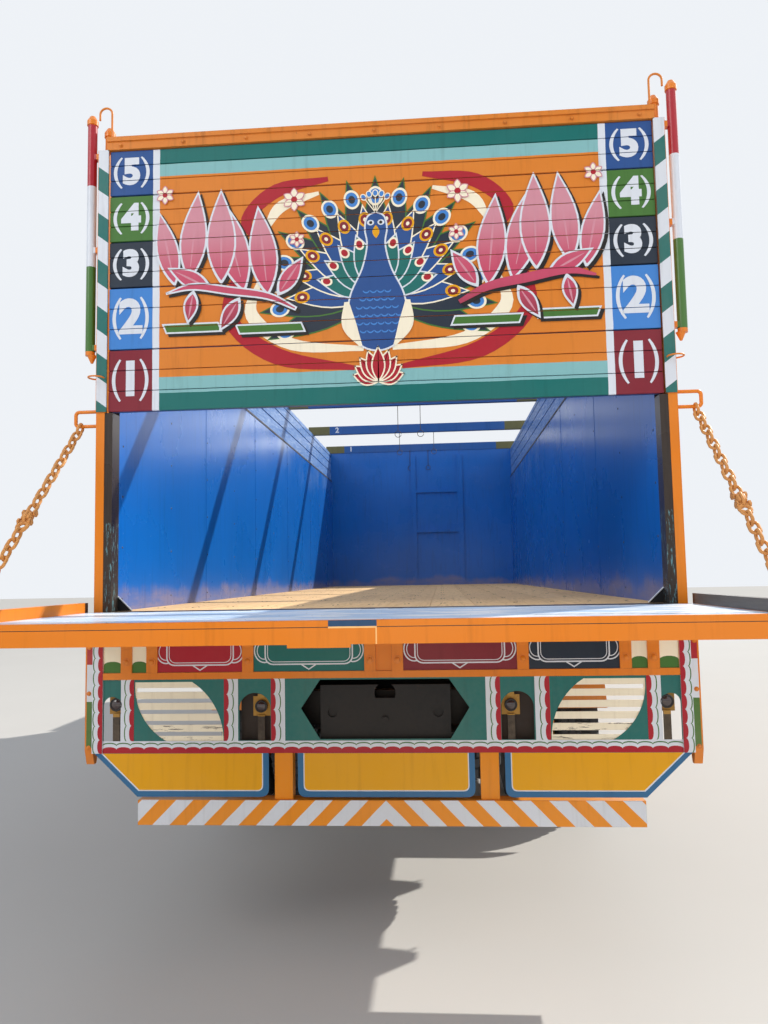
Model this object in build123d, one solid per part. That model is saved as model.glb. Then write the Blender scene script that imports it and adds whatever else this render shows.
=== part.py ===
from build123d import *
import os
from math import atan2, cos, degrees, hypot, pi, radians, sin

# Decorated cargo truck, tailgate down. Sizes in mm.
# X is to the right as seen from behind, Y forward, Z up from the ground.

# Length of the vehicle
WHEELBASE = 5200
REAR_OVERHANG = 2300  # rear axle to the rear face of the corner posts
FRONT_OVERHANG = 1350  # front axle to the front of the bumper
BUMPER_DEPTH = 70
CAB_GAP = 90  # between the load body's front ribs and the cab
LOAD_LENGTH = 6700  # rear face of the posts to the bulkhead

# Tailgate, which lies level behind the body when open
GATE_LENGTH = 835
GATE_THICK = 71
GATE_GAP = 5
GATE_SHEET = 5
GATE_RIM_HIGH = 40
GATE_RIM_WIDE = 34
NOSE_R = GATE_THICK / 2  # round root edge about the hinge axis
HINGE_BACK = NOSE_R + GATE_GAP  # hinge axis behind the posts

# Heights from the ground, each built on the ones before it
AXLE_Z = 515
TYRE_RADIUS = AXLE_Z
GUARD_GAP = 60  # from the twin tyres to their mudguard
GUARD_THICK = 5
RUNNER_HIGH = 90
BEARER_HIGH = 170
FLOOR_THICK = 50
WALL_HIGH = 1700
RAIL_BOTTOM = AXLE_Z + 275
BEARER_BOTTOM = AXLE_Z + TYRE_RADIUS + GUARD_GAP + GUARD_THICK + 35
RAIL_TOP = BEARER_BOTTOM - RUNNER_HIGH
FLOOR_BOTTOM = BEARER_BOTTOM + BEARER_HIGH
FLOOR_TOP = FLOOR_BOTTOM + FLOOR_THICK
WALL_TOP = FLOOR_TOP + WALL_HIGH
LINING_TOP = WALL_TOP - 365
POST_TOP = WALL_TOP + 290
BOARD_BOTTOM = FLOOR_TOP + 839
TOP_RAIL_HIGH = 56
SILL_BOTTOM = FLOOR_TOP - 250
PANEL_TOP = SILL_BOTTOM - 27
PANEL_BOTTOM = PANEL_TOP - 295

# Half widths, outwards from the rear opening
RAIL_HALF = 430
POST_HALF = 1200
TIMBER_HALF = POST_HALF - 37
INNER_HALF = TIMBER_HALF - 34
WALL_OUTER = POST_HALF - 20
STAKE_OUTER = POST_HALF + 22
GATE_HALF = POST_HALF + 40
CHAIN_X = GATE_HALF + 32

# Wheels
TYRE_HALF = 135
TYRE_TREAD_HALF = 108
TYRE_SHOULDER_R = 432
TYRE_BEAD_HALF = 92
TYRE_BEAD_R = 259
RIM_SEAT_R = 258
RIM_INNER_R = 248
RIM_FLANGE_R = 282
RIM_HALF = 106
RIM_FLANGE_THICK = 6
DISC_THICK = 12
WHEEL_OFFSET = 155  # wheel centre to the face of its disc
DISC_BORE_R = 90
DISC_FLAT_R = 150
HAND_HOLE_R = 30
HAND_HOLE_COUNT = 8
HAND_HOLE_PCD_R = 196
FRONT_TRACK_HALF = 975
REAR_FACE_HALF = 900  # where the twin wheels' discs meet
DRUM_R = 205
DRUM_WALL = 15
FIT_GAP = 1.5  # running clearance of pins and spindles

# Steering
KINGPIN_X = 830
KINGPIN_R = 20
ARM_LENGTH = 180
TRACK_ROD_R = 17

# Cab
CAB_HALF = 1150
CAB_WALL = 45
CAB_CORNER = 150
CAB_HIGH = 1550
CAB_SKIRT = RAIL_BOTTOM - 150
CAB_FLOOR_BOTTOM = RAIL_TOP + 76
CAB_FLOOR_TOP = CAB_FLOOR_BOTTOM + 34
CAB_ROOF = CAB_FLOOR_TOP + CAB_HIGH
ROOF_CROWN = 45
DOOR_BOTTOM = CAB_FLOOR_TOP
DOOR_TOP = CAB_ROOF - 100
DOOR_THICK = 45
DOOR_LENGTH = 820
DOOR_GAP = 8
PILLAR = 60
WINDOW_BOTTOM = CAB_FLOOR_TOP + 650
WINDOW_TOP = DOOR_TOP - 130
HINGE_STAND = 9  # door hinge axis outside the cab's side

# Places along Y, with the whole length centred on the origin
GATE_REACH = GATE_LENGTH + GATE_GAP
TOTAL_LENGTH = GATE_REACH + REAR_OVERHANG + WHEELBASE + FRONT_OVERHANG
Y_REAR = GATE_REACH - TOTAL_LENGTH / 2
Y_FRONT = TOTAL_LENGTH / 2
Y_REAR_AXLE = Y_REAR + REAR_OVERHANG
Y_FRONT_AXLE = Y_REAR_AXLE + WHEELBASE
BULKHEAD_THICK = 50
RIB_DEPTH = 40
Y_BULKHEAD = Y_REAR + LOAD_LENGTH
Y_BODY_FRONT = Y_BULKHEAD + BULKHEAD_THICK + RIB_DEPTH
Y_CAB_BACK = Y_BODY_FRONT + CAB_GAP
Y_CAB_FRONT = Y_FRONT - BUMPER_DEPTH
Y_DOOR_FRONT = Y_CAB_FRONT - CAB_CORNER - PILLAR
Y_DOOR_BACK = Y_DOOR_FRONT - DOOR_LENGTH
GATE_TOP = FLOOR_TOP
GATE_BOTTOM = GATE_TOP - GATE_THICK
HINGE_Y = Y_REAR - HINGE_BACK
HINGE_Z = GATE_TOP - NOSE_R


def block(x, y, z):
    """Box between a low and a high limit on each axis."""
    spans = [sorted(limits) for limits in (x, y, z)]
    sizes = [high - low for low, high in spans]
    middle = [(high + low) / 2 for low, high in spans]
    return Pos(*middle) * Box(*sizes)


def both_sides(shape):
    """The shape and its mirror image across the centre plane."""
    return shape + mirror(shape, about=Plane.YZ)


def to_side(shape, side):
    """A right-hand shape as it is, or mirrored to the left for side -1."""
    return shape if side > 0 else mirror(shape, about=Plane.YZ)


def turned(profile, x, y, z):
    """Solid of revolution about X from (x, radius) points, set at a centre."""
    face = make_face(Polyline(*profile, close=True))
    return Pos(x, y, z) * revolve(face, axis=Axis.X)


def rod_x(radius, x, y, z):
    """Round bar along X between two limits."""
    low, high = sorted(x)
    return Pos((low + high) / 2, y, z) * Rot(0, 90, 0) * Cylinder(radius, high - low)


def rod_y(radius, x, y, z):
    """Round bar along Y between two limits."""
    low, high = sorted(y)
    return Pos(x, (low + high) / 2, z) * Rot(90, 0, 0) * Cylinder(radius, high - low)


def rod_z(radius, x, y, z):
    """Round bar along Z between two limits."""
    low, high = sorted(z)
    return Pos(x, y, (low + high) / 2) * Cylinder(radius, high - low)


def drawn_xz(lines, y):
    """Plate drawn as it looks from behind, as thick as the Y limits."""
    low, high = sorted(y)
    face = Plane.XZ * make_face(lines)
    return Pos(0, high, 0) * extrude(face, high - low)


def drawn_yz(lines, x):
    """Plate drawn as it looks from the right, as thick as the X limits."""
    low, high = sorted(x)
    face = Plane.YZ * make_face(lines)
    return Pos(low, 0, 0) * extrude(face, high - low)


def bent_rod(points, bend, radius):
    """Round bar along straight runs joined by arcs."""
    path = FilletPolyline(*points, radius=bend)
    return sweep(Plane(path @ 0, z_dir=path % 0) * Circle(radius), path=path)


def spread(first, last, count):
    """Evenly spaced places from first to last."""
    return [first + (last - first) * i / (count - 1) for i in range(count)]


# Chassis

RAIL_WEB = 7
RAIL_FLANGE = 65
RAIL_FRONT_Y = Y_CAB_FRONT - CAB_WALL - 12
RAIL_REAR_Y = Y_REAR + 64
MEMBER_BOTTOM = RAIL_BOTTOM + 70
MEMBER_TOP = RAIL_TOP - 40
MEMBER_DEPTH = 60
SPARE_SADDLE = 8
Y_SPARE = Y_REAR + 900
GEARBOX_BACK = Y_CAB_BACK - 560


def chassis_frame():
    """Two channel rails, cross members, spring hangers and the spare wheel's saddle."""
    web_x = (RAIL_HALF - RAIL_WEB, RAIL_HALF)
    flange_x = (RAIL_HALF - RAIL_FLANGE, RAIL_HALF)
    run = (RAIL_REAR_Y, RAIL_FRONT_Y)
    rail = block(web_x, run, (RAIL_BOTTOM, RAIL_TOP))
    rail += block(flange_x, run, (RAIL_BOTTOM, RAIL_BOTTOM + RAIL_WEB))
    rail += block(flange_x, run, (RAIL_TOP - RAIL_WEB, RAIL_TOP))
    frame = both_sides(rail)
    member_ys = [
        RAIL_REAR_Y + 90,
        Y_SPARE,
        Y_REAR_AXLE,
        Y_REAR_AXLE + 1100,
        GEARBOX_BACK - 1300,
        GEARBOX_BACK - 120,
    ]
    inner = RAIL_HALF - RAIL_WEB
    for y in member_ys:
        frame += block((-inner, inner), (y, y + RAIL_WEB), (MEMBER_BOTTOM, MEMBER_TOP))
        frame += block((-inner, inner), (y, y + MEMBER_DEPTH), (MEMBER_TOP - RAIL_WEB, MEMBER_TOP))
    front_y = RAIL_FRONT_Y - 120
    frame += block((-inner, inner), (front_y, front_y + 50), (RAIL_BOTTOM, RAIL_BOTTOM + 60))
    saddle_z = (RAIL_BOTTOM - SPARE_SADDLE, RAIL_BOTTOM)
    frame += block((-RAIL_HALF, RAIL_HALF), (Y_SPARE - 90, Y_SPARE + 90), saddle_z)
    return frame


END_PLATE_HALF = 263
END_PLATE_THICK = 12
END_PLATE_FACE = Y_REAR + 34
END_PLATE_BOTTOM = RAIL_BOTTOM + 10
END_HOLE_X = 214
END_HOLE_R = 20
END_HOLE_Z = RAIL_TOP - 109
HALF_MOON_R = 43
END_PIN_R = 11


def rear_end_plate():
    """Plate across the frame's tail, with its half-moon and lightening holes."""
    back = END_PLATE_FACE + END_PLATE_THICK
    plate = block((-END_PLATE_HALF, END_PLATE_HALF), (END_PLATE_FACE, back), (END_PLATE_BOTTOM, RAIL_TOP))
    moon_z = RAIL_TOP - 34
    moon = rod_y(HALF_MOON_R, 0, (END_PLATE_FACE - 1, back + 1), moon_z)
    flat_z = moon_z - HALF_MOON_R * 0.45
    moon -= block((-60, 60), (END_PLATE_FACE - 2, back + 2), (flat_z - 60, flat_z))
    plate -= moon
    for x in (-END_HOLE_X, END_HOLE_X):
        plate -= rod_y(END_HOLE_R, x, (END_PLATE_FACE - 1, back + 1), END_HOLE_Z)
    plate += rod_y(END_PIN_R, 0, (END_PLATE_FACE - 16, back), RAIL_TOP - 135)
    reach = (back, RAIL_REAR_Y + 90)
    for x in (-220, 220):
        plate += block((x - 25, x + 25), reach, (MEMBER_BOTTOM, MEMBER_TOP))
    return plate


# Springs and axles

LEAF_THICK = 14
SPRING_X = {"front": 392, "rear": 476}
SPRING_WIDE = {"front": 70, "rear": 80}
AXLE_BEAM_TOP = AXLE_Z - 63
AXLE_BEAM_BOTTOM = AXLE_BEAM_TOP - 84
REAR_TUBE_R = 68
SPRING_SEAT = 20


def leaf_pack(half_lengths, arch_radius, low_z, width, x, y):
    """Spring of arched leaves, the longest on top, with an eye at each end."""
    centre_z = low_z + arch_radius
    pack = Part()
    for i, half in enumerate(half_lengths):
        outer = arch_radius - i * LEAF_THICK
        ring = Circle(outer) - Circle(outer - LEAF_THICK)
        window = Pos(0, -arch_radius) * Rectangle(2 * half, arch_radius)
        pack += extrude(Plane.YZ * (ring & window), width / 2, both=True)
    top_radius = arch_radius - (len(half_lengths) - 1) * LEAF_THICK
    end = half_lengths[-1]
    eye_z = -(top_radius ** 2 - end ** 2) ** 0.5 + LEAF_THICK / 2
    for y_eye in (-end, end):
        pack += rod_x(26, (-width / 2, width / 2), y_eye, eye_z)
    return Pos(x, y, centre_z) * pack, centre_z + eye_z


def leaf_springs():
    """Front and rear packs on both sides, each with hangers up to the rail."""
    springs = Part()
    table = [
        # axle, half lengths from the shortest leaf up, arch radius, seat height
        ("front", Y_FRONT_AXLE, [180, 270, 360, 450, 540, 600], 2600, AXLE_BEAM_TOP),
        ("rear", Y_REAR_AXLE, [190, 290, 390, 490, 590, 690, 720], 3300, AXLE_Z + REAR_TUBE_R),
    ]
    for name, y, halves, radius, seat in table:
        x = SPRING_X[name]
        width = SPRING_WIDE[name]
        pack, eye_z = leaf_pack(halves, radius, seat + SPRING_SEAT, width, x, y)
        side = both_sides(pack)
        for y_eye in (y - halves[-1], y + halves[-1]):
            hanger = hanger_plate(name, x, width, y_eye, eye_z)
            side += both_sides(hanger)
        springs += side
    return springs


def hanger_plate(name, x, width, y, eye_z):
    """Bracket from a spring's eye up to the rail it hangs from."""
    outline = Polyline((-34, eye_z - 20), (34, eye_z - 20), (60, RAIL_BOTTOM), (-60, RAIL_BOTTOM), close=True)
    plate = Pos(0, y, 0) * drawn_yz(outline, (x - width / 2, x + width / 2))
    if name == "rear":
        plate += block((RAIL_HALF, x + width / 2), (y - 60, y + 60), (RAIL_BOTTOM, RAIL_BOTTOM + 120))
    return plate


BOSS_R = 46
BOSS_HALF = 58
LUG_GAP = 5
LUG_HIGH = 42
LUG_TOP_Z = AXLE_Z + BOSS_HALF + LUG_GAP


def front_axle():
    """Dropped I-beam with a kingpin boss at each end and a seat under each spring."""
    beam_half = 620
    middle = (AXLE_BEAM_BOTTOM + AXLE_BEAM_TOP) / 2
    depth = (Y_FRONT_AXLE - 45, Y_FRONT_AXLE + 45)
    web = (Y_FRONT_AXLE - 9, Y_FRONT_AXLE + 9)
    outline = Polyline(
        (0, AXLE_BEAM_BOTTOM),
        (beam_half, AXLE_BEAM_BOTTOM),
        (KINGPIN_X - BOSS_R - 12, AXLE_Z - BOSS_HALF + 8),
        (KINGPIN_X, AXLE_Z - BOSS_HALF + 8),
        (KINGPIN_X, AXLE_Z + BOSS_HALF - 24),
        (KINGPIN_X - 60, AXLE_Z + BOSS_HALF - 24),
        (beam_half - 50, AXLE_BEAM_TOP),
        (0, AXLE_BEAM_TOP),
        close=True,
    )
    arm = drawn_xz(outline, depth)
    pocket = (60, beam_half - 70)
    for side_y in ((depth[0] - 1, web[0]), (web[1], depth[1] + 1)):
        arm -= block(pocket, side_y, (middle - 26, middle + 26))
    arm += rod_z(BOSS_R, KINGPIN_X, Y_FRONT_AXLE, (AXLE_Z - BOSS_HALF, AXLE_Z + BOSS_HALF))
    arm -= rod_z(KINGPIN_R + FIT_GAP, KINGPIN_X, Y_FRONT_AXLE, (AXLE_Z - 100, AXLE_Z + 100))
    half = SPRING_WIDE["front"] / 2
    seat_x = (SPRING_X["front"] - half, SPRING_X["front"] + half)
    seat_z = (AXLE_BEAM_TOP - 2, AXLE_BEAM_TOP + SPRING_SEAT)
    arm += block(seat_x, (Y_FRONT_AXLE - 70, Y_FRONT_AXLE + 70), seat_z)
    return both_sides(arm)


SPINDLE_R = 35
SPINDLE_END = 105  # past the wheel's centre
KNUCKLE_WEB = (KINGPIN_X + 66, KINGPIN_X + 92)
ARM_Z = AXLE_Z - BOSS_HALF - LUG_GAP - LUG_HIGH / 2
BALL_X = KINGPIN_X - 20
ROD_DROP = 40


def knuckle(side):
    """Steering knuckle: fork, kingpin, wheel spindle and steering arm."""
    y = Y_FRONT_AXLE
    fork = Part()
    for low in (LUG_TOP_Z, 2 * AXLE_Z - LUG_TOP_Z - LUG_HIGH):
        fork += rod_z(BOSS_R, KINGPIN_X, y, (low, low + LUG_HIGH))
        fork += block((KINGPIN_X, KNUCKLE_WEB[1]), (y - BOSS_R, y + BOSS_R), (low, low + LUG_HIGH))
    reach = BOSS_HALF + LUG_GAP + LUG_HIGH
    fork += block(KNUCKLE_WEB, (y - 52, y + 52), (AXLE_Z - reach, AXLE_Z + reach))
    fork += rod_z(KINGPIN_R, KINGPIN_X, y, (AXLE_Z - reach, AXLE_Z + reach))
    fork += rod_x(SPINDLE_R, (KNUCKLE_WEB[0], FRONT_TRACK_HALF + SPINDLE_END), y, AXLE_Z)
    arm_half = LUG_HIGH / 2
    outline = Polyline(
        (KINGPIN_X - 34, y),
        (KINGPIN_X + 34, y),
        (BALL_X + 20, y - ARM_LENGTH),
        (BALL_X - 20, y - ARM_LENGTH),
        close=True,
    )
    arm = Pos(0, 0, ARM_Z - arm_half) * extrude(make_face(outline), LUG_HIGH)
    arm += rod_z(24, BALL_X, y - ARM_LENGTH, (ARM_Z - arm_half, ARM_Z + arm_half))
    return to_side(fork + arm, side)


def track_rod():
    """Rod that joins the two steering arms, with a ball end under each arm."""
    y = Y_FRONT_AXLE - ARM_LENGTH
    arm_low = ARM_Z - LUG_HIGH / 2
    rod_z_mid = arm_low - ROD_DROP
    rod = rod_x(TRACK_ROD_R, (-BALL_X, BALL_X), y, rod_z_mid)
    end = rod_z(26, BALL_X, y, (rod_z_mid - 20, arm_low - 4))
    return rod + both_sides(end)


BANJO_R = 190
REAR_SPINDLE_R = 54
REAR_DRUM = (660, 800)
BACKPLATE = (640, 648)


def rear_axle():
    """Banjo housing, tapered tubes, spring seats, backplates and wheel spindles."""
    y = Y_REAR_AXLE
    banjo = turned([(-150, 0), (-150, 90), (-95, BANJO_R), (95, BANJO_R), (150, 90), (150, 0)], 0, y, AXLE_Z)
    nose = Pos(0, y + 190, AXLE_Z + 10) * Rot(-90, 0, 0) * Cone(120, 62, 220)
    axle = banjo + nose
    half = turned(
        [
            (120, 0),
            (120, 95),
            (300, REAR_TUBE_R),
            (BACKPLATE[0], REAR_TUBE_R),
            (BACKPLATE[0], 182),
            (BACKPLATE[1], 182),
            (BACKPLATE[1], REAR_SPINDLE_R),
            (REAR_FACE_HALF + 70, REAR_SPINDLE_R),
            (REAR_FACE_HALF + 70, 0),
        ],
        0,
        y,
        AXLE_Z,
    )
    seat_half = SPRING_WIDE["rear"] / 2
    seat_x = (SPRING_X["rear"] - seat_half, SPRING_X["rear"] + seat_half)
    half += block(seat_x, (y - 85, y + 85), (AXLE_Z, AXLE_Z + REAR_TUBE_R + SPRING_SEAT))
    return axle + both_sides(half)


def propeller_shaft():
    """Tube from the gearbox to the rear axle, with a flange at each end."""
    front = (0, GEARBOX_BACK, GEARBOX_Z)
    rear = (0, Y_REAR_AXLE + 306, AXLE_Z + 10)
    run = Vector(*front) - Vector(*rear)
    plane = Plane(origin=rear, z_dir=run)
    length = run.length
    shaft = plane * Pos(0, 0, length / 2) * Cylinder(46, length - 60)
    for low in (0, length - 90):
        shaft += plane * Pos(0, 0, low + 45) * Cylinder(34, 90)
        shaft += plane * Pos(0, 0, low + 45) * Box(120, 44, 60)
    return shaft


# Drive and tanks

GEARBOX_Z = RAIL_BOTTOM - 20
ENGINE_HALF = 320
ENGINE_BOTTOM = RAIL_BOTTOM - 150
TUNNEL_HALF = 400
TUNNEL_TOP = CAB_FLOOR_TOP + 250


def engine_block():
    """Engine as one plain mass with its sump and the gearbox behind it."""
    engine_y = (Y_CAB_BACK + 140, Y_CAB_BACK + 1400)
    engine = block((-ENGINE_HALF, ENGINE_HALF), engine_y, (ENGINE_BOTTOM, TUNNEL_TOP - 50))
    engine += block((-200, 200), (Y_FRONT_AXLE + 90, engine_y[1] - 60), (ENGINE_BOTTOM - 120, ENGINE_BOTTOM))
    bell = Plane(origin=(0, engine_y[0], GEARBOX_Z + 30), z_dir=(0, -1, 0))
    housing = loft([bell * Circle(250), bell.offset(240) * RectangleRounded(300, 320, 40)])
    tail = engine_y[0] - 240
    housing += block((-150, 150), (GEARBOX_BACK + 6, tail), (GEARBOX_Z - 130, GEARBOX_Z + 190))
    mounts = Part()
    for y in (engine_y[0] + 90, engine_y[1] - 160):
        mounts += block((ENGINE_HALF, RAIL_HALF - RAIL_WEB), (y, y + 80), (RAIL_BOTTOM + 110, RAIL_BOTTOM + 170))
    return engine + housing + both_sides(mounts)


def radiator():
    """Core with a header tank, standing in front of the engine."""
    y = (Y_CAB_FRONT - 300, Y_CAB_FRONT - 220)
    core = block((-310, 310), y, (RAIL_BOTTOM + 60, TUNNEL_TOP - 100))
    core += block((-330, 330), (y[0] - 12, y[1] + 12), (TUNNEL_TOP - 110, TUNNEL_TOP - 55))
    feet = block((300, RAIL_HALF - RAIL_WEB), (y[0] + 15, y[0] + 65), (RAIL_BOTTOM + 70, RAIL_BOTTOM + 110))
    return core + both_sides(feet)


Y_TANK = Y_REAR_AXLE + 2700
TANK_LENGTH = 1150
TANK_Z = RAIL_BOTTOM - 70
TANK_HIGH = 480
TANK_IN = RAIL_HALF + 80
TANK_OUT = WALL_OUTER - 110
BRACKET_LOW = RAIL_BOTTOM + 20


def fuel_tank():
    """Rounded tank on two saddles on the right-hand rail."""
    profile = RectangleRounded(TANK_OUT - TANK_IN, TANK_HIGH, 90)
    plane = Plane(origin=((TANK_IN + TANK_OUT) / 2, Y_TANK, TANK_Z), x_dir=(1, 0, 0), z_dir=(0, -1, 0))
    tank = extrude(plane * profile, TANK_LENGTH / 2, both=True)
    for y in (Y_TANK - 350, Y_TANK + 350):
        across = (y - 30, y + 30)
        tank_foot = TANK_Z - TANK_HIGH / 2
        saddle = block((RAIL_HALF, TANK_IN + 50), across, (RAIL_BOTTOM + 10, RAIL_BOTTOM + 170))
        saddle += block((TANK_IN - 40, TANK_OUT), across, (tank_foot - 12, tank_foot + 6))
        tank += saddle
    tank += rod_x(52, (TANK_OUT - 10, TANK_OUT + 35), Y_TANK + 420, RAIL_BOTTOM + 70)
    return tank


def air_tanks():
    """Two brake air cylinders slung from the left-hand rail."""
    tanks = Part()
    z = RAIL_BOTTOM - 90
    for x in (-600, -880):
        body = rod_y(118, x, (Y_TANK - 60, Y_TANK + 640), z)
        caps = [Pos(x, y, z) * Rot(90, 0, 0) * Cylinder(96, 40) for y in (Y_TANK - 70, Y_TANK + 650)]
        tanks += body + caps
    for y in (Y_TANK + 60, Y_TANK + 480):
        tanks += block((-RAIL_HALF, -960), (y, y + 50), (BRACKET_LOW, BRACKET_LOW + 40))
        tanks += block((-RAIL_HALF, -470), (y, y + 50), (BRACKET_LOW, BRACKET_LOW + 150))
    return tanks


def battery_box():
    """Lidded battery box on the left-hand rail."""
    y = (Y_TANK - 900, Y_TANK - 250)
    top = RAIL_BOTTOM + 110
    box = block((-960, -500), y, (top - 300, top))
    box += block((-975, -485), (y[0] - 15, y[1] + 15), (top, top + 36))
    box += block((-500, -RAIL_HALF), (y[0] + 60, y[1] - 60), (BRACKET_LOW, BRACKET_LOW + 70))
    return box


def silencer():
    """Silencer drum on the left with its inlet pipe and tailpipe."""
    y = (Y_TANK + 820, Y_TANK + 1380)
    z = RAIL_BOTTOM - 100
    drum = rod_y(125, -700, y, z)
    drum += rod_y(105, -700, (y[0] - 20, y[1] + 20), z)
    inlet_front = Y_CAB_BACK + 140
    bend_y = y[1] + 130
    inlet = bent_rod([(-700, y[1] + 10, z), (-700, bend_y, z), (-290, bend_y, z), (-290, inlet_front, z)], 60, 36)
    tail = bent_rod([(-700, y[0] - 5, z), (-700, y[0] - 90, z), (-1110, y[0] - 90, z)], 50, 32)
    hanger = block((-720, -RAIL_HALF), (y[0] + 200, y[0] + 250), (z + 118, z + 150))
    hanger += block((-470, -RAIL_HALF), (y[0] + 200, y[0] + 250), (z + 118, z + 210))
    return drum + inlet + tail + hanger


# Wheels

def tyre():
    """Tyre about the origin along X: tread, sloped shoulders and dished walls."""
    return turned(
        [
            (-TYRE_BEAD_HALF, TYRE_BEAD_R),
            (-TYRE_HALF, TYRE_SHOULDER_R),
            (-TYRE_TREAD_HALF, TYRE_RADIUS),
            (TYRE_TREAD_HALF, TYRE_RADIUS),
            (TYRE_HALF, TYRE_SHOULDER_R),
            (TYRE_BEAD_HALF, TYRE_BEAD_R),
        ],
        0,
        0,
        0,
    )


def rim():
    """Rim and dished disc about the origin, the disc's face at WHEEL_OFFSET."""
    flange_x = RIM_HALF - RIM_FLANGE_THICK
    face = WHEEL_OFFSET
    inner_face = face - DISC_THICK
    profile = [
        (-RIM_HALF, RIM_FLANGE_R),
        (-flange_x, RIM_FLANGE_R),
        (-flange_x, RIM_SEAT_R),
        (flange_x, RIM_SEAT_R),
        (flange_x, RIM_FLANGE_R),
        (RIM_HALF, RIM_FLANGE_R),
        (RIM_HALF, RIM_INNER_R),
        (46, RIM_INNER_R),
        (face, DISC_FLAT_R),
        (face, DISC_BORE_R),
        (inner_face, DISC_BORE_R),
        (inner_face, DISC_FLAT_R - 5),
        (24, RIM_INNER_R),
        (-RIM_HALF, RIM_INNER_R),
    ]
    wheel = turned(profile, 0, 0, 0)
    for i in range(HAND_HOLE_COUNT):
        angle = 2 * pi * i / HAND_HOLE_COUNT
        y, z = HAND_HOLE_PCD_R * cos(angle), HAND_HOLE_PCD_R * sin(angle)
        wheel -= rod_x(HAND_HOLE_R, (30, face + 5), y, z)
    return wheel


def drum(x, closed_at, hub_r):
    """Brake drum open towards the frame, as (x, radius) points of its section."""
    inner = DRUM_R - DRUM_WALL
    return [
        (x, inner),
        (x, DRUM_R),
        (closed_at, DRUM_R),
        (closed_at, hub_r),
        (closed_at - 10, hub_r),
        (closed_at - 10, inner),
    ]


def front_rim(side):
    """Front rim with its hub, grease cap and brake drum."""
    face = WHEEL_OFFSET - DISC_THICK
    bore = SPINDLE_R + FIT_GAP
    hub = [
        (-48, bore),
        (-48, 78),
        (face - 16, 78),
        (face - 16, 138),
        (face, 138),
        (face, DISC_BORE_R),
        (WHEEL_OFFSET + 24, DISC_BORE_R),
        (WHEEL_OFFSET + 30, 60),
        (WHEEL_OFFSET + 56, 54),
        (WHEEL_OFFSET + 62, 0),
        (SPINDLE_END + 5, 0),
        (SPINDLE_END + 5, bore),
    ]
    wheel = rim() + turned(hub, 0, 0, 0) + turned(drum(-44, 16, 70), 0, 0, 0)
    placed = Pos(FRONT_TRACK_HALF, Y_FRONT_AXLE, AXLE_Z) * wheel
    return to_side(placed, side)


def rear_rims(side):
    """Twin rims face to face on one hub with its brake drum."""
    inner_rim = Pos(REAR_FACE_HALF - WHEEL_OFFSET, 0, 0) * rim()
    outer_rim = Pos(REAR_FACE_HALF + WHEEL_OFFSET, 0, 0) * mirror(rim(), about=Plane.YZ)
    bore = REAR_SPINDLE_R + FIT_GAP
    face = REAR_FACE_HALF - DISC_THICK
    hub = [
        (REAR_DRUM[1] - 60, bore),
        (REAR_DRUM[1] - 60, 86),
        (face - 16, 86),
        (face - 16, 138),
        (face, 138),
        (face, DISC_BORE_R),
        (REAR_FACE_HALF + 60, DISC_BORE_R),
        (REAR_FACE_HALF + 66, 82),
        (REAR_FACE_HALF + 110, 76),
        (REAR_FACE_HALF + 114, 0),
        (REAR_FACE_HALF + 76, 0),
        (REAR_FACE_HALF + 76, bore),
    ]
    wheel = inner_rim + outer_rim + turned(hub, 0, 0, 0) + turned(drum(*REAR_DRUM, 80), 0, 0, 0)
    return to_side(Pos(0, Y_REAR_AXLE, AXLE_Z) * wheel, side)


def front_tyre(side):
    return to_side(Pos(FRONT_TRACK_HALF, Y_FRONT_AXLE, AXLE_Z) * tyre(), side)


def rear_tyres(side):
    """The two tyres of a twin wheel, a gap apart."""
    pair = Part()
    for x in (REAR_FACE_HALF - WHEEL_OFFSET, REAR_FACE_HALF + WHEEL_OFFSET):
        pair += Pos(x, Y_REAR_AXLE, AXLE_Z) * tyre()
    return to_side(pair, side)


def spare_wheel():
    """Spare wheel lying flat under the frame's tail, with its clamp."""
    wheel = tyre() + rod_x(TYRE_BEAD_R, (-60, -48), 0, 0)
    wheel += turned([(-60, 120), (-60, 150), (TYRE_HALF, 150), (TYRE_HALF, 120)], 0, 0, 0)
    z = RAIL_BOTTOM - SPARE_SADDLE - TYRE_HALF
    return Pos(0, Y_SPARE, z) * Rot(0, -90, 0) * wheel


# Guards

REAR_GUARD_R = TYRE_RADIUS + GUARD_GAP
FRONT_GUARD_R = TYRE_RADIUS + 77
STAY_Z = (RAIL_TOP - 40, RAIL_TOP - 10)


def arch_band(radius, thick, start, end):
    """Half ring between two angles from the front, drawn from the right."""
    a, b = radians(start), radians(end)
    middle = (a + b) / 2
    outer = radius + thick
    lines = ThreePointArc(
        (radius * cos(a), radius * sin(a)),
        (radius * cos(middle), radius * sin(middle)),
        (radius * cos(b), radius * sin(b)),
    )
    lines += Line((radius * cos(b), radius * sin(b)), (outer * cos(b), outer * sin(b)))
    lines += ThreePointArc(
        (outer * cos(b), outer * sin(b)),
        (outer * cos(middle), outer * sin(middle)),
        (outer * cos(a), outer * sin(a)),
    )
    lines += Line((outer * cos(a), outer * sin(a)), (radius * cos(a), radius * sin(a)))
    return lines


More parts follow.
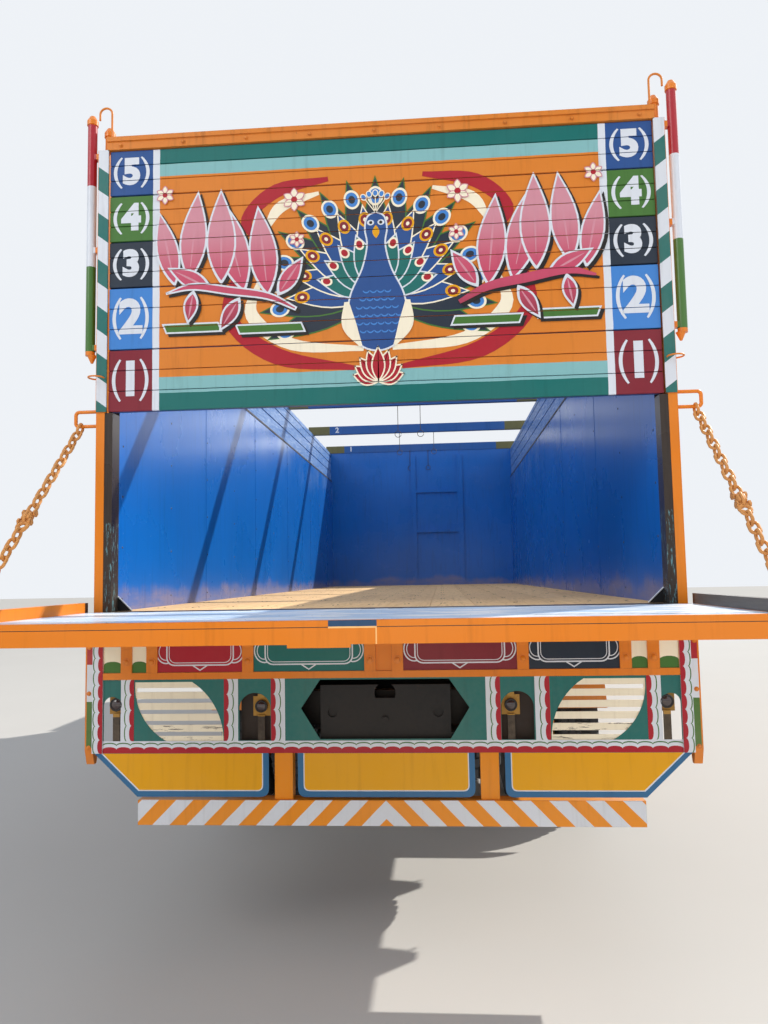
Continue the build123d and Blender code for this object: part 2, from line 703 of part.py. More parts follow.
def mudguards():
    """Arched guards over the front and twin wheels, hung from the rails and bearers."""
    table = [
        # axle y, radius, start and end angle, inner and outer x
        (Y_FRONT_AXLE, FRONT_GUARD_R, 20, 160, 600, CAB_HALF - 10),
        (Y_REAR_AXLE, REAR_GUARD_R, 14, 166, 600, STAKE_OUTER),
    ]
    guards = Part()
    for y, radius, start, end, x_in, x_out in table:
        band = drawn_yz(arch_band(radius, GUARD_THICK, start, end), (x_in, x_out))
        placed = Pos(0, y, AXLE_Z) * band
        top = AXLE_Z + radius
        for offset in (-120, 120):
            stay = block((RAIL_HALF, x_in + 30), (y + offset - 15, y + offset + 15), STAY_Z)
            stay += block((x_in, x_in + 30), (y + offset - 15, y + offset + 15), (STAY_Z[0], top - 8))
            placed += stay
        guards += both_sides(placed)
    return guards


def side_guards():
    """Two rails along each side between the wheels, on hangers from the bearers."""
    front = Y_FRONT_AXLE - 900
    back = Y_REAR_AXLE + 700
    x = (WALL_OUTER - 30, WALL_OUTER)
    post_x = (WALL_OUTER - 60, WALL_OUTER - 30)
    low = RAIL_BOTTOM - 230
    guard = Part()
    for z in (low, low + 200):
        guard += block(x, (back, front), (z, z + 80))
    for y in spread(back + 120, front - 120, 4):
        guard += block(post_x, (y - 30, y + 30), (low, BEARER_BOTTOM))
    guard += block(post_x, (back + 90, front - 90), (BEARER_BOTTOM - 30, BEARER_BOTTOM))
    return both_sides(guard)


def front_bumper():
    """Steel channel bumper with swept ends, on two brackets from the rails."""
    low, high = CAB_SKIRT - 80, CAB_SKIRT + 160
    sweep_back = 90
    end_return = 60
    outline = Polyline(
        (-CAB_HALF, Y_FRONT - sweep_back - end_return),
        (-CAB_HALF, Y_FRONT - sweep_back),
        (-CAB_HALF + 160, Y_FRONT),
        (CAB_HALF - 160, Y_FRONT),
        (CAB_HALF, Y_FRONT - sweep_back),
        (CAB_HALF, Y_FRONT - sweep_back - end_return),
        (CAB_HALF - 10, Y_FRONT - sweep_back - end_return),
        (CAB_HALF - 10, Y_FRONT - sweep_back - 4),
        (CAB_HALF - 164, Y_FRONT - 10),
        (-CAB_HALF + 164, Y_FRONT - 10),
        (-CAB_HALF + 10, Y_FRONT - sweep_back - 4),
        (-CAB_HALF + 10, Y_FRONT - sweep_back - end_return),
        close=True,
    )
    bumper = Pos(0, 0, low) * extrude(make_face(outline), high - low)
    for z in (low, high - 10):
        bumper += block((-CAB_HALF + 164, CAB_HALF - 164), (Y_FRONT - 50, Y_FRONT - 5), (z, z + 10))
    arm_x = (RAIL_HALF - 60, RAIL_HALF - 15)
    arm = block(arm_x, (RAIL_FRONT_Y - 90, Y_FRONT - 5), (low + 10, CAB_SKIRT - 8))
    arm += block(arm_x, (RAIL_FRONT_Y - 90, RAIL_FRONT_Y), (low + 10, RAIL_BOTTOM))
    return bumper + both_sides(arm)


# Cab

def cab_shell():
    """The cab's upright walls as one ring, rounded at the front corners."""
    length = Y_CAB_FRONT - Y_CAB_BACK
    middle = (Y_CAB_FRONT + Y_CAB_BACK) / 2
    outer = Pos(0, middle) * Rectangle(2 * CAB_HALF, length)
    corners = outer.vertices().group_by(Axis.Y)[-1]
    outer = fillet(corners, CAB_CORNER)
    inner = Pos(0, middle) * Rectangle(2 * (CAB_HALF - CAB_WALL), length - 2 * CAB_WALL)
    corners = inner.vertices().group_by(Axis.Y)[-1]
    inner = fillet(corners, CAB_CORNER - CAB_WALL)
    return Pos(0, 0, CAB_SKIRT) * extrude(outer - inner, CAB_ROOF - CAB_SKIRT)


GRILLE_HALF = 460
GRILLE_BOTTOM = CAB_SKIRT + 240
GRILLE_TOP = GRILLE_BOTTOM + 450
LAMP_X = 760
LAMP_Z = CAB_SKIRT + 320
LAMP_R = 98
SCREEN_HALF = CAB_HALF - 140
SCREEN_POST = 30
CORNER_Y = Y_CAB_FRONT - CAB_CORNER
SIDE_BASE = CAB_FLOOR_BOTTOM


def cab_front(shell):
    """Front panel with its rounded corners, screens, grille opening and lamp holes."""
    panel = shell & block((-CAB_HALF, CAB_HALF), (CORNER_Y, Y_CAB_FRONT + 10), (CAB_SKIRT, CAB_ROOF))
    through = (Y_CAB_FRONT - CAB_WALL - 5, Y_CAB_FRONT + 5)
    screen = block((SCREEN_POST, SCREEN_HALF - 60), through, (WINDOW_BOTTOM, WINDOW_TOP))
    panel -= both_sides(screen)
    panel -= block((-GRILLE_HALF, GRILLE_HALF), through, (GRILLE_BOTTOM, GRILLE_TOP))
    for x in (-LAMP_X, LAMP_X):
        panel -= rod_y(LAMP_R, x, through, LAMP_Z)
    ledge = (WINDOW_BOTTOM - 60, WINDOW_BOTTOM - 42)
    panel += block((-SCREEN_HALF + 40, SCREEN_HALF - 40), (Y_CAB_FRONT - 5, Y_CAB_FRONT + 12), ledge)
    return panel


def cab_sides(shell):
    """Side panels between the corners: door frame, rear quarter and step below the door."""
    sides = shell & block((-CAB_HALF, CAB_HALF), (Y_CAB_BACK + CAB_WALL, CORNER_Y), (SIDE_BASE, CAB_ROOF))
    step_back = Y_FRONT_AXLE + 625
    step_z = (CAB_SKIRT, SIDE_BASE)
    side = block((CAB_HALF - CAB_WALL, CAB_HALF), (step_back, CORNER_Y), step_z)
    tread_z = CAB_SKIRT + 130
    side -= block((CAB_HALF - 60, CAB_HALF + 5), (step_back + 70, CORNER_Y - 60), (tread_z, SIDE_BASE - 60))
    side += block((CAB_HALF - 230, CAB_HALF), (step_back + 60, CORNER_Y - 50), (tread_z - 20, tread_z))
    sides += both_sides(side)
    hole = door_blank(DOOR_GAP)
    sides -= both_sides(hole)
    height = (WINDOW_BOTTOM + 50, WINDOW_TOP - 120)
    quarter = block((CAB_HALF - 80, CAB_HALF + 5), (Y_CAB_BACK + 160, Y_DOOR_BACK - 150), height)
    return sides - both_sides(quarter)


def door_blank(grow):
    """The right-hand door's outline as a slab, grown on its edges for the opening."""
    x = (CAB_HALF - DOOR_THICK - grow, CAB_HALF + grow)
    y = (Y_DOOR_BACK - grow, Y_DOOR_FRONT + grow)
    z = (DOOR_BOTTOM - grow, DOOR_TOP + grow)
    return block(x, y, z)


def cab_door(side):
    """Door with its window cut, hinge barrels at the front edge and a pull handle."""
    door = door_blank(0)
    window_y = (Y_DOOR_BACK + 90, Y_DOOR_FRONT - 80)
    door -= block((CAB_HALF - 80, CAB_HALF + 5), window_y, (WINDOW_BOTTOM, DOOR_TOP - 90))
    hinge_x = CAB_HALF + HINGE_STAND
    for z in (DOOR_BOTTOM + 140, WINDOW_BOTTOM - 120):
        door += rod_z(8, hinge_x, Y_DOOR_FRONT, (z, z + 90))
        door += block((CAB_HALF, hinge_x), (Y_DOOR_FRONT - 70, Y_DOOR_FRONT), (z + 10, z + 80))
    grip_z = WINDOW_BOTTOM - 120
    door += block((CAB_HALF - 5, CAB_HALF + 30), (Y_DOOR_BACK + 50, Y_DOOR_BACK + 66), (grip_z, grip_z + 24))
    door += block((CAB_HALF - 5, CAB_HALF + 30), (Y_DOOR_BACK + 174, Y_DOOR_BACK + 190), (grip_z, grip_z + 24))
    door += block((CAB_HALF + 20, CAB_HALF + 34), (Y_DOOR_BACK + 50, Y_DOOR_BACK + 190), (grip_z, grip_z + 24))
    return to_side(door, side)


def cab_back(shell):
    """Rear wall with two small windows."""
    wall = shell & block((-CAB_HALF, CAB_HALF), (Y_CAB_BACK - 5, Y_CAB_BACK + CAB_WALL), (SIDE_BASE, CAB_ROOF))
    height = (WINDOW_BOTTOM + 100, WINDOW_TOP - 170)
    window = block((180, 760), (Y_CAB_BACK - 5, Y_CAB_BACK + CAB_WALL + 5), height)
    return wall - both_sides(window)


def cab_floor():
    """Floor with the raised tunnel over the engine, resting on two bearers."""
    half = CAB_HALF - CAB_WALL
    y = (Y_CAB_BACK + CAB_WALL, Y_CAB_FRONT - CAB_WALL)
    z = (CAB_FLOOR_BOTTOM, CAB_FLOOR_TOP)
    floor = block((-half, half), (y[0], Y_DOOR_FRONT + 60), z)
    floor -= block((-TUNNEL_HALF, TUNNEL_HALF), (y[0] - 5, y[1] + 5), (z[0] - 5, z[1] + 5))
    skin = 25
    hump = block((-TUNNEL_HALF, TUNNEL_HALF), y, (z[0], TUNNEL_TOP))
    hump -= block((-TUNNEL_HALF + skin, TUNNEL_HALF - skin), (y[0] - 5, y[1] + 5), (z[0] - 5, TUNNEL_TOP - skin))
    floor += hump
    bearer = block((RAIL_HALF - 60, RAIL_HALF - 15), (y[0] + 20, y[0] + 90), (RAIL_TOP, z[0]))
    bearer += block((RAIL_HALF - 60, RAIL_HALF - 15), (y[1] - 400, y[1] - 330), (RAIL_TOP, z[0]))
    return floor + both_sides(bearer)


def cab_roof():
    """Roof panel, arched across and following the walls' outline."""
    rise = ROOF_CROWN
    length = Y_CAB_FRONT - Y_CAB_BACK
    outline = Line((-CAB_HALF, CAB_ROOF), (CAB_HALF, CAB_ROOF))
    outline += Line((CAB_HALF, CAB_ROOF), (CAB_HALF, CAB_ROOF + 14))
    outline += ThreePointArc(
        (CAB_HALF, CAB_ROOF + 14), (0, CAB_ROOF + 14 + rise), (-CAB_HALF, CAB_ROOF + 14)
    )
    outline += Line((-CAB_HALF, CAB_ROOF + 14), (-CAB_HALF, CAB_ROOF))
    roof = drawn_xz(outline, (Y_CAB_BACK, Y_CAB_FRONT))
    plan = Pos(0, (Y_CAB_FRONT + Y_CAB_BACK) / 2) * Rectangle(2 * CAB_HALF, length)
    plan = fillet(plan.vertices().group_by(Axis.Y)[-1], CAB_CORNER)
    return roof & (Pos(0, 0, CAB_ROOF - 5) * extrude(plan, 200))


def windscreen():
    """Two flat panes set in the front panel's openings."""
    y = Y_CAB_FRONT - CAB_WALL / 2
    pane = block((SCREEN_POST, SCREEN_HALF - 60), (y - 3, y + 3), (WINDOW_BOTTOM, WINDOW_TOP))
    return both_sides(pane)


GRILLE_BARS = 9


def grille():
    """Framed grille of level bars on two uprights."""
    y = (Y_CAB_FRONT - 30, Y_CAB_FRONT - 12)
    frame_y = (Y_CAB_FRONT - 34, Y_CAB_FRONT + 10)
    border = 24
    frame = block((-GRILLE_HALF, GRILLE_HALF), frame_y, (GRILLE_BOTTOM, GRILLE_TOP))
    inside = (-GRILLE_HALF + border, GRILLE_HALF - border)
    frame -= block(inside, (frame_y[0] - 1, frame_y[1] + 1), (GRILLE_BOTTOM + border, GRILLE_TOP - border))
    for z in spread(GRILLE_BOTTOM + border + 20, GRILLE_TOP - border - 42, GRILLE_BARS):
        frame += block(inside, y, (z, z + 22))
    for x in (-170, 145):
        frame += block((x, x + 25), (y[0] - 4, y[1] - 6), (GRILLE_BOTTOM + border, GRILLE_TOP - border))
    return frame


def headlamps():
    """Round lamps with domed lenses and mounting bowls."""
    bowl = [(-70, 0), (-70, 50), (-CAB_WALL + 8, LAMP_R - 3), (12, LAMP_R - 3), (12, 82), (22, 50), (26, 0)]
    face = make_face(Polyline(*bowl, close=True))
    lamp = revolve(face, axis=Axis.X)
    placed = Pos(LAMP_X, Y_CAB_FRONT, LAMP_Z) * Rot(0, 0, 90) * lamp
    ring = rod_y(LAMP_R + 16, LAMP_X, (Y_CAB_FRONT, Y_CAB_FRONT + 10), LAMP_Z)
    ring -= rod_y(LAMP_R - 4, LAMP_X, (Y_CAB_FRONT - 5, Y_CAB_FRONT + 15), LAMP_Z)
    return both_sides(placed + ring)


CROWN_DEPTH = 620
CROWN_SIDE = CAB_ROOF + 310
CROWN_MID = CAB_ROOF + 480


def crown_board():
    """Decorated crown over the windscreen: arched front board, sides and floor."""
    base = CAB_ROOF + 14
    half = CAB_HALF
    shoulder = CROWN_SIDE + 45
    top = Line((-half, base), (half, base))
    top += Line((half, base), (half, CROWN_SIDE))
    top += ThreePointArc((half, CROWN_SIDE), (half * 0.75, shoulder), (half / 2, CROWN_SIDE))
    top += ThreePointArc((half / 2, CROWN_SIDE), (0, CROWN_MID), (-half / 2, CROWN_SIDE))
    top += ThreePointArc((-half / 2, CROWN_SIDE), (-half * 0.75, shoulder), (-half, CROWN_SIDE))
    top += Line((-half, CROWN_SIDE), (-half, base))
    board = drawn_xz(top, (Y_CAB_FRONT - 10, Y_CAB_FRONT + 25))
    back = Y_CAB_FRONT - 10 - CROWN_DEPTH
    wing = Polyline((back, base), (Y_CAB_FRONT - 10, base), (Y_CAB_FRONT - 10, CROWN_SIDE - 20),
                    (back, base + 110), close=True)
    side = drawn_yz(wing, (CAB_HALF - 30, CAB_HALF))
    board += both_sides(side)
    board += block((-CAB_HALF + 30, CAB_HALF - 30), (back, back + 30), (base + 20, base + 110))
    board -= cab_roof()
    return board


def seats():
    """Driver's seat on the right and the crew bench on the left."""
    y = Y_CAB_BACK + CAB_WALL + 60
    table = [
        # inner and outer x, base height, seat length, back height
        (450, 950, CAB_FLOOR_TOP, 480, 560),
        (-1040, -430, CAB_FLOOR_TOP, 480, 480),
    ]
    seat = Part()
    for x0, x1, base, length, back in table:
        outline = Polyline((y + 120, base), (y + 120 + length, base), (y + 120 + length, base + 330),
                           (y + 130, base + 300), (y + 70, base + 300 + back), (y, base + 300 + back),
                           (y + 40, base + 200), (y + 120, base + 200), close=True)
        seat += drawn_yz(outline, (x0, x1))
    return seat


DASH_TOP = WINDOW_BOTTOM - 60


def dashboard():
    """Dashboard with a raised instrument hood on the driver's side."""
    back = Y_CAB_FRONT - CAB_WALL - 330
    front = Y_CAB_FRONT - CAB_WALL
    top = DASH_TOP
    outline = Polyline(
        (front, top - 320),
        (front, top),
        (back + 60, top),
        (back, top - 100),
        (back + 30, top - 240),
        close=True,
    )
    half = CAB_HALF - CAB_CORNER
    board = drawn_yz(outline, (-half, half))
    lip = back + 250
    hood = Polyline((back + 70, top), (lip, top), (lip, top + 60), (back + 40, top + 80), close=True)
    return board + drawn_yz(hood, (480, 920))


def steering_wheel():
    """Wheel, three spokes and the column down to the floor."""
    tilt = 28
    centre = (700, Y_CAB_FRONT - 560, DASH_TOP + 120)
    wheel = Torus(230, 15)
    for i in range(3):
        wheel += Rot(0, 0, 120 * i + 90) * Pos(112, 0, -8) * Box(224, 26, 10)
    wheel += Pos(0, 0, -20) * Cylinder(45, 50)
    wheel += Pos(0, 0, -130) * Cylinder(28, 200)
    column = Pos(*centre) * Rot(tilt, 0, 0) * wheel
    foot = (700, centre[1] + 220 * sin(radians(tilt)), centre[2] - 220 * cos(radians(tilt)))
    column += bent_rod([foot, (700, foot[1] + 60, foot[2] - 200), (700, foot[1] + 60, CAB_FLOOR_TOP)], 40, 24)
    return column


def mirrors():
    """Tall mirrors on two-arm brackets at the front corners."""
    y = CORNER_Y - 6
    x = CAB_HALF + 90
    z = WINDOW_BOTTOM + 350
    head = Pos(x, y, z) * extrude(Plane.XZ * RectangleRounded(96, 340, 20), 16, both=True)
    arm_top = bent_rod([(CAB_HALF, y, z + 230), (x, y, z + 230), (x, y, z + 150)], 25, 9)
    arm_low = bent_rod([(CAB_HALF, y, z - 230), (x, y, z - 230), (x, y, z - 150)], 25, 9)
    return both_sides(head + arm_top + arm_low)


# Load body

BEARER_COUNT = 10
BEARER_WIDE = 90
RUNNER_HALF = (370, 425)
FIRST_BEARER = 330
LAST_BEARER = LOAD_LENGTH - 120
BEARER_YS = [Y_REAR + y for y in spread(FIRST_BEARER, LAST_BEARER, BEARER_COUNT)]
SILL_DEPTH = 60


def body_bearers():
    """Channel cross bearers with tapered ends on two long runners."""
    run = (Y_REAR + SILL_DEPTH, Y_BODY_FRONT)
    frame = both_sides(block(RUNNER_HALF, run, (RAIL_TOP, BEARER_BOTTOM)))
    taper = 60
    end = WALL_OUTER
    outline = Polyline(
        (-end, FLOOR_BOTTOM),
        (end, FLOOR_BOTTOM),
        (end, BEARER_BOTTOM + taper),
        (end - 350, BEARER_BOTTOM),
        (-end + 350, BEARER_BOTTOM),
        (-end, BEARER_BOTTOM + taper),
        close=True,
    )
    for y in BEARER_YS:
        beam = drawn_xz(outline, (y, y + BEARER_WIDE))
        for side in (-1, 1):
            recess = (side * 20, side * (end - 30))
            beam -= block(recess, (y + 10, y + BEARER_WIDE + 5), (BEARER_BOTTOM + taper + 10, FLOOR_BOTTOM - 12))
        frame += beam
    return frame


PLANK_COUNT = 12
PLANK_GAP = 2


def floor_planks():
    """Lengthwise planks, a narrow gap apart, tied by two thin battens under them."""
    width = (2 * INNER_HALF - PLANK_GAP) / PLANK_COUNT
    run = (Y_REAR + SILL_DEPTH, Y_BULKHEAD)
    floor = Part()
    for i in range(PLANK_COUNT):
        x = -INNER_HALF + PLANK_GAP + i * width
        floor += block((x, x + width - PLANK_GAP), run, (FLOOR_BOTTOM + 4, FLOOR_TOP))
    half = INNER_HALF - PLANK_GAP
    return floor + block((-half, half), run, (FLOOR_BOTTOM, FLOOR_BOTTOM + 4))


STAKE_WIDE = 64
POST_DEPTH = 75
WAIST_RAILS = [
    (FLOOR_TOP + 12, FLOOR_TOP + 72),
    (FLOOR_TOP + 660, FLOOR_TOP + 710),
    (LINING_TOP - 50, LINING_TOP),
]


def side_walls():
    """Lined walls with their outer stakes and waist rails."""
    run = (Y_REAR + POST_DEPTH, Y_BULKHEAD)
    wall = block((INNER_HALF, WALL_OUTER), run, (FLOOR_BOTTOM, LINING_TOP))
    for y in BEARER_YS:
        middle = y + BEARER_WIDE / 2
        across = (middle - STAKE_WIDE / 2, middle + STAKE_WIDE / 2)
        wall += block((WALL_OUTER, STAKE_OUTER), across, (BEARER_BOTTOM + 60, WALL_TOP))
    for z in WAIST_RAILS:
        wall += block((WALL_OUTER, WALL_OUTER + 26), run, z)
    return both_sides(wall)


PLANK_SET_BACK = 15
UPPER_PLANKS = [
    # low and high z of each upper plank
    (WALL_TOP - 348, WALL_TOP - 245),
    (WALL_TOP - 233, WALL_TOP - 138),
    (WALL_TOP - 126, WALL_TOP - 48),
    (WALL_TOP - 38, WALL_TOP),
]


def upper_planks():
    """Rough planks above the lining, a gap apart, tied by flat cleats."""
    run = (Y_REAR + POST_DEPTH, Y_BULKHEAD)
    inner = INNER_HALF + PLANK_SET_BACK
    planks = Part()
    for z in UPPER_PLANKS:
        planks += block((inner, WALL_OUTER - 4), run, z)
    for y in BEARER_YS:
        planks += block((WALL_OUTER - 4, WALL_OUTER), (y, y + BEARER_WIDE), (UPPER_PLANKS[0][0], WALL_TOP))
    return both_sides(planks)


RIB_INNER = 24


def bulkhead():
    """Front wall with a framed panel inside and stakes outside."""
    wall = block((-WALL_OUTER, WALL_OUTER), (Y_BULKHEAD, Y_BULKHEAD + BULKHEAD_THICK), (FLOOR_BOTTOM, WALL_TOP))
    inside = (Y_BULKHEAD - RIB_INNER, Y_BULKHEAD)
    for x in ((-122, -58), (458, 532)):
        wall += block(x, inside, (FLOOR_TOP, WALL_TOP - 60))
    for z in (FLOOR_TOP + 660, WALL_TOP - 536):
        wall += block((-58, 458), inside, (z, z + 36))
    outside = (Y_BULKHEAD + BULKHEAD_THICK, Y_BODY_FRONT)
    for x in spread(-1100, 1040, 5):
        wall += block((x, x + 60), outside, (BEARER_BOTTOM, WALL_TOP))
    wall += block((-WALL_OUTER, WALL_OUTER), outside, (WALL_TOP - 60, WALL_TOP))
    return wall


BOARD_DEPTH = (5, 38)
BOARD_HALF = POST_HALF - 50
BOARD_GAP = 3
BOARD_SHARES = [0, 0.2329, 0.4674, 0.6438, 0.8219, 1]  # edges between the lowest board's foot and the posts' top
BOARD_EDGES = [BOARD_BOTTOM + share * (POST_TOP - BOARD_BOTTOM) for share in BOARD_SHARES]


def upper_boards():
    """Five lift-out boards stacked between the posts, each in bevelled planks."""
    boards = Part()
    y = (Y_REAR + BOARD_DEPTH[0], Y_REAR + BOARD_DEPTH[1])
    for low, high in zip(BOARD_EDGES, BOARD_EDGES[1:]):
        boards += block((-BOARD_HALF, BOARD_HALF), y, (low, high - BOARD_GAP))
    return boards


FLAT_THICK = 6
FLAT_INNER = POST_HALF - 46


def rear_posts():
    """Steel corner posts with the striped retaining flats in front of the boards."""
    post = block((TIMBER_HALF, POST_HALF), (Y_REAR, Y_REAR + POST_DEPTH), (SILL_BOTTOM, POST_TOP))
    groove_y = (Y_REAR + 44, Y_REAR + POST_DEPTH - 6)
    post -= block((TIMBER_HALF - 1, POST_HALF - 6), groove_y, (FLOOR_TOP + 40, POST_TOP + 1))
    post += block((FLAT_INNER, POST_HALF), (Y_REAR - FLAT_THICK, Y_REAR), (BOARD_BOTTOM, POST_TOP))
    return both_sides(post)


def post_timbers():
    """Timber strips lining the posts beside the rear opening."""
    strip = block((INNER_HALF, TIMBER_HALF), (Y_REAR + 2, Y_REAR + POST_DEPTH), (FLOOR_TOP, BOARD_BOTTOM - 4))
    return both_sides(strip)


PIPE_X = POST_HALF + 40
PIPE_R = 20
PIPE_BOTTOM = POST_TOP - 900
PIPE_TOP = POST_TOP + 130
POST_PIPE_X = POST_HALF - 24
CAP_R = 24
STAPLE_Z = FLOOR_TOP + 784
STAPLE_Y = Y_REAR + 22
STAPLE_R = 7.5
STAPLE_END = CHAIN_X + 26


def corner_pipes():
    """Capped pipes outside the posts, the posts' own caps, and the chain staples."""
    y = Y_REAR + 24
    profile = Polyline((0, 0), (CAP_R, 0), (CAP_R, 20), (0.5 * CAP_R, 41), (0, 46), close=True)
    cap = revolve(Plane.XZ * make_face(profile), axis=Axis.Z)
    pipe = rod_z(PIPE_R, PIPE_X, y, (PIPE_BOTTOM, PIPE_TOP)) + Pos(PIPE_X, y, PIPE_TOP) * cap
    foot = Pos(PIPE_X - 8, y, PIPE_BOTTOM - 16) * Rot(180, 0, 0) * Cone(PIPE_R, 5, 34)
    pipe += foot
    for z in (PIPE_BOTTOM + 20, POST_TOP - 450, POST_TOP - 30):
        pipe += block((POST_HALF, PIPE_X - 10), (y - 14, y + 14), (z, z + 24))
    pipe += rod_z(PIPE_R, POST_PIPE_X, y + 34, (POST_TOP, PIPE_TOP - 40))
    pipe += Pos(POST_PIPE_X, y + 34, PIPE_TOP - 40) * cap
    rise = 62
    staple = bent_rod(
        [
            (POST_HALF, STAPLE_Y, STAPLE_Z + rise),
            (STAPLE_END, STAPLE_Y, STAPLE_Z + rise),
            (STAPLE_END, STAPLE_Y, STAPLE_Z),
            (POST_HALF, STAPLE_Y, STAPLE_Z),
        ],
        15,
        STAPLE_R,
    )
    return both_sides(pipe + staple)


HOOK_R = 4.5


def top_rail():
    """Two-step rail over the boards with a bent tie hook near each end."""
    half = TIMBER_HALF - 1
    y = Y_REAR
    rail = block((-half, half), (y - 4, y + 34), (POST_TOP, POST_TOP + 36))
    rail += block((-half, half), (y - 10, y + 34), (POST_TOP + 36, POST_TOP + TOP_RAIL_HIGH))
    hook = bent_rod(
        [
            (BOARD_HALF, y + 18, POST_TOP + TOP_RAIL_HIGH - 4),
            (BOARD_HALF, y + 18, POST_TOP + 204),
            (BOARD_HALF + 54, y + 18, POST_TOP + 204),
            (BOARD_HALF + 54, y + 18, POST_TOP + 150),
        ],
        26.9,
        HOOK_R,
    )
    return rail + both_sides(hook)


CROSSBAR_YS = [1160, 2560, 3960, 5360]


def crossbars():
    """Removable bars across the top of the walls."""
    bars = Part()
    z = (WALL_TOP, WALL_TOP + 90)
    for y in [Y_REAR + y for y in CROSSBAR_YS] + [Y_BULKHEAD - 8]:
        bars += block((-POST_HALF, POST_HALF), (y, y + 55), z)
    return bars


STRAPS = [
    # centre x of each hinge strap on the right half
    55,
    552,
    POST_HALF - 250,
    POST_HALF - 143,
]
STRAP_WIDE = 46
STRAP_THICK = 8
STRAP_TOP = FLOOR_TOP - 94
EYE_R = 22
PIN_R = 10


def rear_sill():
    """End beam of the floor with its hinge straps, each with an eye for the gate's pin."""
    sill = block((-POST_HALF + 1, POST_HALF - 1), (Y_REAR, Y_REAR + SILL_DEPTH), (SILL_BOTTOM, FLOOR_TOP))
    for side in (-1, 1):
        corner = (side * TIMBER_HALF, side * POST_HALF)
        sill -= block(corner, (Y_REAR - 1, Y_REAR + SILL_DEPTH + 1), (SILL_BOTTOM - 1, FLOOR_TOP + 1))
    sill += block((-POST_HALF, POST_HALF), (Y_REAR - 6, Y_REAR + SILL_DEPTH), (PANEL_TOP, SILL_BOTTOM))
    strap = Part()
    for x in STRAPS:
        across = (x - STRAP_WIDE / 2, x + STRAP_WIDE / 2)
        strap += block(across, (Y_REAR - STRAP_THICK, Y_REAR), (SILL_BOTTOM, STRAP_TOP))
        web = Polyline(
            (Y_REAR, STRAP_TOP - 60),
            (Y_REAR, HINGE_Z + 8),
            (HINGE_Y + 6, HINGE_Z + 8),
            (HINGE_Y + 6, HINGE_Z - 8),
            (Y_REAR - STRAP_THICK, STRAP_TOP - 60),
            close=True,
        )
        strap += drawn_yz(web, across)
        strap += rod_x(EYE_R, across, HINGE_Y, HINGE_Z)
        strap -= rod_x(PIN_R + FIT_GAP, (across[0] - 1, across[1] + 1), HINGE_Y, HINGE_Z)
    return sill + both_sides(strap)


NOTCH_SIDE = 6
NOTCH_DEEP = 34
GATE_EDGE = 46
GATE_RIBS = 5
STUB_R = 7
STUB_HEAD_R = 13
STUB_REACH = 28  # past the chain's centre line
STUB_BACK = 790  # gate's stub behind the posts
STUB_Z = GATE_TOP - 18
LATCH_X = (-224, -33)


def tailgate():
    """Gate lying level: sheet, edge channels, ribs below, side rims, latch and hinge pins."""
    y_tip = Y_REAR - GATE_REACH
    gate = block((-GATE_HALF, GATE_HALF), (y_tip, HINGE_Y), (GATE_BOTTOM, GATE_TOP))
    gate += rod_x(NOSE_R, (-GATE_HALF, GATE_HALF), HINGE_Y, HINGE_Z)
    inside_x = (-GATE_HALF + GATE_EDGE, GATE_HALF - GATE_EDGE)
    root_edge = HINGE_BACK + NOTCH_DEEP + GATE_EDGE
    inside_y = (y_tip + GATE_EDGE, Y_REAR - root_edge)
    gate -= block(inside_x, inside_y, (GATE_BOTTOM - 1, GATE_TOP - GATE_SHEET))
    for x in spread(inside_x[0], inside_x[1], GATE_RIBS + 2)[1:-1]:
        gate += block((x - 22, x + 22), inside_y, (GATE_BOTTOM + 8, GATE_TOP - GATE_SHEET))
    for side in (-1, 1):
        rim_x = (side * (GATE_HALF - GATE_RIM_WIDE), side * GATE_HALF)
        gate += block(rim_x, (y_tip, HINGE_Y), (GATE_TOP, GATE_TOP + GATE_RIM_HIGH))
    for side in (-1, 1):
        for x in STRAPS:
            reach = STRAP_WIDE / 2 + NOTCH_SIDE
            notch_x = (side * x - reach, side * x + reach)
            notch_y = (HINGE_Y - NOTCH_DEEP, Y_REAR)
            gate -= block(notch_x, notch_y, (GATE_BOTTOM - 1, GATE_TOP + 1))
            gate += rod_x(PIN_R, (notch_x[0] - 2, notch_x[1] + 2), HINGE_Y, HINGE_Z)
        stub_x = (side * (GATE_HALF - 2), side * (CHAIN_X + STUB_REACH))
        head_x = (side * (CHAIN_X + STUB_REACH - 1), side * (CHAIN_X + STUB_REACH + 4))
        gate += rod_x(STUB_R, stub_x, Y_REAR - STUB_BACK, STUB_Z)
        gate += rod_x(STUB_HEAD_R, head_x, Y_REAR - STUB_BACK, STUB_Z)
    gate += block(LATCH_X, (y_tip, y_tip + 8), (GATE_BOTTOM - 10, GATE_TOP))
    return gate


# Chains

LINK_WIRE = 12
LINK_WIDE = 44
LINK_CORNER = 14
LINK_COUNT = 22
LINK_LAP = 1.5  # each link's end presses into the next, as one rigid run
HOOK_BORE = STUB_R + FIT_GAP
HOOK_EYE = 78  # from the stub to the hook's eye
HOOK_EYE_R = 9
TOP_BORE = STAPLE_R + 2.5
CHAIN_DY = -STUB_BACK - (STAPLE_Y - Y_REAR)
CHAIN_DZ = STUB_Z - STAPLE_Z
CHAIN_LENGTH = hypot(CHAIN_DY, CHAIN_DZ)
KNOT_LINK = 11


def link_outline(inner_length):
    """Long link in the plane of X and Y, with cut corners."""
    outer = Rectangle(LINK_WIDE, inner_length + 2 * LINK_WIRE)
    return chamfer(outer.vertices(), LINK_CORNER) - Rectangle(LINK_WIDE - 2 * LINK_WIRE, inner_length)


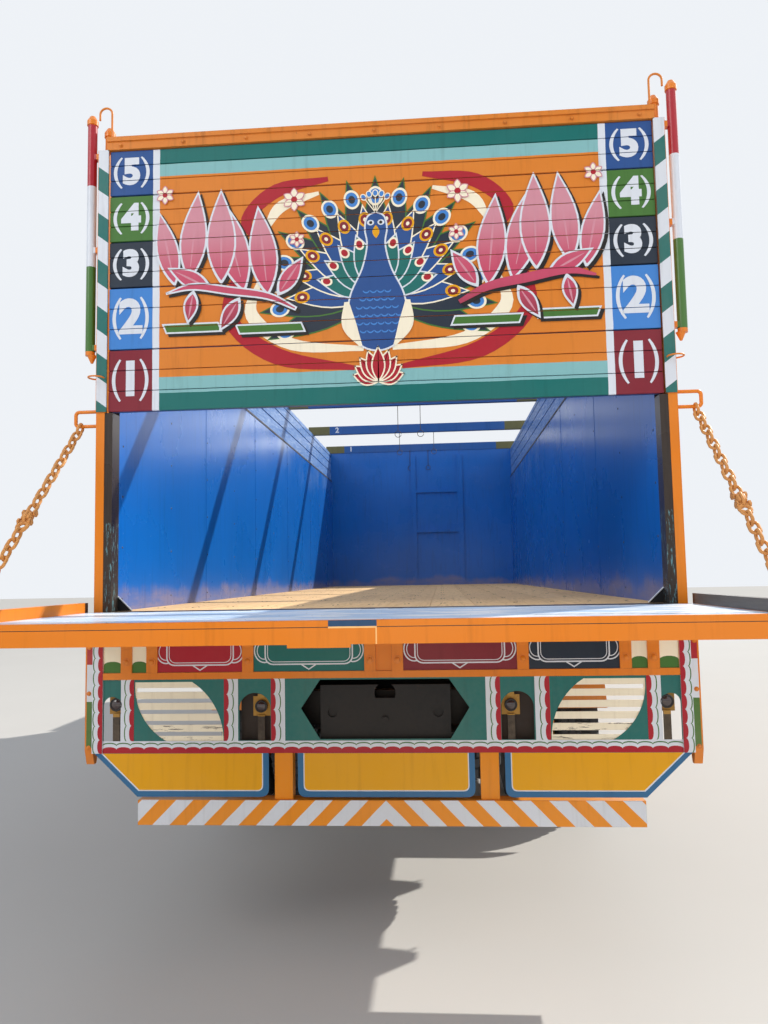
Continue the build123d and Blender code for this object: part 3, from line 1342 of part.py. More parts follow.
def chain_hook():
    """Flat open hook about the origin, mouth to -X, with its eye up along Y."""
    outer = HOOK_BORE + LINK_WIRE
    far = 3 * outer
    mouth = Polyline((0, 0), (far, 0), (far, far), (-far, far), (-38, -46), close=True)
    hook = Circle(outer) - Circle(HOOK_BORE) - make_face(mouth)
    shank = Polyline((HOOK_BORE, 0), (outer, 0), (outer, 38), (10, 68), (-8, 66), (HOOK_BORE, 32), close=True)
    hook += make_face(shank)
    hook += Pos(0, HOOK_EYE) * Circle(HOOK_EYE_R + 7)
    return hook - Pos(0, HOOK_EYE) * Circle(HOOK_EYE_R)


def gate_chain(side):
    """Chain from the staple to the open hook round the gate's stub, as one rigid run."""
    first = HOOK_EYE + HOOK_EYE_R + LINK_LAP
    pitch = (CHAIN_LENGTH + TOP_BORE - first + LINK_LAP) / LINK_COUNT
    inner_length = pitch - LINK_LAP
    flat = extrude(link_outline(inner_length), LINK_WIRE / 2, both=True)
    shapes = [extrude(chain_hook(), LINK_WIRE / 2, both=True)]
    for i in range(LINK_COUNT):
        place = Pos(0, first + inner_length / 2 + i * pitch, 0)
        quarter = 90 if i % 2 == 0 else 0
        shapes.append(place * Rot(0, quarter, 0) * flat)
    knot = Pos(0, first + inner_length / 2 + KNOT_LINK * pitch, 0)
    shapes.append(knot * Pos(0, 0, 4) * Cylinder(11, 56))
    shapes.append(knot * Pos(0, 0, 29) * extrude(RegularPolygon(15, 6), 4, both=True))
    shapes.append(knot * Pos(0, 0, -20) * extrude(RegularPolygon(15, 6), 4, both=True))
    chain = Part() + shapes
    top = Pos(0, CHAIN_LENGTH, 0)
    chain += top * Cylinder(TOP_BORE + LINK_WIRE + 1, LINK_WIRE)
    chain -= top * Cylinder(TOP_BORE, 2 * LINK_WIRE)
    ahead = Vector(0, -CHAIN_DZ, CHAIN_DY).normalized()
    plane = Plane(origin=(CHAIN_X, Y_REAR - STUB_BACK, STUB_Z), x_dir=ahead, z_dir=(1, 0, 0))
    return to_side(plane * chain, side)


# Tail

PANEL_HALF = POST_HALF - 1
PANEL_SHEET = 4
BRACKET_X = (RAIL_HALF - 56, RAIL_HALF + 17)
INNER_WINDOW = (BRACKET_X[1] + 14, BRACKET_X[1] + 142)
LAMP_WINDOWS = [
    # inner and outer x, bottom, spring of the arch, top
    (POST_HALF - 119, POST_HALF - 46, PANEL_BOTTOM + 46, PANEL_TOP - 105, PANEL_TOP - 69),
    (*INNER_WINDOW, PANEL_BOTTOM + 50, PANEL_TOP - 111, PANEL_TOP - 57),
]
HEXAGON = [(337, -120), (259, -7), (-259, -7), (-337, -120), (-261, -241), (261, -241)]  # z from the panel's top
LEAF_OUT = POST_HALF - 178
LEAF_IN = INNER_WINDOW[1] + 65
LEAF_WIDE = LEAF_OUT - LEAF_IN
LEAF_TOP_IN = LEAF_IN + LEAF_WIDE * 131 / 368
LEAF_LOW_OUT = LEAF_IN + LEAF_WIDE * 5 / 8
LEAF_BOTTOM = PANEL_BOTTOM + 44
LEAF_TOP = PANEL_TOP - 11


def arched(window):
    """Outline of a lamp window: straight sides under an arched top."""
    x0, x1, low, spring, top = window
    lines = Polyline((x0, spring), (x0, low), (x1, low), (x1, spring))
    return lines + ThreePointArc((x1, spring), ((x0 + x1) / 2, top), (x0, spring))


def leaf():
    """Outline of a grille opening: square outer top corner, swept inner side."""
    lines = Polyline((LEAF_OUT, LEAF_TOP), (LEAF_TOP_IN, LEAF_TOP))
    lines += ThreePointArc((LEAF_TOP_IN, LEAF_TOP), (LEAF_IN + 40, LEAF_TOP - 92), (LEAF_IN, LEAF_BOTTOM))
    lines += Line((LEAF_IN, LEAF_BOTTOM), (LEAF_LOW_OUT, LEAF_BOTTOM))
    swell = (LEAF_OUT - 36, LEAF_BOTTOM + 93)
    return lines + ThreePointArc((LEAF_LOW_OUT, LEAF_BOTTOM), swell, (LEAF_OUT, LEAF_TOP))


def rear_panel():
    """Painted tail sheet with lamp windows, leaf grille openings and the hexagon."""
    y = (Y_REAR, Y_REAR + PANEL_SHEET)
    through = (y[0] - 2, y[1] + 2)
    panel = block((-PANEL_HALF, PANEL_HALF), y, (PANEL_BOTTOM, PANEL_TOP))
    cuts = Part()
    for window in LAMP_WINDOWS:
        cuts += drawn_xz(arched(window), through)
    cuts += drawn_xz(leaf(), through)
    panel -= both_sides(cuts)
    corners = [(x, PANEL_TOP + z) for x, z in HEXAGON]
    return panel - drawn_xz(Polyline(*corners, close=True), through)


SLAT_COUNT = 6
SLAT_HIGH = 28
SLAT_THICK = 4
SLAT_LAP = 4  # top and bottom slats reach past the opening's edge


def slat_grilles():
    """Level slats on two uprights behind each leaf opening."""
    y = (Y_REAR + PANEL_SHEET, Y_REAR + PANEL_SHEET + SLAT_THICK)
    x = (LEAF_IN - 8, LEAF_OUT + 8)
    slats = Part()
    for z in spread(LEAF_BOTTOM - SLAT_LAP, LEAF_TOP + SLAT_LAP - SLAT_HIGH, SLAT_COUNT):
        slats += block(x, y, (z, z + SLAT_HIGH))
    for upright in ((x[0], x[0] + 14), (x[1] - 14, x[1])):
        slats += block(upright, y, (LEAF_BOTTOM - 6, LEAF_TOP + 6))
    return both_sides(slats)


TAIL_LAMPS = [
    # centre x and z, radius, half width of its plate
    (POST_HALF - 98, PANEL_TOP - 101, 27, 34),
    (INNER_WINDOW[0] + 39, PANEL_TOP - 111, 25, 36),
]


def tail_lamps():
    """Round lamps on square plates behind the panel's arched windows."""
    face = Y_REAR + PANEL_SHEET
    lamps = Part()
    for x, z, radius, plate in TAIL_LAMPS:
        unit = block((x - plate, x + plate), (face + 16, face + 20), (z - 40, z + 38))
        unit += block((x - 14, x + 14), (face, face + 8), (PANEL_BOTTOM + 6, PANEL_TOP - 4))
        unit += block((x - 14, x + 14), (face + 7, face + 17), (z - 40, z + 38))
        unit -= block((x - 15, x + 15), (face - 1, face + 15), (z - 36, z + 34))
        unit += rod_y(radius, x, (face + 2, face + 44), z)
        lamps += unit
    return both_sides(lamps)


LOWER_BOTTOM = PANEL_BOTTOM - 172
LOWER_TOP_HALF = POST_HALF - 8
LOWER_FOOT_HALF = POST_HALF - 190
LOWER_SIDE_IN = BRACKET_X[1] + 23
LOWER_MIDDLE_HALF = BRACKET_X[0] - 22


def lower_boards():
    """Three plain boards hung in line under the tail sheet."""
    y = (Y_REAR, Y_REAR + PANEL_SHEET)
    outline = Polyline(
        (LOWER_SIDE_IN, LOWER_BOTTOM),
        (LOWER_FOOT_HALF, LOWER_BOTTOM),
        (LOWER_TOP_HALF, PANEL_BOTTOM),
        (LOWER_SIDE_IN, PANEL_BOTTOM),
        close=True,
    )
    boards = both_sides(drawn_xz(outline, y))
    return boards + block((-LOWER_MIDDLE_HALF, LOWER_MIDDLE_HALF), y, (LOWER_BOTTOM, PANEL_BOTTOM))


UNDERRUN_HALF = POST_HALF - 197
UNDERRUN_Z = (LOWER_BOTTOM - 108, LOWER_BOTTOM - 10)


def underrun_beam():
    """Underrun beam with its two drop brackets from the frame."""
    beam = block((-UNDERRUN_HALF, UNDERRUN_HALF), (Y_REAR - 10, Y_REAR + 60), UNDERRUN_Z)
    bracket = block(BRACKET_X, (Y_REAR + 8, Y_REAR + 62), (UNDERRUN_Z[1] - 6, RAIL_TOP - 10))
    for x in (-UNDERRUN_HALF + 5, UNDERRUN_HALF - 305):
        beam -= block((x, x + 300), (Y_REAR + 10, Y_REAR + 61), (UNDERRUN_Z[0] + 6, UNDERRUN_Z[1] - 6))
    return beam + both_sides(bracket)


STRIP_TOP = SILL_BOTTOM + 130
STRIP_FOOT = PANEL_BOTTOM - 48


def side_strips():
    """Painted strips and tapered feet outside the tail panel's edges."""
    outline = Polyline(
        (Y_REAR, STRIP_TOP),
        (Y_REAR, STRIP_FOOT + 60),
        (Y_REAR + 20, STRIP_FOOT),
        (Y_REAR + 40, STRIP_FOOT),
        (Y_REAR + SILL_DEPTH, STRIP_FOOT + 60),
        (Y_REAR + SILL_DEPTH, STRIP_TOP),
        close=True,
    )
    return both_sides(drawn_yz(outline, (POST_HALF, POST_HALF + 32)))


def save(name, shape):
    export_step(shape, f"parts/{name}.step")


def main():
    os.makedirs("parts", exist_ok=True)
    shell = cab_shell()
    pieces = {
        "chassis_frame": chassis_frame() + rear_end_plate(),
        "leaf_springs": leaf_springs(),
        "front_axle": front_axle(),
        "rear_axle": rear_axle(),
        "propeller_shaft": propeller_shaft(),
        "engine_block": engine_block(),
        "radiator": radiator(),
        "fuel_tank": fuel_tank(),
        "air_tanks": air_tanks(),
        "battery_box": battery_box(),
        "silencer": silencer(),
        "spare_wheel": spare_wheel(),
        "mudguards": mudguards(),
        "side_guards": side_guards(),
        "front_bumper": front_bumper(),
        "cab_front": cab_front(shell),
        "cab_sides": cab_sides(shell),
        "cab_back": cab_back(shell),
        "cab_floor": cab_floor(),
        "cab_roof": cab_roof(),
        "windscreen": windscreen(),
        "grille": grille(),
        "headlamps": headlamps(),
        "crown_board": crown_board(),
        "seats": seats(),
        "dashboard": dashboard(),
        "steering_wheel": steering_wheel(),
        "mirrors": mirrors(),
        "body_bearers": body_bearers(),
        "floor_planks": floor_planks(),
        "side_walls": side_walls() + post_timbers(),
        "upper_planks": upper_planks(),
        "bulkhead": bulkhead(),
        "upper_boards": upper_boards(),
        "rear_posts": rear_posts() + side_strips(),
        "corner_pipes": corner_pipes(),
        "top_rail": top_rail(),
        "crossbars": crossbars(),
        "rear_sill": rear_sill(),
        "rear_panel": rear_panel() + slat_grilles(),
        "tail_lamps": tail_lamps(),
        "lower_boards": lower_boards(),
        "underrun_beam": underrun_beam(),
        "tailgate": tailgate(),
        "track_rod": track_rod(),
    }
    for side, name in ((-1, "left"), (1, "right")):
        pieces[f"knuckle_{name}"] = knuckle(side)
        pieces[f"front_rim_{name}"] = front_rim(side)
        pieces[f"front_tyre_{name}"] = front_tyre(side)
        pieces[f"rear_rims_{name}"] = rear_rims(side)
        pieces[f"rear_tyres_{name}"] = rear_tyres(side)
        pieces[f"door_{name}"] = cab_door(side)
        pieces[f"chain_{name}"] = gate_chain(side)
    for name, shape in pieces.items():
        save(name, shape)
    print("gate hinge y z", HINGE_Y, HINGE_Z)
    print("chain pivot", CHAIN_X, STAPLE_Y, STAPLE_Z, "angle", degrees(atan2(-CHAIN_DY, -CHAIN_DZ)))
    print("kingpin", KINGPIN_X, Y_FRONT_AXLE, "ball", BALL_X, Y_FRONT_AXLE - ARM_LENGTH)
    print("rear axle y", Y_REAR_AXLE, "door hinge", CAB_HALF + HINGE_STAND, Y_DOOR_FRONT)


main()
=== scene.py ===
import math
import random

import bmesh
import bpy
from bpy.props import FloatProperty, FloatVectorProperty, IntProperty, PointerProperty
from mathutils import Matrix, Vector


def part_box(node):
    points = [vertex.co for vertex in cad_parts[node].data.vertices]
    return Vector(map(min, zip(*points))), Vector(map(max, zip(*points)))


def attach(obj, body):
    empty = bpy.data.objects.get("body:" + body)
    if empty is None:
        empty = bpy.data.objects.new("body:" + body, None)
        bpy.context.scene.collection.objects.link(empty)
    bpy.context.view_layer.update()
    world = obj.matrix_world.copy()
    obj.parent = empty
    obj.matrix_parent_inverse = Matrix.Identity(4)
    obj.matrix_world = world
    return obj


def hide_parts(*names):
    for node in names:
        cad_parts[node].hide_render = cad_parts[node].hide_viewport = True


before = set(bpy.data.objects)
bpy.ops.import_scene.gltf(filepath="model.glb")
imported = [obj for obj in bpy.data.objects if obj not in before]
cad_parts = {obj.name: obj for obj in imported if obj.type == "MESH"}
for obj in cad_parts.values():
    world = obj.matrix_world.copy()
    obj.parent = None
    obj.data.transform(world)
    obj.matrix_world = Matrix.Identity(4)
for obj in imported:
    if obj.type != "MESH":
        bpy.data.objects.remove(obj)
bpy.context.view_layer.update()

bl_info = {
    "name": "Decorated Cargo Truck",
    "version": (1, 0, 0),
    "blender": (4, 5, 0),
    "location": "View3D > Sidebar > Truck",
    "description": "Paint, signs, hardware, tyres, cab trim and studio for the decorated cargo truck",
    "category": "Add Mesh",
}


def linear(code):
    """Linear red, green and blue of a paint chart's hex code."""
    parts = [int(code[i:i + 2], 16) / 255 for i in (1, 3, 5)]
    return tuple(c / 12.92 if c <= 0.04045 else ((c + 0.055) / 1.055) ** 2.4 for c in parts)


# Places taken from the frame

def low(node):
    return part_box(node)[0]


def high(node):
    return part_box(node)[1]


SIDES = ((-1, "left"), (1, "right"))
REAR = low("rear_panel").y
BOARD_FACE = low("upper_boards").y
BOARD_LOW = low("upper_boards").z
BOARD_HIGH = high("upper_boards").z
BOARD_HALF = high("upper_boards").x
FLOOR_TOP = high("floor_planks").z
PANEL_LOW = low("rear_panel").z
PANEL_HIGH = high("rear_panel").z
GATE_REAR = low("tailgate").y


def length_value(name, description, default):
    return FloatProperty(
        name=name, description=description, default=default, min=0, unit="LENGTH", precision=4
    )


def colour_value(name, description, code):
    return FloatVectorProperty(
        name=name, description=description, default=linear(code), subtype="COLOR", min=0, max=1, size=3
    )


class TruckPaints(bpy.types.PropertyGroup):
    """Colours of the enamel paints."""
    orange: colour_value("Orange", "Body orange of posts, sill and gate", "#DE7D18")
    field: colour_value("Board field", "Orange ground of the upper boards", "#D27C2A")
    teal: colour_value("Teal", "Dark teal of bands and tail panel", "#0C6663")
    pale_teal: colour_value("Pale teal", "Second band on the boards", "#7FB3B8")
    white: colour_value("White", "Sign writer's off-white", "#D3DAE6")
    navy: colour_value("Navy", "Dark blue squares and outlines", "#1E2A3A")
    blue: colour_value("Blue", "Middle blue squares", "#1F4A8A")
    sky: colour_value("Light blue", "Light blue square", "#3F7FCB")
    green: colour_value("Green", "Leaf green", "#3F6E2E")
    maroon: colour_value("Maroon", "Maroon square and sill panel", "#7A1F2E")
    red: colour_value("Red", "Scallop red", "#A5182B")
    cream: colour_value("Cream", "Cream slats and ribbons", "#F0E8D2")
    yellow: colour_value("Yellow", "Lower boards", "#DFA006")
    amber: colour_value("Amber", "Stripes of the underrun beam", "#E68C0E")
    border: colour_value("Border blue", "Edge of the lower boards", "#2D6795")
    pink: colour_value("Pink", "Light end of the rose shading", "#C98A9B")
    black: colour_value("Black", "Shadow strokes", "#1A1718")
    lining: colour_value("Lining blue", "Gloss blue of the load space", "#0E6CCC")


class TruckSizes(bpy.types.PropertyGroup):
    """Sizes of the painted work and the hardware."""
    coat: length_value("Coat", "Lift of one coat of paint over the next", 0.0002)
    plank_gap: length_value("Plank gap", "Groove between a board's planks", 0.003)
    column_inner: length_value("Number column", "Inner edge of the number squares from the centre", 0.960)
    strip_inner: length_value("White strip", "Inner edge of the white strips from the centre", 0.930)
    scallop: length_value("Scallop pitch", "Length of one scallop of a border", 0.058)
    bolt: length_value("Bolt", "Radius of a hexagon head", 0.010)
    tread_blocks: IntProperty(name="Tread blocks", description="Blocks round one tyre", default=54, min=12)


# Mesh helpers

def finish_mesh(name, bm, body, materials, smooth=0.0):
    """Turn a bmesh into a piece that rides on a body."""
    mesh = bpy.data.meshes.new(name)
    bm.to_mesh(mesh)
    bm.free()
    for material in materials:
        mesh.materials.append(material)
    piece = bpy.data.objects.new(name, mesh)
    bpy.context.scene.collection.objects.link(piece)
    if smooth:
        mesh.shade_smooth()
        mesh.set_sharp_from_angle(angle=smooth)
    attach(piece, body)
    return piece


def merge(bm, part):
    """Move the whole of one bmesh into another."""
    mesh = bpy.data.meshes.new("merged")
    part.to_mesh(mesh)
    part.free()
    bm.from_mesh(mesh)
    bpy.data.meshes.remove(mesh)


def pour(bm, part, place=None, paint=0):
    """Add one bmesh to another, placed and with one material index."""
    for face in part.faces:
        face.material_index = paint
    if place is not None:
        part.transform(place)
    merge(bm, part)


def ease(bm, geom, offset, segments, affect="EDGES"):
    """Round off edges or corners."""
    bmesh.ops.bevel(bm, geom=geom, offset=offset, segments=segments, profile=0.5, affect=affect, material=-1)


def bar(x, y, z, bevel=0.0, segments=2):
    """Box between low and high limits, its edges eased."""
    bm = bmesh.new()
    bmesh.ops.create_cube(bm, size=1)
    limits = (x, y, z)
    bmesh.ops.scale(bm, vec=[end - start for start, end in limits], verts=bm.verts)
    bmesh.ops.translate(bm, vec=[(start + end) / 2 for start, end in limits], verts=bm.verts)
    if bevel:
        ease(bm, bm.edges[:], bevel, segments)
    return bm


def rod(radius, length, sides=16, bevel=0.0, tip=None):
    """Round bar standing on the origin along +Z."""
    bm = bmesh.new()
    far = radius if tip is None else tip
    bmesh.ops.create_cone(bm, cap_ends=True, segments=sides, radius1=radius, radius2=far, depth=length)
    bmesh.ops.translate(bm, vec=(0, 0, length / 2), verts=bm.verts)
    if bevel:
        rim = [edge for edge in bm.edges if all(vert.co.z > length / 2 for vert in edge.verts)]
        ease(bm, rim, bevel, 2)
    return bm


def lathe(profile, steps=48):
    """Closed ring or cup turned about Z from (radius, z) points."""
    bm = bmesh.new()
    verts = [bm.verts.new((r, 0, z)) for r, z in profile]
    edges = [bm.edges.new(pair) for pair in zip(verts, verts[1:])]
    bmesh.ops.spin(
        bm, geom=verts + edges, cent=(0, 0, 0), axis=(0, 0, 1), angle=math.tau, steps=steps, use_merge=True
    )
    bmesh.ops.remove_doubles(bm, verts=bm.verts, dist=1e-6)
    bmesh.ops.recalc_face_normals(bm, faces=bm.faces)
    return bm


def tube(points, radius, sides=10, closed=False):
    """Round wire along points in space."""
    bm = bmesh.new()
    spots = [Vector(point) for point in points]
    count = len(spots)
    normal = None
    rings = []
    for i, spot in enumerate(spots):
        if closed:
            along = (spots[(i + 1) % count] - spots[i - 1]).normalized()
        else:
            along = (spots[min(i + 1, count - 1)] - spots[max(i - 1, 0)]).normalized()
        start = along.orthogonal() if normal is None else normal
        normal = (start - along * start.dot(along)).normalized()
        across = along.cross(normal)
        ring = []
        for k in range(sides):
            turn = math.tau * k / sides
            ring.append(bm.verts.new(spot + (normal * math.cos(turn) + across * math.sin(turn)) * radius))
        rings.append(ring)
    pairs = list(zip(rings, rings[1:]))
    if closed:
        pairs.append((rings[-1], rings[0]))
    else:
        bm.faces.new(list(reversed(rings[0])))
        bm.faces.new(rings[-1])
    for first, second in pairs:
        for k in range(sides):
            bm.faces.new((first[k], first[(k + 1) % sides], second[(k + 1) % sides], second[k]))
    return bm


def arc(centre, radius, start, end, steps=10):
    """Points round an arc in the plane of X and Y, its angles in degrees."""
    turns = [math.radians(start + (end - start) * k / steps) for k in range(steps + 1)]
    return [(centre[0] + radius * math.cos(t), centre[1] + radius * math.sin(t), 0) for t in turns]


def wire_ring(centre, radius, wire, steps, sides=10):
    """Closed ring of round wire in the plane of X and Y."""
    return tube(arc(centre, radius, 0, 360, steps)[:-1], wire, sides, closed=True)


FACING = {
    "rear": Matrix(((1, 0, 0), (0, 0, -1), (0, 1, 0))),
    "front": Matrix(((-1, 0, 0), (0, 0, 1), (0, 1, 0))),
    "right": Matrix(((0, 0, 1), (1, 0, 0), (0, 1, 0))),
    "left": Matrix(((0, 0, -1), (-1, 0, 0), (0, 1, 0))),
    "top": Matrix(((1, 0, 0), (0, 1, 0), (0, 0, 1))),
}


def facing(side, x=0.0, y=0.0, z=0.0):
    """Placement whose drawing plane lies on an outer face: across, up, and out of the face."""
    return Matrix.Translation((x, y, z)) @ FACING[side].to_4x4()


# Flat shapes of sign work, drawn in X and Y and facing +Z

def polygon(points, rounding=0.0, segments=5):
    bm = bmesh.new()
    face = bm.faces.new([bm.verts.new((x, y, 0)) for x, y in points])
    bm.normal_update()
    if face.normal.z < 0:
        bmesh.ops.reverse_faces(bm, faces=[face])
    if rounding:
        ease(bm, bm.verts[:], rounding, segments, "VERTICES")
    return bm


def plate(x, y, rounding=0.0):
    return polygon([(x[0], y[0]), (x[1], y[0]), (x[1], y[1]), (x[0], y[1])], rounding)


def disc(radius, height=None, sides=28):
    bm = bmesh.new()
    bmesh.ops.create_circle(bm, cap_ends=True, segments=sides, radius=radius)
    if height is not None:
        bmesh.ops.scale(bm, vec=(1, height / radius, 1), verts=bm.verts)
    return bm


def petal(length, width, bias=0.85, point=1.0, sides=28):
    """Leaf or petal growing along +Y from the origin."""
    bm = disc(1, sides=sides)
    for vert in bm.verts:
        along = (vert.co.y + 1) / 2
        side = 1 if vert.co.x >= 0 else -1
        swell = math.sin(math.pi * min(max(along, 0), 1) ** bias)
        vert.co = (side * width / 2 * max(swell, 0) ** point, along * length, 0)
    bmesh.ops.remove_doubles(bm, verts=bm.verts, dist=1e-5)
    return bm


def sweep_band(radius, width, start, end, taper=0.0, steps=24):
    """Painted stroke round an arc about the origin, thinning to its ends by taper."""
    bm = bmesh.new()
    a = bm.verts.new((radius - width / 2, 0, 0))
    b = bm.verts.new((radius + width / 2, 0, 0))
    edge = bm.edges.new((a, b))
    bmesh.ops.spin(bm, geom=[a, b, edge], cent=(0, 0, 0), axis=(0, 0, 1), angle=end - start, steps=steps)
    for vert in bm.verts:
        reach = vert.co.length
        along = (math.atan2(vert.co.y, vert.co.x) % math.tau) / (end - start)
        thin = 1 - taper * (2 * min(max(along, 0), 1) - 1) ** 2
        vert.co *= (radius + (reach - radius) * thin) / reach
    bmesh.ops.rotate(bm, cent=(0, 0, 0), matrix=Matrix.Rotation(start, 3, "Z"), verts=bm.verts)
    bmesh.ops.recalc_face_normals(bm, faces=bm.faces)
    if sum(f.normal.z for f in bm.faces) < 0:
        bmesh.ops.reverse_faces(bm, faces=bm.faces[:])
    return bm


def written(text, size, boldness=0.0):
    """Plain characters as a flat mesh, centred on the origin."""
    curve = bpy.data.curves.new("written", "FONT")
    curve.body = text
    curve.size = size
    curve.offset = boldness
    curve.align_x = "CENTER"
    curve.align_y = "CENTER"
    curve.resolution_u = 5
    holder = bpy.data.objects.new("written", curve)
    mesh = bpy.data.meshes.new_from_object(holder)
    bm = bmesh.new()
    bm.from_mesh(mesh)
    bpy.data.objects.remove(holder)
    bpy.data.meshes.remove(mesh)
    bpy.data.curves.remove(curve)
    bmesh.ops.remove_doubles(bm, verts=bm.verts, dist=1e-6)
    for face in bm.faces:
        face.smooth = False
    return bm


def smooth_run(knots, steps=6, closed=False):
    """Points along a smooth line through the knots, each an x, a y and a width."""
    knots = [Vector(knot) for knot in knots]
    if closed:
        padded = [knots[-1], *knots, knots[0], knots[1]]
    else:
        padded = [2 * knots[0] - knots[1], *knots, 2 * knots[-1] - knots[-2]]
    run = []
    for before, start, end, after in zip(padded, padded[1:], padded[2:], padded[3:]):
        for i in range(steps):
            t = i / steps
            square = 2 * before - 5 * start + 4 * end - after
            cube = 3 * start - before - 3 * end + after
            bend = square * t * t + cube * t ** 3
            run.append((2 * start + (end - before) * t + bend) / 2)
    if not closed:
        run.append(knots[-1])
    return run


def ribbon(pairs):
    """Flat strip between two rows of points, given pair by pair."""
    bm = bmesh.new()
    rows = [(bm.verts.new(first), bm.verts.new(second)) for first, second in pairs]
    for (a, b), (c, d) in zip(rows, rows[1:]):
        bm.faces.new((a, c, d, b))
    return bm


def stroke(knots, steps=6):
    """Painted stroke along a smooth line through (x, y, width) knots."""
    run = smooth_run(knots, steps)
    pairs = []
    for i, spot in enumerate(run):
        along = (run[min(i + 1, len(run) - 1)] - run[max(i - 1, 0)]).to_2d().normalized()
        reach = Vector((-along.y, along.x, 0)) * max(spot.z, 0.0005) / 2
        centre = Vector((spot.x, spot.y, 0))
        pairs.append((centre - reach, centre + reach))
    return ribbon(pairs)


def blob(knots, steps=6):
    """Flat shape with a smooth outline through (x, y) knots."""
    run = smooth_run([(x, y, 0) for x, y in knots], steps, closed=True)
    return polygon([tuple(spot[:2]) for spot in run])


def scallops(length, base, bulge, pitch, steps=7):
    """Band along +X with round lobes along its upper edge."""
    count = max(1, round(length / pitch))
    step = length / count
    points = [(0, 0), (length, 0)]
    for i in reversed(range(count)):
        for k in range(steps + 1):
            turn = math.pi * k / steps
            points.append(((i + 0.5 + 0.5 * math.cos(turn)) * step, base + bulge * math.sin(turn)))
    shape = polygon(points)
    bmesh.ops.remove_doubles(shape, verts=shape.verts, dist=1e-6)
    return shape


def lobe_line(length, bulge, pitch, width, steps=7):
    """Thin line along +X that follows a row of round lobes."""
    count = max(1, round(length / pitch))
    step = length / count
    pairs = []
    for i in range(count):
        for k in range(steps + (i == count - 1)):
            turn = math.pi * (1 - k / steps)
            x = (i + 0.5 + 0.5 * math.cos(turn)) * step
            y = bulge * math.sin(turn)
            pairs.append(((x, y, 0), (x, y + width, 0)))
    return ribbon(pairs)


def rounded(points, radii, steps=5):
    """Polygon with each corner rounded by its own radius."""
    spots = []
    for i, (point, radius) in enumerate(zip(points, radii)):
        corner, before, after = Vector(point), Vector(points[i - 1]), Vector(points[(i + 1) % len(points)])
        start = corner + (before - corner).normalized() * radius
        end = corner + (after - corner).normalized() * radius
        for k in range(steps + 1 if radius else 1):
            t = k / steps
            spots.append(tuple(start * (1 - t) ** 2 + corner * (2 * t * (1 - t)) + end * t ** 2))
    return polygon(spots)


def thicken(bm, thickness):
    """Raise flat faces off themselves into closed plates."""
    under = bm.faces[:]
    raised = bmesh.ops.extrude_face_region(bm, geom=under, use_keep_orig=True)["geom"]
    top = [item for item in raised if isinstance(item, bmesh.types.BMVert)]
    bmesh.ops.translate(bm, vec=(0, 0, thickness), verts=top)
    bmesh.ops.reverse_faces(bm, faces=under)


def slab(shape, thickness):
    """Flat shape made solid behind its face."""
    thicken(shape, thickness)
    bmesh.ops.translate(shape, vec=(0, 0, -thickness), verts=shape.verts)
    return shape


class SignWork:
    """Coats of paint on one flat face, gathered into one mesh of thin closed plates."""

    def __init__(self, paints, coat):
        self.bm = bmesh.new()
        self.paints = paints
        self.coat = coat

    def lay(self, shape, paint, coat=1, at=(0, 0), turn=0.0, flip=False, edge=None):
        """One flat shape in one paint. Its edge is a second paint and the width that this takes."""
        if flip:
            bmesh.ops.scale(shape, vec=(-1, 1, 1), verts=shape.verts)
            bmesh.ops.reverse_faces(shape, faces=shape.faces[:])
        rim = []
        if edge:
            rim = bmesh.ops.inset_region(
                shape, faces=shape.faces[:], thickness=edge[1], use_boundary=True, use_even_offset=True
            )["faces"]
        for face in shape.faces:
            face.material_index = self.paints.index(edge[0] if face in rim else paint)
        shape.transform(Matrix.Translation((*at, coat * self.coat)) @ Matrix.Rotation(turn, 4, "Z"))
        merge(self.bm, shape)

    def part_at(self, heights, gap):
        """Cut a groove out of the paint at each height, as where planks meet."""
        bmesh.ops.triangulate(self.bm, faces=self.bm.faces[:])
        for height in heights:
            for edge in (height - gap / 2, height + gap / 2):
                geom = self.bm.verts[:] + self.bm.edges[:] + self.bm.faces[:]
                spot, up = (0, edge, 0), (0, 1, 0)
                bmesh.ops.bisect_plane(self.bm, geom=geom, dist=1e-6, plane_co=spot, plane_no=up)
            gone = [f for f in self.bm.faces if abs(f.calc_center_median().y - height) < gap / 2]
            bmesh.ops.delete(self.bm, geom=gone, context="FACES")

    def repeat(self, places):
        """Copies of all that is laid so far, at each place."""
        motif = self.bm
        self.bm = bmesh.new()
        for place in places:
            copy = motif.copy()
            copy.transform(place)
            merge(self.bm, copy)
        motif.free()

    def dry(self, name, body, place, thickness=0.0008):
        """Give the paint its thickness and put it on its face of the truck."""
        bmesh.ops.dissolve_degenerate(self.bm, dist=1e-6, edges=self.bm.edges[:])
        thicken(self.bm, thickness)
        self.bm.transform(place)
        materials = [paint_material(paint) for paint in self.paints]
        return finish_mesh(name, self.bm, body, materials)


# Node helpers

def put(tree, socket, value):
    if isinstance(value, bpy.types.NodeSocket):
        tree.links.new(value, socket)
    else:
        socket.default_value = value


def fill(tree, sockets, values):
    """Set or link each socket that has a value."""
    for key, value in values.items():
        put(tree, sockets[key], value)


def add(tree, kind, inputs=None, **settings):
    node = tree.nodes.new(kind)
    for name, value in settings.items():
        setattr(node, name, value)
    fill(tree, node.inputs, inputs or {})
    return node


def maths(tree, operation, *values, clamp=False):
    inputs = dict(enumerate(values))
    return add(tree, "ShaderNodeMath", inputs, operation=operation, use_clamp=clamp).outputs[0]


def plus(tree, first, second, clamp=False):
    return maths(tree, "ADD", first, second, clamp=clamp)


def minus(tree, first, second):
    return maths(tree, "SUBTRACT", first, second)


def times(tree, first, second, clamp=False):
    return maths(tree, "MULTIPLY", first, second, clamp=clamp)


def above(tree, value, edge):
    return maths(tree, "GREATER_THAN", value, edge)


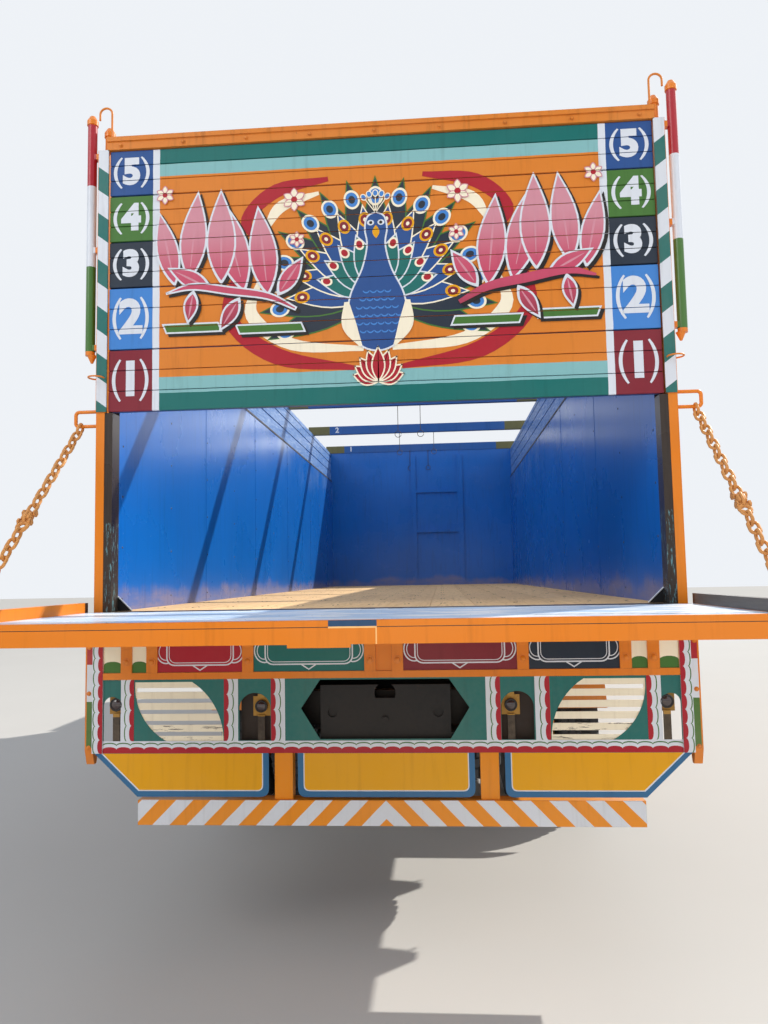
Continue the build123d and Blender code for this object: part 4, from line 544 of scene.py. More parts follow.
def below(tree, value, edge):
    return maths(tree, "LESS_THAN", value, edge)


def within(tree, value, edges):
    """One between the two edges, and nothing outside them."""
    return times(tree, above(tree, value, edges[0]), below(tree, value, edges[1]))


def both(tree, first, second):
    """One where both masks are one."""
    return times(tree, first, second)


def vector_maths(tree, operation, inputs):
    return add(tree, "ShaderNodeVectorMath", inputs, operation=operation).outputs[0]


def mixed(tree, factor, first, second, mode="MIX"):
    inputs = {0: factor, 6: first, 7: second}
    return add(tree, "ShaderNodeMix", inputs, data_type="RGBA", blend_type=mode).outputs[2]


def rgba(colour):
    return (*tuple(colour)[:3], 1.0)


def noise(tree, vector, scale, detail=4.0, roughness=0.55):
    inputs = {"Vector": vector, "Scale": scale, "Detail": detail, "Roughness": roughness}
    return add(tree, "ShaderNodeTexNoise", inputs).outputs[0]


def eased(tree, value, start, end, to_start=0.0, to_end=1.0):
    """Smooth step from one value to another."""
    inputs = {"Value": value, "From Min": start, "From Max": end, "To Min": to_start, "To Max": to_end}
    return add(tree, "ShaderNodeMapRange", inputs, interpolation_type="SMOOTHSTEP").outputs[0]


def object_place(tree):
    return add(tree, "ShaderNodeTexCoord").outputs["Object"]


def drawn_out(tree, scales, scale, detail, roughness):
    """Noise that is long along the axes whose scales are small."""
    place = add(tree, "ShaderNodeMapping", {"Vector": object_place(tree), "Scale": scales}).outputs[0]
    return noise(tree, place, scale, detail, roughness)


def patches(tree, scales, scale, detail, roughness, *steps):
    """Soft-edged patches cut from such a noise."""
    return eased(tree, drawn_out(tree, scales, scale, detail, roughness), *steps)


def split(tree, vector):
    return add(tree, "ShaderNodeSeparateXYZ", {"Vector": vector}).outputs


def node_group(name, inputs, outputs, build):
    """A shared effect with named sockets, built once."""
    if name in bpy.data.node_groups:
        return bpy.data.node_groups[name]
    tree = bpy.data.node_groups.new(name, "ShaderNodeTree")
    for label, (kind, default) in inputs.items():
        socket = tree.interface.new_socket(name=label, in_out="INPUT", socket_type=f"NodeSocket{kind}")
        socket.default_value = default
    for label, kind in outputs.items():
        tree.interface.new_socket(name=label, in_out="OUTPUT", socket_type=f"NodeSocket{kind}")
    build(tree, add(tree, "NodeGroupInput").outputs, add(tree, "NodeGroupOutput").inputs)
    return tree


def use_group(tree, group, inputs):
    return add(tree, "ShaderNodeGroup", inputs, node_tree=group).outputs


DUST = (0.42, 0.33, 0.23, 1.0)
RUST = (0.16, 0.07, 0.035, 1.0)
BLEACH = (0.85, 0.8, 0.72, 1.0)
GRIME = (0.45, 0.42, 0.4, 1.0)
DUST_HEIGHTS = (1.5, 0.3)


def build_weather(tree, given, result):
    place = object_place(tree)
    height = split(tree, place)[2]
    clouds = noise(tree, place, 1.6, 5)
    grit = noise(tree, place, 60, 3)
    runs = drawn_out(tree, (11, 11, 0.9), 3, 4, 0.6)
    specks = noise(tree, place, 26, 5, 0.7)
    fading = times(tree, eased(tree, clouds, 0.38, 0.68), given["Fade"])
    faded = mixed(tree, fading, given["Colour"], mixed(tree, 0.03, given["Colour"], BLEACH))
    dark = mixed(tree, 1.0, faded, GRIME, "MULTIPLY")
    streaked = mixed(tree, times(tree, eased(tree, runs, 0.5, 0.78), given["Streaks"]), faded, dark)
    chipped = times(tree, eased(tree, specks, 0.7, 0.735), given["Chips"], clamp=True)
    near_road = eased(tree, height, *DUST_HEIGHTS, 0.25, 1.0)
    settled = eased(tree, plus(tree, clouds, times(tree, grit, 0.25)), 0.35, 0.85)
    dusty = times(tree, times(tree, near_road, settled), given["Dust"], clamp=True)
    rough = plus(tree, given["Gloss"], times(tree, fading, 0.18))
    fill(tree, result, {
        "Colour": mixed(tree, dusty, mixed(tree, chipped, streaked, RUST), DUST),
        "Roughness": plus(tree, rough, times(tree, plus(tree, dusty, chipped), 0.45), clamp=True),
        "Height": minus(tree, times(tree, grit, 0.2), times(tree, chipped, 0.6)),
    })


def weather():
    inputs = {
        "Colour": ("Color", (0.5, 0.5, 0.5, 1)), "Gloss": ("Float", 0.35), "Fade": ("Float", 0.5),
        "Streaks": ("Float", 0.3), "Chips": ("Float", 0.3), "Dust": ("Float", 0.3),
    }
    outputs = {"Colour": "Color", "Roughness": "Float", "Height": "Float"}
    return node_group("Road weather", inputs, outputs, build_weather)


def build_edge_wear(tree, given, result):
    eased_normal = add(tree, "ShaderNodeBevel", {"Radius": given["Radius"]}, samples=4).outputs[0]
    normals = {0: eased_normal, 1: add(tree, "ShaderNodeNewGeometry").outputs["Normal"]}
    match = add(tree, "ShaderNodeVectorMath", normals, operation="DOT_PRODUCT").outputs["Value"]
    patch = eased(tree, noise(tree, object_place(tree), 14, 5, 0.65), 0.42, 0.6)
    worn = times(tree, eased(tree, match, 0.985, 0.9), patch)
    fill(tree, result, {"Mask": times(tree, worn, given["Amount"])})


def edge_wear():
    inputs = {"Radius": ("Float", 0.004), "Amount": ("Float", 0.8)}
    return node_group("Edge wear", inputs, {"Mask": "Float"}, build_edge_wear)


def build_grain(tree, given, result):
    place = vector_maths(tree, "MULTIPLY", {0: object_place(tree), 1: given["Stretch"]})
    rings = {"Vector": place, "Scale": 1.3, "Detail": 3, "Distortion": 0.8}
    lines = maths(tree, "FRACT", times(tree, add(tree, "ShaderNodeTexNoise", rings).outputs[0], 9))
    dark = times(tree, eased(tree, lines, 0.55, 1.0), 0.5)
    shade = plus(tree, times(tree, noise(tree, place, 6, 6, 0.6), 0.7), dark, clamp=True)
    fill(tree, result, {"Colour": mixed(tree, shade, given["Light"], given["Dark"]), "Height": shade})


def grain():
    inputs = {
        "Light": ("Color", (0.5, 0.35, 0.2, 1)), "Dark": ("Color", (0.2, 0.12, 0.06, 1)),
        "Stretch": ("Vector", (1, 1, 1)),
    }
    return node_group("Wood grain", inputs, {"Colour": "Color", "Height": "Float"}, build_grain)


def new_material(name):
    material = bpy.data.materials.new(name)
    material.use_nodes = True
    tree = material.node_tree
    return material, tree, tree.nodes["Principled BSDF"].inputs


def bump(tree, height, distance):
    return add(tree, "ShaderNodeBump", {"Distance": distance, "Height": height}).outputs[0]


def enamel(name, colour, gloss=0.33, fade=0.45, streaks=0.25, chips=0.25, dust=0.35, coat=0.12, wear=0.0):
    """Weathered paint. The colour is a value, or a function that draws the pattern in nodes."""
    if name in bpy.data.materials:
        return bpy.data.materials[name]
    material, tree, shader = new_material(name)
    base = colour(tree) if callable(colour) else rgba(colour)
    given = {"Colour": base, "Gloss": gloss, "Fade": fade, "Streaks": streaks, "Chips": chips, "Dust": dust}
    worn = use_group(tree, weather(), given)
    shown = worn["Colour"]
    if wear:
        mask = use_group(tree, edge_wear(), {"Amount": wear})["Mask"]
        shown = mixed(tree, mask, shown, RUST)
    fill(tree, shader, {
        "Base Color": shown, "Roughness": worn["Roughness"], "Coat Weight": coat, "Coat Roughness": 0.2,
        "Specular IOR Level": 0.22, "Normal": bump(tree, worn["Height"], 0.0006),
    })
    return material


def plain_finish(name, colour, rough, metal=0.0, grit=0.08, scale=35.0, depth=0.0005, coat=0.0):
    """Rubber, cast iron, plastic or bright metal with fine unevenness."""
    if name in bpy.data.materials:
        return bpy.data.materials[name]
    material, tree, shader = new_material(name)
    place = object_place(tree)
    fine = noise(tree, place, scale, 4, 0.6)
    cloud = times(tree, noise(tree, place, 3, 4), plus(tree, fine, 0.2))
    lighter = [min(1, part * 1.5 + 0.03) for part in colour]
    fill(tree, shader, {
        "Base Color": mixed(tree, cloud, rgba(colour), rgba(lighter)),
        "Roughness": eased(tree, fine, 0.3, 0.7, rough - grit, rough + grit),
        "Metallic": metal, "Coat Weight": coat, "Normal": bump(tree, fine, depth),
    })
    return material


def clear_glass(name, tint, rough=0.03):
    if name in bpy.data.materials:
        return bpy.data.materials[name]
    material, tree, shader = new_material(name)
    dirt = eased(tree, noise(tree, object_place(tree), 6, 5, 0.6), 0.45, 0.8, 0.0, 0.10)
    fill(tree, shader, {
        "Base Color": mixed(tree, dirt, rgba(tint), DUST), "Roughness": plus(tree, dirt, rough),
        "Transmission Weight": 0.92, "IOR": 1.45,
    })
    return material


# Paint patterns drawn in the truck's own coordinates

def place_parts(tree, wobble=0.0):
    """x, |x|, y and z of the point, unsteady by a brush's width."""
    place = object_place(tree)
    if wobble:
        drift = add(tree, "ShaderNodeTexNoise", {"Vector": place, "Scale": 9.0, "Detail": 2.0})
        moved = vector_maths(tree, "SUBTRACT", {0: drift.outputs["Color"], 1: (0.5, 0.5, 0.5)})
        moved = vector_maths(tree, "SCALE", {0: moved, "Scale": wobble})
        place = vector_maths(tree, "ADD", {0: place, 1: moved})
    x, y, z = split(tree, place)[:3]
    return x, maths(tree, "ABSOLUTE", x), y, z


def paints():
    return bpy.context.scene.truck_paints


def sizes():
    return bpy.context.scene.truck_sizes


def hue(name):
    return rgba(getattr(paints(), name))


def stacked(tree, z, ground, bands):
    """The ground with each paint laid over it above its height."""
    for paint, height in bands:
        ground = mixed(tree, above(tree, z, height), ground, hue(paint))
    return ground


def striped(tree, place, period, first, second):
    """Two paints that take turns along a line, a period for both."""
    turn = maths(tree, "FRACT", maths(tree, "DIVIDE", place, period))
    return mixed(tree, above(tree, turn, 0.5), hue(first), hue(second))


BOARD_BANDS = (
    # paint, then the heights below which and above which it lies
    ("pale_teal", 2.331, 3.213),
    ("teal", 2.263, 3.267),
)
BOARD_JOINTS = (2.457, 2.727, 2.930, 3.135)
BOARD_SKIN = 0.012


def board_ground(tree):
    """Orange field, teal bands, white strips and five coloured squares at each end."""
    measure = sizes()
    _, reach, y, z = place_parts(tree, 0.005)
    shown = hue("field")
    for paint, foot, top in BOARD_BANDS:
        shown = mixed(tree, plus(tree, above(tree, z, top), below(tree, z, foot)), shown, hue(paint))
    shown = mixed(tree, above(tree, reach, measure.strip_inner), shown, hue("white"))
    squares = stacked(tree, z, hue("maroon"), zip(("sky", "navy", "green", "blue"), BOARD_JOINTS))
    shown = mixed(tree, above(tree, reach, measure.column_inner), shown, squares)
    return mixed(tree, above(tree, y, BOARD_FACE + BOARD_SKIN), shown, hue("blue"))


STRIPE_PERIOD = 0.205
STRIPE_SLOPE = 0.74
STRIPE_START = 3.270
FLAT_OUTER = 1.205
STRIPED_OUTER = 1.1985
STRIP_EDGES = (1.2005, 1.226)
STRIP_TOP = 1.4
STRIP_BANDS = (("green", 0.800), ("white", 0.985), ("red", 1.135))


def post_colours(tree):
    """Orange posts, slanting teal and white on the flats, bands on the outer strips."""
    _, reach, y, z = place_parts(tree, 0.003)
    slant = times(tree, minus(tree, reach, FLAT_OUTER), STRIPE_SLOPE)
    stripes = striped(tree, minus(tree, minus(tree, z, slant), STRIPE_START), STRIPE_PERIOD, "white", "teal")
    rear_face = both(tree, above(tree, z, BOARD_LOW - 0.002), below(tree, y, REAR - 0.0015))
    shown = mixed(tree, both(tree, rear_face, below(tree, reach, STRIPED_OUTER)), hue("orange"), stripes)
    strip = both(tree, within(tree, reach, STRIP_EDGES), below(tree, z, STRIP_TOP))
    return mixed(tree, strip, shown, stacked(tree, z, hue("orange"), STRIP_BANDS))


PIPE_INNER = 1.2165
PIPE_BANDS = (("green", 2.456), ("white", 2.829), ("red", 3.190), ("orange", 3.468))


def pipe_colours(tree):
    """Green, white and red pipe under an orange cap."""
    _, reach, _, z = place_parts(tree, 0.003)
    bands = stacked(tree, z, hue("orange"), PIPE_BANDS)
    return mixed(tree, above(tree, reach, PIPE_INNER), hue("orange"), bands)


UNDERRUN_PERIOD = 0.141
UNDERRUN_TOP = 0.596


def underrun_colours(tree):
    """White and amber stripes that lean towards a chevron at the centre."""
    _, reach, y, z = place_parts(tree, 0.004)
    phase = maths(tree, "DIVIDE", minus(tree, plus(tree, reach, z), UNDERRUN_TOP), UNDERRUN_PERIOD)
    white = above(tree, maths(tree, "FRACT", phase), 0.5)
    top, rear = UNDERRUN_TOP + 0.002, low("underrun_beam").y + 0.004
    rear_face = both(tree, below(tree, z, top), below(tree, y, rear))
    return mixed(tree, both(tree, white, rear_face), hue("amber"), hue("white"))


SLAT_WORN_TOP = 0.905
LEAF_EDGES = (0.640, 1.034)
WORN_SLAT = (0.22, 0.2, 0.17, 1)


def tail_colours(tree):
    """Teal sheet in front, cream slats behind it."""
    _, reach, y, z = place_parts(tree)
    worn = patches(tree, (3, 30, 30), 4, 5, 0.7, 0.56, 0.6)
    slat = mixed(tree, both(tree, worn, below(tree, z, SLAT_WORN_TOP)), hue("cream"), WORN_SLAT)
    behind = both(tree, within(tree, reach, LEAF_EDGES), above(tree, y, REAR + 0.002))
    return mixed(tree, behind, hue("teal"), slat)


SILL_BARE_LOW = 1.325
SILL_BARE = (0.03, 0.022, 0.018, 1)


def sill_colours(tree):
    """Orange sill, bare and dark where the floor ends."""
    z = split(tree, object_place(tree))[2]
    return mixed(tree, above(tree, z, SILL_BARE_LOW), hue("orange"), SILL_BARE)


GATE_SKIN = 0.0006
GATE_SHEET_EDGE = 0.030
GATE_SHEET_HALF = 1.204
GATE_UNDERSIDE = (1.3435, 1.3455)
GATE_LINE = (1.3285, 1.3308)
GATE_END = 1.2042
GATE_NOSE = (-4.070, 1.325)
LATCH_PLATE = (-0.100, 0.045)
LATCH_RIM = (1.3265, 1.3315)
LATCH_RIM_WIDE = 0.004
# Blue sheet paint and pale rubbed metal, both lightened: part real paint and wear, part painted sheen
SHEET_PAINT_WITH_SHEEN, SHEET_RUBBED_AND_SHEEN, SHEET_SCAR = (0.42, 0.58, 0.78, 1), (0.82, 0.85, 0.88, 1), (0.12, 0.09, 0.08, 1)
END_GRAIN = (0.05, 0.045, 0.04, 1), (0.17, 0.15, 0.13, 1)
GATE_DARK, LATCH_BLUE, LATCH_EDGE = (0.04, 0.025, 0.02, 1), (0.012, 0.06, 0.15, 1), (0.95, 0.55, 0.22, 1)


def gate_colours(tree):
    """Orange gate with a rubbed blue sheet on its inner face. The sheet's blue and rubbed paints are
    lightened as a painted sheen.
    """
    x, reach, y, z = place_parts(tree)
    at_edge = below(tree, y, GATE_REAR + 0.002)
    top = both(tree, above(tree, z, FLOOR_TOP - GATE_SKIN), below(tree, reach, GATE_SHEET_HALF))
    top = both(tree, top, above(tree, y, GATE_REAR + GATE_SHEET_EDGE))
    # Blue sheet with pale rubbed patches, lightened as a painted sheen over the real wear
    sheet = mixed(tree, patches(tree, (1, 3, 1), 3.5, 6, 0.65, 0.43, 0.6), SHEET_PAINT_WITH_SHEEN, SHEET_RUBBED_AND_SHEEN)
    sheet = mixed(tree, patches(tree, (14, 2, 1), 6, 4, 0.7, 0.66, 0.7), sheet, SHEET_SCAR)
    shown = mixed(tree, top, hue("orange"), sheet)
    under = both(tree, within(tree, z, GATE_UNDERSIDE), above(tree, y, GATE_REAR + 0.02))
    shown = mixed(tree, under, shown, hue("teal"))
    bare = both(tree, above(tree, x, GATE_END), above(tree, z, FLOOR_TOP + GATE_SKIN))
    shown = mixed(tree, bare, shown, mixed(tree, drawn_out(tree, (40, 2, 40), 4, 6, 0.7), *END_GRAIN))
    line = both(tree, within(tree, z, GATE_LINE), at_edge)
    nose = both(tree, above(tree, y, GATE_NOSE[0]), above(tree, z, GATE_NOSE[1]))
    shown = mixed(tree, maths(tree, "MAXIMUM", line, nose), shown, GATE_DARK)
    plate = both(tree, within(tree, x, LATCH_PLATE), at_edge)
    shown = mixed(tree, both(tree, plate, above(tree, z, LATCH_RIM[1])), shown, LATCH_BLUE)
    side_rim = both(tree, above(tree, x, LATCH_PLATE[1] - LATCH_RIM_WIDE), below(tree, z, LATCH_RIM[1]))
    rim = maths(tree, "MAXIMUM", side_rim, within(tree, z, LATCH_RIM))
    return mixed(tree, both(tree, plate, rim), shown, LATCH_EDGE)


DEEP_BLUE, PALE_BLUE, RUBBED_BLUE = (0.003, 0.095, 0.37, 1), (0.30, 0.42, 0.60, 1), (0.23, 0.21, 0.33, 1)


def lining_blue(tree, z, sun_bleach=True):
    """Gloss blue, rubbed grey-purple along the floor and paler near the top."""
    place = object_place(tree)
    ragged = times(tree, drawn_out(tree, (1, 1, 0.3), 3.2, 5, 0.6), 0.25)
    rub = eased(tree, minus(tree, z, plus(tree, FLOOR_TOP - 0.05, ragged)), 0.03, -0.05)
    scuff = patches(tree, (1, 0.6, 3), 5, 6, 0.7, 0.35, 0.65, 0.35, 0.8)
    blue = mixed(tree, noise(tree, place, 0.9, 3), hue("lining"), DEEP_BLUE)
    if sun_bleach:
        high_up = eased(tree, z, 2.25, 2.7, 0, 0.28)
        bleach = both(tree, high_up, eased(tree, noise(tree, place, 2.4, 5), 0.4, 0.65))
        blue = mixed(tree, bleach, blue, PALE_BLUE)
    return mixed(tree, times(tree, rub, scuff), blue, RUBBED_BLUE)


STAKE_INNER = 1.1815
SHEET_OUTER = 1.16
FLAKE_TOP = 1.72
RAW_DEPTH = 0.0752
RAW_WOOD = (0.022, 0.016, 0.013, 1), (0.062, 0.048, 0.040, 1)
OLD_FLAKES = (0.12, 0.26, 0.30, 1)


def wall_colours(tree):
    """Blue lining inside, teal panels between orange stakes outside, raw strips beside the opening."""
    _, reach, y, z = place_parts(tree)
    outside = mixed(tree, above(tree, reach, STAKE_INNER), hue("teal"), hue("orange"))
    shown = mixed(tree, above(tree, reach, SHEET_OUTER), lining_blue(tree, z), outside)
    bare = mixed(tree, drawn_out(tree, (40, 40, 2.5), 4, 6, 0.7), *RAW_WOOD)
    flaked = both(tree, patches(tree, (30, 30, 4), 5, 5, 0.7, 0.57, 0.62), below(tree, z, FLAKE_TOP))
    bare = mixed(tree, flaked, bare, OLD_FLAKES)
    return mixed(tree, below(tree, y, REAR + RAW_DEPTH), shown, bare)


PLANK_OUTER = 1.1735
PLANK_BLUES = (0.04, 0.17, 0.50, 1), (0.27, 0.41, 0.66, 1)


def plank_colours(tree):
    """Upper planks: worn pale blue inside, light blue outside."""
    _, reach, _, _ = place_parts(tree)
    inside = mixed(tree, patches(tree, (14, 1.4, 20), 5, 6, 0.75, 0.42, 0.64), *PLANK_BLUES)
    return mixed(tree, above(tree, reach, PLANK_OUTER), inside, hue("sky"))


def bulkhead_colours(tree):
    """Lining blue towards the load, teal towards the cab."""
    _, _, y, z = place_parts(tree)
    front = above(tree, y, high("side_walls").y + 0.02)
    return mixed(tree, front, lining_blue(tree, z, False), hue("teal"))


CAB_BANDS = (
    # paint, foot and top
    ("teal", 0.0, 0.860),
    ("white", 0.860, 0.878),
    ("white", 1.520, 1.535),
    ("teal", 1.535, 1.625),
    ("white", 1.625, 1.640),
    ("white", 2.600, 2.612),
    ("teal", 2.612, 2.699),
)


def cab_colours(tree):
    """Orange cab with a teal band along the doors, a teal skirt and a teal edge under the roof."""
    _, _, _, z = place_parts(tree, 0.003)
    shown = hue("orange")
    for paint, foot, top in CAB_BANDS:
        shown = mixed(tree, within(tree, z, (foot, top)), shown, hue(paint))
    return shown


CROSSBAR_OLIVE = 0.965
CROSSBAR_BLUES = (0.02, 0.10, 0.34, 1), (0.12, 0.12, 0.05, 1)


def crossbar_colours(tree):
    """Blue crossbars with olive ends."""
    _, reach, _, _ = place_parts(tree, 0.01)
    return mixed(tree, above(tree, reach, CROSSBAR_OLIVE), *CROSSBAR_BLUES)


LAMP_PLATE = (0.922, 1.0105)
LAMP_PAINTS = (0.028, 0.02, 0.016, 1), (0.38, 0.20, 0.025, 1)


def lamp_colours(tree):
    """Mustard lamp plates on dark brackets."""
    _, _, _, z = place_parts(tree)
    return mixed(tree, within(tree, z, LAMP_PLATE), *LAMP_PAINTS)


DEEP_ROSE = (0.52, 0.07, 0.14, 1)
ROSE_STEPS = (2.45, 2.72, 3.0)


def rose_shading(tree):
    """Pink at the top through rose to maroon at the foot of the artwork."""
    z = split(tree, object_place(tree))[2]
    lower = mixed(tree, eased(tree, z, *ROSE_STEPS[:2]), hue("maroon"), DEEP_ROSE)
    return mixed(tree, eased(tree, z, *ROSE_STEPS[1:]), lower, hue("pink"))


def paint_material(name):
    """Sign paint by its colour's name."""
    if name == "rose":
        return enamel("sign rose", rose_shading, 0.36, fade=0.4, streaks=0.15, chips=0.15, dust=0.1)
    return enamel(f"sign {name}", hue(name), 0.36, fade=0.4, streaks=0.18, chips=0.15, dust=0.06)


def body_orange():
    return enamel("body orange", hue("orange"), 0.34, fade=0.5, streaks=0.3, chips=0.35, dust=0.4, wear=0.5)


def black_steel():
    black = (0.008, 0.009, 0.012)
    return enamel("chassis black", black, 0.42, fade=0.0, streaks=0.1, chips=0.15, dust=0.07, coat=0.0)


def iron():
    return plain_finish("cast iron", (0.045, 0.04, 0.036), 0.72, metal=0.4, scale=90, depth=0.001)


def rubber():
    return plain_finish("tyre rubber", (0.018, 0.018, 0.019), 0.8, scale=120, depth=0.0006)


def bright():
    return plain_finish("bright metal", (0.55, 0.55, 0.56), 0.22, metal=1.0, grit=0.06)


def black_trim():
    return plain_finish("black trim", (0.025, 0.025, 0.027), 0.5)


def screen_glass():
    return clear_glass("screen glass", (0.85, 0.92, 0.9))


def lining_paint():
    return enamel("load space blue", wall_colours, 0.27, fade=0.1, streaks=0.35, dust=0.0, coat=0.1)


def rim_paint():
    return enamel("rim paint", hue("yellow"), 0.35, fade=0.3, chips=0.4, dust=0.9, wear=0.5)


def rail_paint():
    return enamel("rail orange", hue("field"), 0.4, fade=0.8, streaks=0.5, chips=0.5, dust=0.1, wear=0.4)


def chain_paint():
    return enamel("chain orange", (0.62, 0.27, 0.07), 0.5, fade=0.7, chips=0.9, dust=0.5, wear=0.7)


FLOOR_PLANK = 0.1880
FLOOR_LIGHT, FLOOR_DARK = (0.95, 0.63, 0.30, 1), (0.62, 0.38, 0.17, 1)


def floor_wood():
    """Bare planks, each in a tone of its own."""
    material, tree, shader = new_material("floor planks")
    wood = use_group(tree, grain(), {"Light": FLOOR_LIGHT, "Dark": FLOOR_DARK, "Stretch": (9, 0.7, 9)})
    across = split(tree, object_place(tree))[0]
    plank = maths(tree, "FLOOR", maths(tree, "DIVIDE", across, FLOOR_PLANK))
    tone = add(tree, "ShaderNodeTexWhiteNoise", {"W": plank}, noise_dimensions="1D").outputs["Value"]
    shown = mixed(tree, times(tree, tone, 0.45), wood["Colour"], FLOOR_DARK)
    given = {"Colour": shown, "Gloss": 0.8, "Fade": 0.5, "Streaks": 0.2, "Chips": 0.2, "Dust": 0.15}
    worn = use_group(tree, weather(), given)
    fill(tree, shader, {
        "Base Color": worn["Colour"], "Roughness": worn["Roughness"],
        "Normal": bump(tree, wood["Height"], 0.0015),
    })
    return material


def node_finishes():
    """Finish of each piece of the frame, by node."""
    cab = enamel("cab paint", cab_colours, 0.22, fade=0.3, streaks=0.2, chips=0.12, dust=0.35, coat=0.6)
    finishes = {
        "spare_wheel": rubber(),
        "mudguards": body_orange(),
        "grille": bright(),
        "headlamps": bright(),
        "windscreen": screen_glass(),
        "floor_planks": floor_wood(),
        "side_walls": lining_paint(),
        "top_rail": rail_paint(),
        "fuel_tank": enamel("tank green", hue("green"), 0.3, dust=0.6, coat=0.4),
        "side_guards": enamel("guard yellow", hue("yellow"), 0.35, dust=0.6, wear=0.4),
        "front_bumper": enamel("bumper yellow", hue("yellow"), 0.25, dust=0.5, coat=0.5, wear=0.3),
        "crown_board": enamel("crown paint", hue("maroon"), 0.25, fade=0.3, dust=0.2, coat=0.5),
        "seats": plain_finish("seat cover", (0.16, 0.03, 0.03), 0.5, scale=220),
        "body_bearers": enamel("bearer red oxide", (0.16, 0.05, 0.035), 0.5, dust=0.7, coat=0.0),
        "upper_planks": enamel(
            "upper plank paint", plank_colours, 0.5, fade=0.6, chips=0.6, dust=0.0, coat=0.1
        ),
        "bulkhead": enamel(
            "bulkhead blue", bulkhead_colours, 0.25, fade=0.3, streaks=0.4, chips=0.3, dust=0.0, coat=0.5
        ),
        "rear_posts": enamel("post paint", post_colours, 0.34, fade=0.45, chips=0.35, dust=0.3, wear=0.3),
        "corner_pipes": enamel("pipe paint", pipe_colours, 0.3, fade=0.5, chips=0.3, dust=0.1, coat=0.4),
        "crossbars": enamel("crossbar paint", crossbar_colours, 0.45, fade=0.6, chips=0.5, dust=0.0),
        "rear_sill": enamel("sill orange", sill_colours, 0.34, fade=0.5, chips=0.35, dust=0.2, wear=0.5),
        "tail_lamps": enamel("lamp plate yellow", lamp_colours, 0.5, dust=0.5, chips=0.6),
        "rear_panel": enamel(
            "tail panel paint", tail_colours, 0.32, fade=0.2, chips=0.2, dust=0.12, coat=0.3
        ),
        "lower_boards": enamel("board border blue", hue("border"), 0.33, dust=0.3),
        "underrun_beam": enamel(
            "underrun paint", underrun_colours, 0.42, fade=0.2, chips=0.7, dust=0.15, wear=0.4
        ),
        "tailgate": enamel("gate paint", gate_colours, 0.36, fade=0.5, chips=0.12, dust=0.1, wear=0.4),
    }
    shared = (
        (black_steel(), "chassis_frame propeller_shaft radiator air_tanks battery_box track_rod"),
        (iron(), "leaf_springs front_axle rear_axle engine_block silencer knuckle_left knuckle_right"),
        (cab, "cab_front cab_sides cab_back cab_roof door_left door_right"),
        (black_trim(), "cab_floor dashboard steering_wheel mirrors"),
        (chain_paint(), "chain_left chain_right"),
        (rim_paint(), "front_rim_left front_rim_right rear_rims_left rear_rims_right"),
        (rubber(), "front_tyre_left front_tyre_right rear_tyres_left rear_tyres_right"),
    )
    for finish, names in shared:
        finishes.update((name, finish) for name in names.split())
    return finishes


class TRUCK_OT_finishes(bpy.types.Operator):
    """Give every piece of the frame its paint, metal, wood or rubber"""
    bl_idname = "truck.finishes"
    bl_label = "Frame Finishes"

    def execute(self, context):
        finishes = node_finishes()
        for name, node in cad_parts.items():
            if name in finishes:
                node.data.materials.clear()
                node.data.materials.append(finishes[name])
        return {"FINISHED"}


PLANKS_PER_BOARD = 3
BOARD_EDGES = (BOARD_LOW, *BOARD_JOINTS, BOARD_HIGH + 0.003)


def board_planks():
    """Low and high z of every plank of the upper boards."""
    planks = []
    for bottom, top in zip(BOARD_EDGES, BOARD_EDGES[1:]):
        height = (top - bottom - 0.003) / PLANKS_PER_BOARD
        for i in range(PLANKS_PER_BOARD):
            planks.append((bottom + i * height, bottom + (i + 1) * height))
    return planks


def plank_joints():
    return [top for _, top in board_planks()][:-1]


class TRUCK_OT_boards(bpy.types.Operator):
    """Build the five lift-out boards from planks with eased edges"""
    bl_idname = "truck.boards"
    bl_label = "Upper Boards"

    def execute(self, context):
        gap = sizes().plank_gap
        depth = (BOARD_FACE, high("upper_boards").y)
        bm = bmesh.new()
        for bottom, top in board_planks():
            pour(bm, bar((-BOARD_HALF, BOARD_HALF), depth, (bottom + gap / 2, top - gap / 2), 0.002))
        ground = enamel("board paint", board_ground, gloss=0.4, fade=0.55, streaks=0.3, chips=0.25, dust=0.0)
        boards = finish_mesh("sign_boards", bm, "chassis", [ground])
        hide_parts("upper_boards")
        return {"FINISHED"}


DIGIT_HEIGHT = 0.200
BRACKET_RADIUS = 0.155
NUMBER_X = 1.055


class TRUCK_OT_board_numbers(bpy.types.Operator):
    """Paint the numbers one to five up both ends of the boards"""
    bl_idname = "truck.board_numbers"
    bl_label = "Board Numbers"

    def execute(self, context):
        work = SignWork(["white"], sizes().coat)
        for number, (bottom, top) in enumerate(zip(BOARD_EDGES, BOARD_EDGES[1:]), start=1):
            middle = (bottom + top) / 2
            tall = (top - bottom) / 0.27
            for side in (-1, 1):
                x = side * NUMBER_X
                work.lay(written(str(number), DIGIT_HEIGHT * tall, 0.009), "white", at=(x, middle))
                for turn in (0, math.pi):
                    bow = sweep_band(BRACKET_RADIUS, 0.015, -0.62, 0.62, taper=0.45)
                    bmesh.ops.translate(bow, vec=(-0.083, 0, 0), verts=bow.verts)
                    bmesh.ops.scale(bow, vec=(1, tall, 1), verts=bow.verts)
                    work.lay(bow, "white", at=(x, middle), turn=turn)
        work.part_at(plank_joints(), sizes().plank_gap)
        work.dry("board_numbers", "chassis", facing("rear", y=BOARD_FACE))
        return {"FINISHED"}


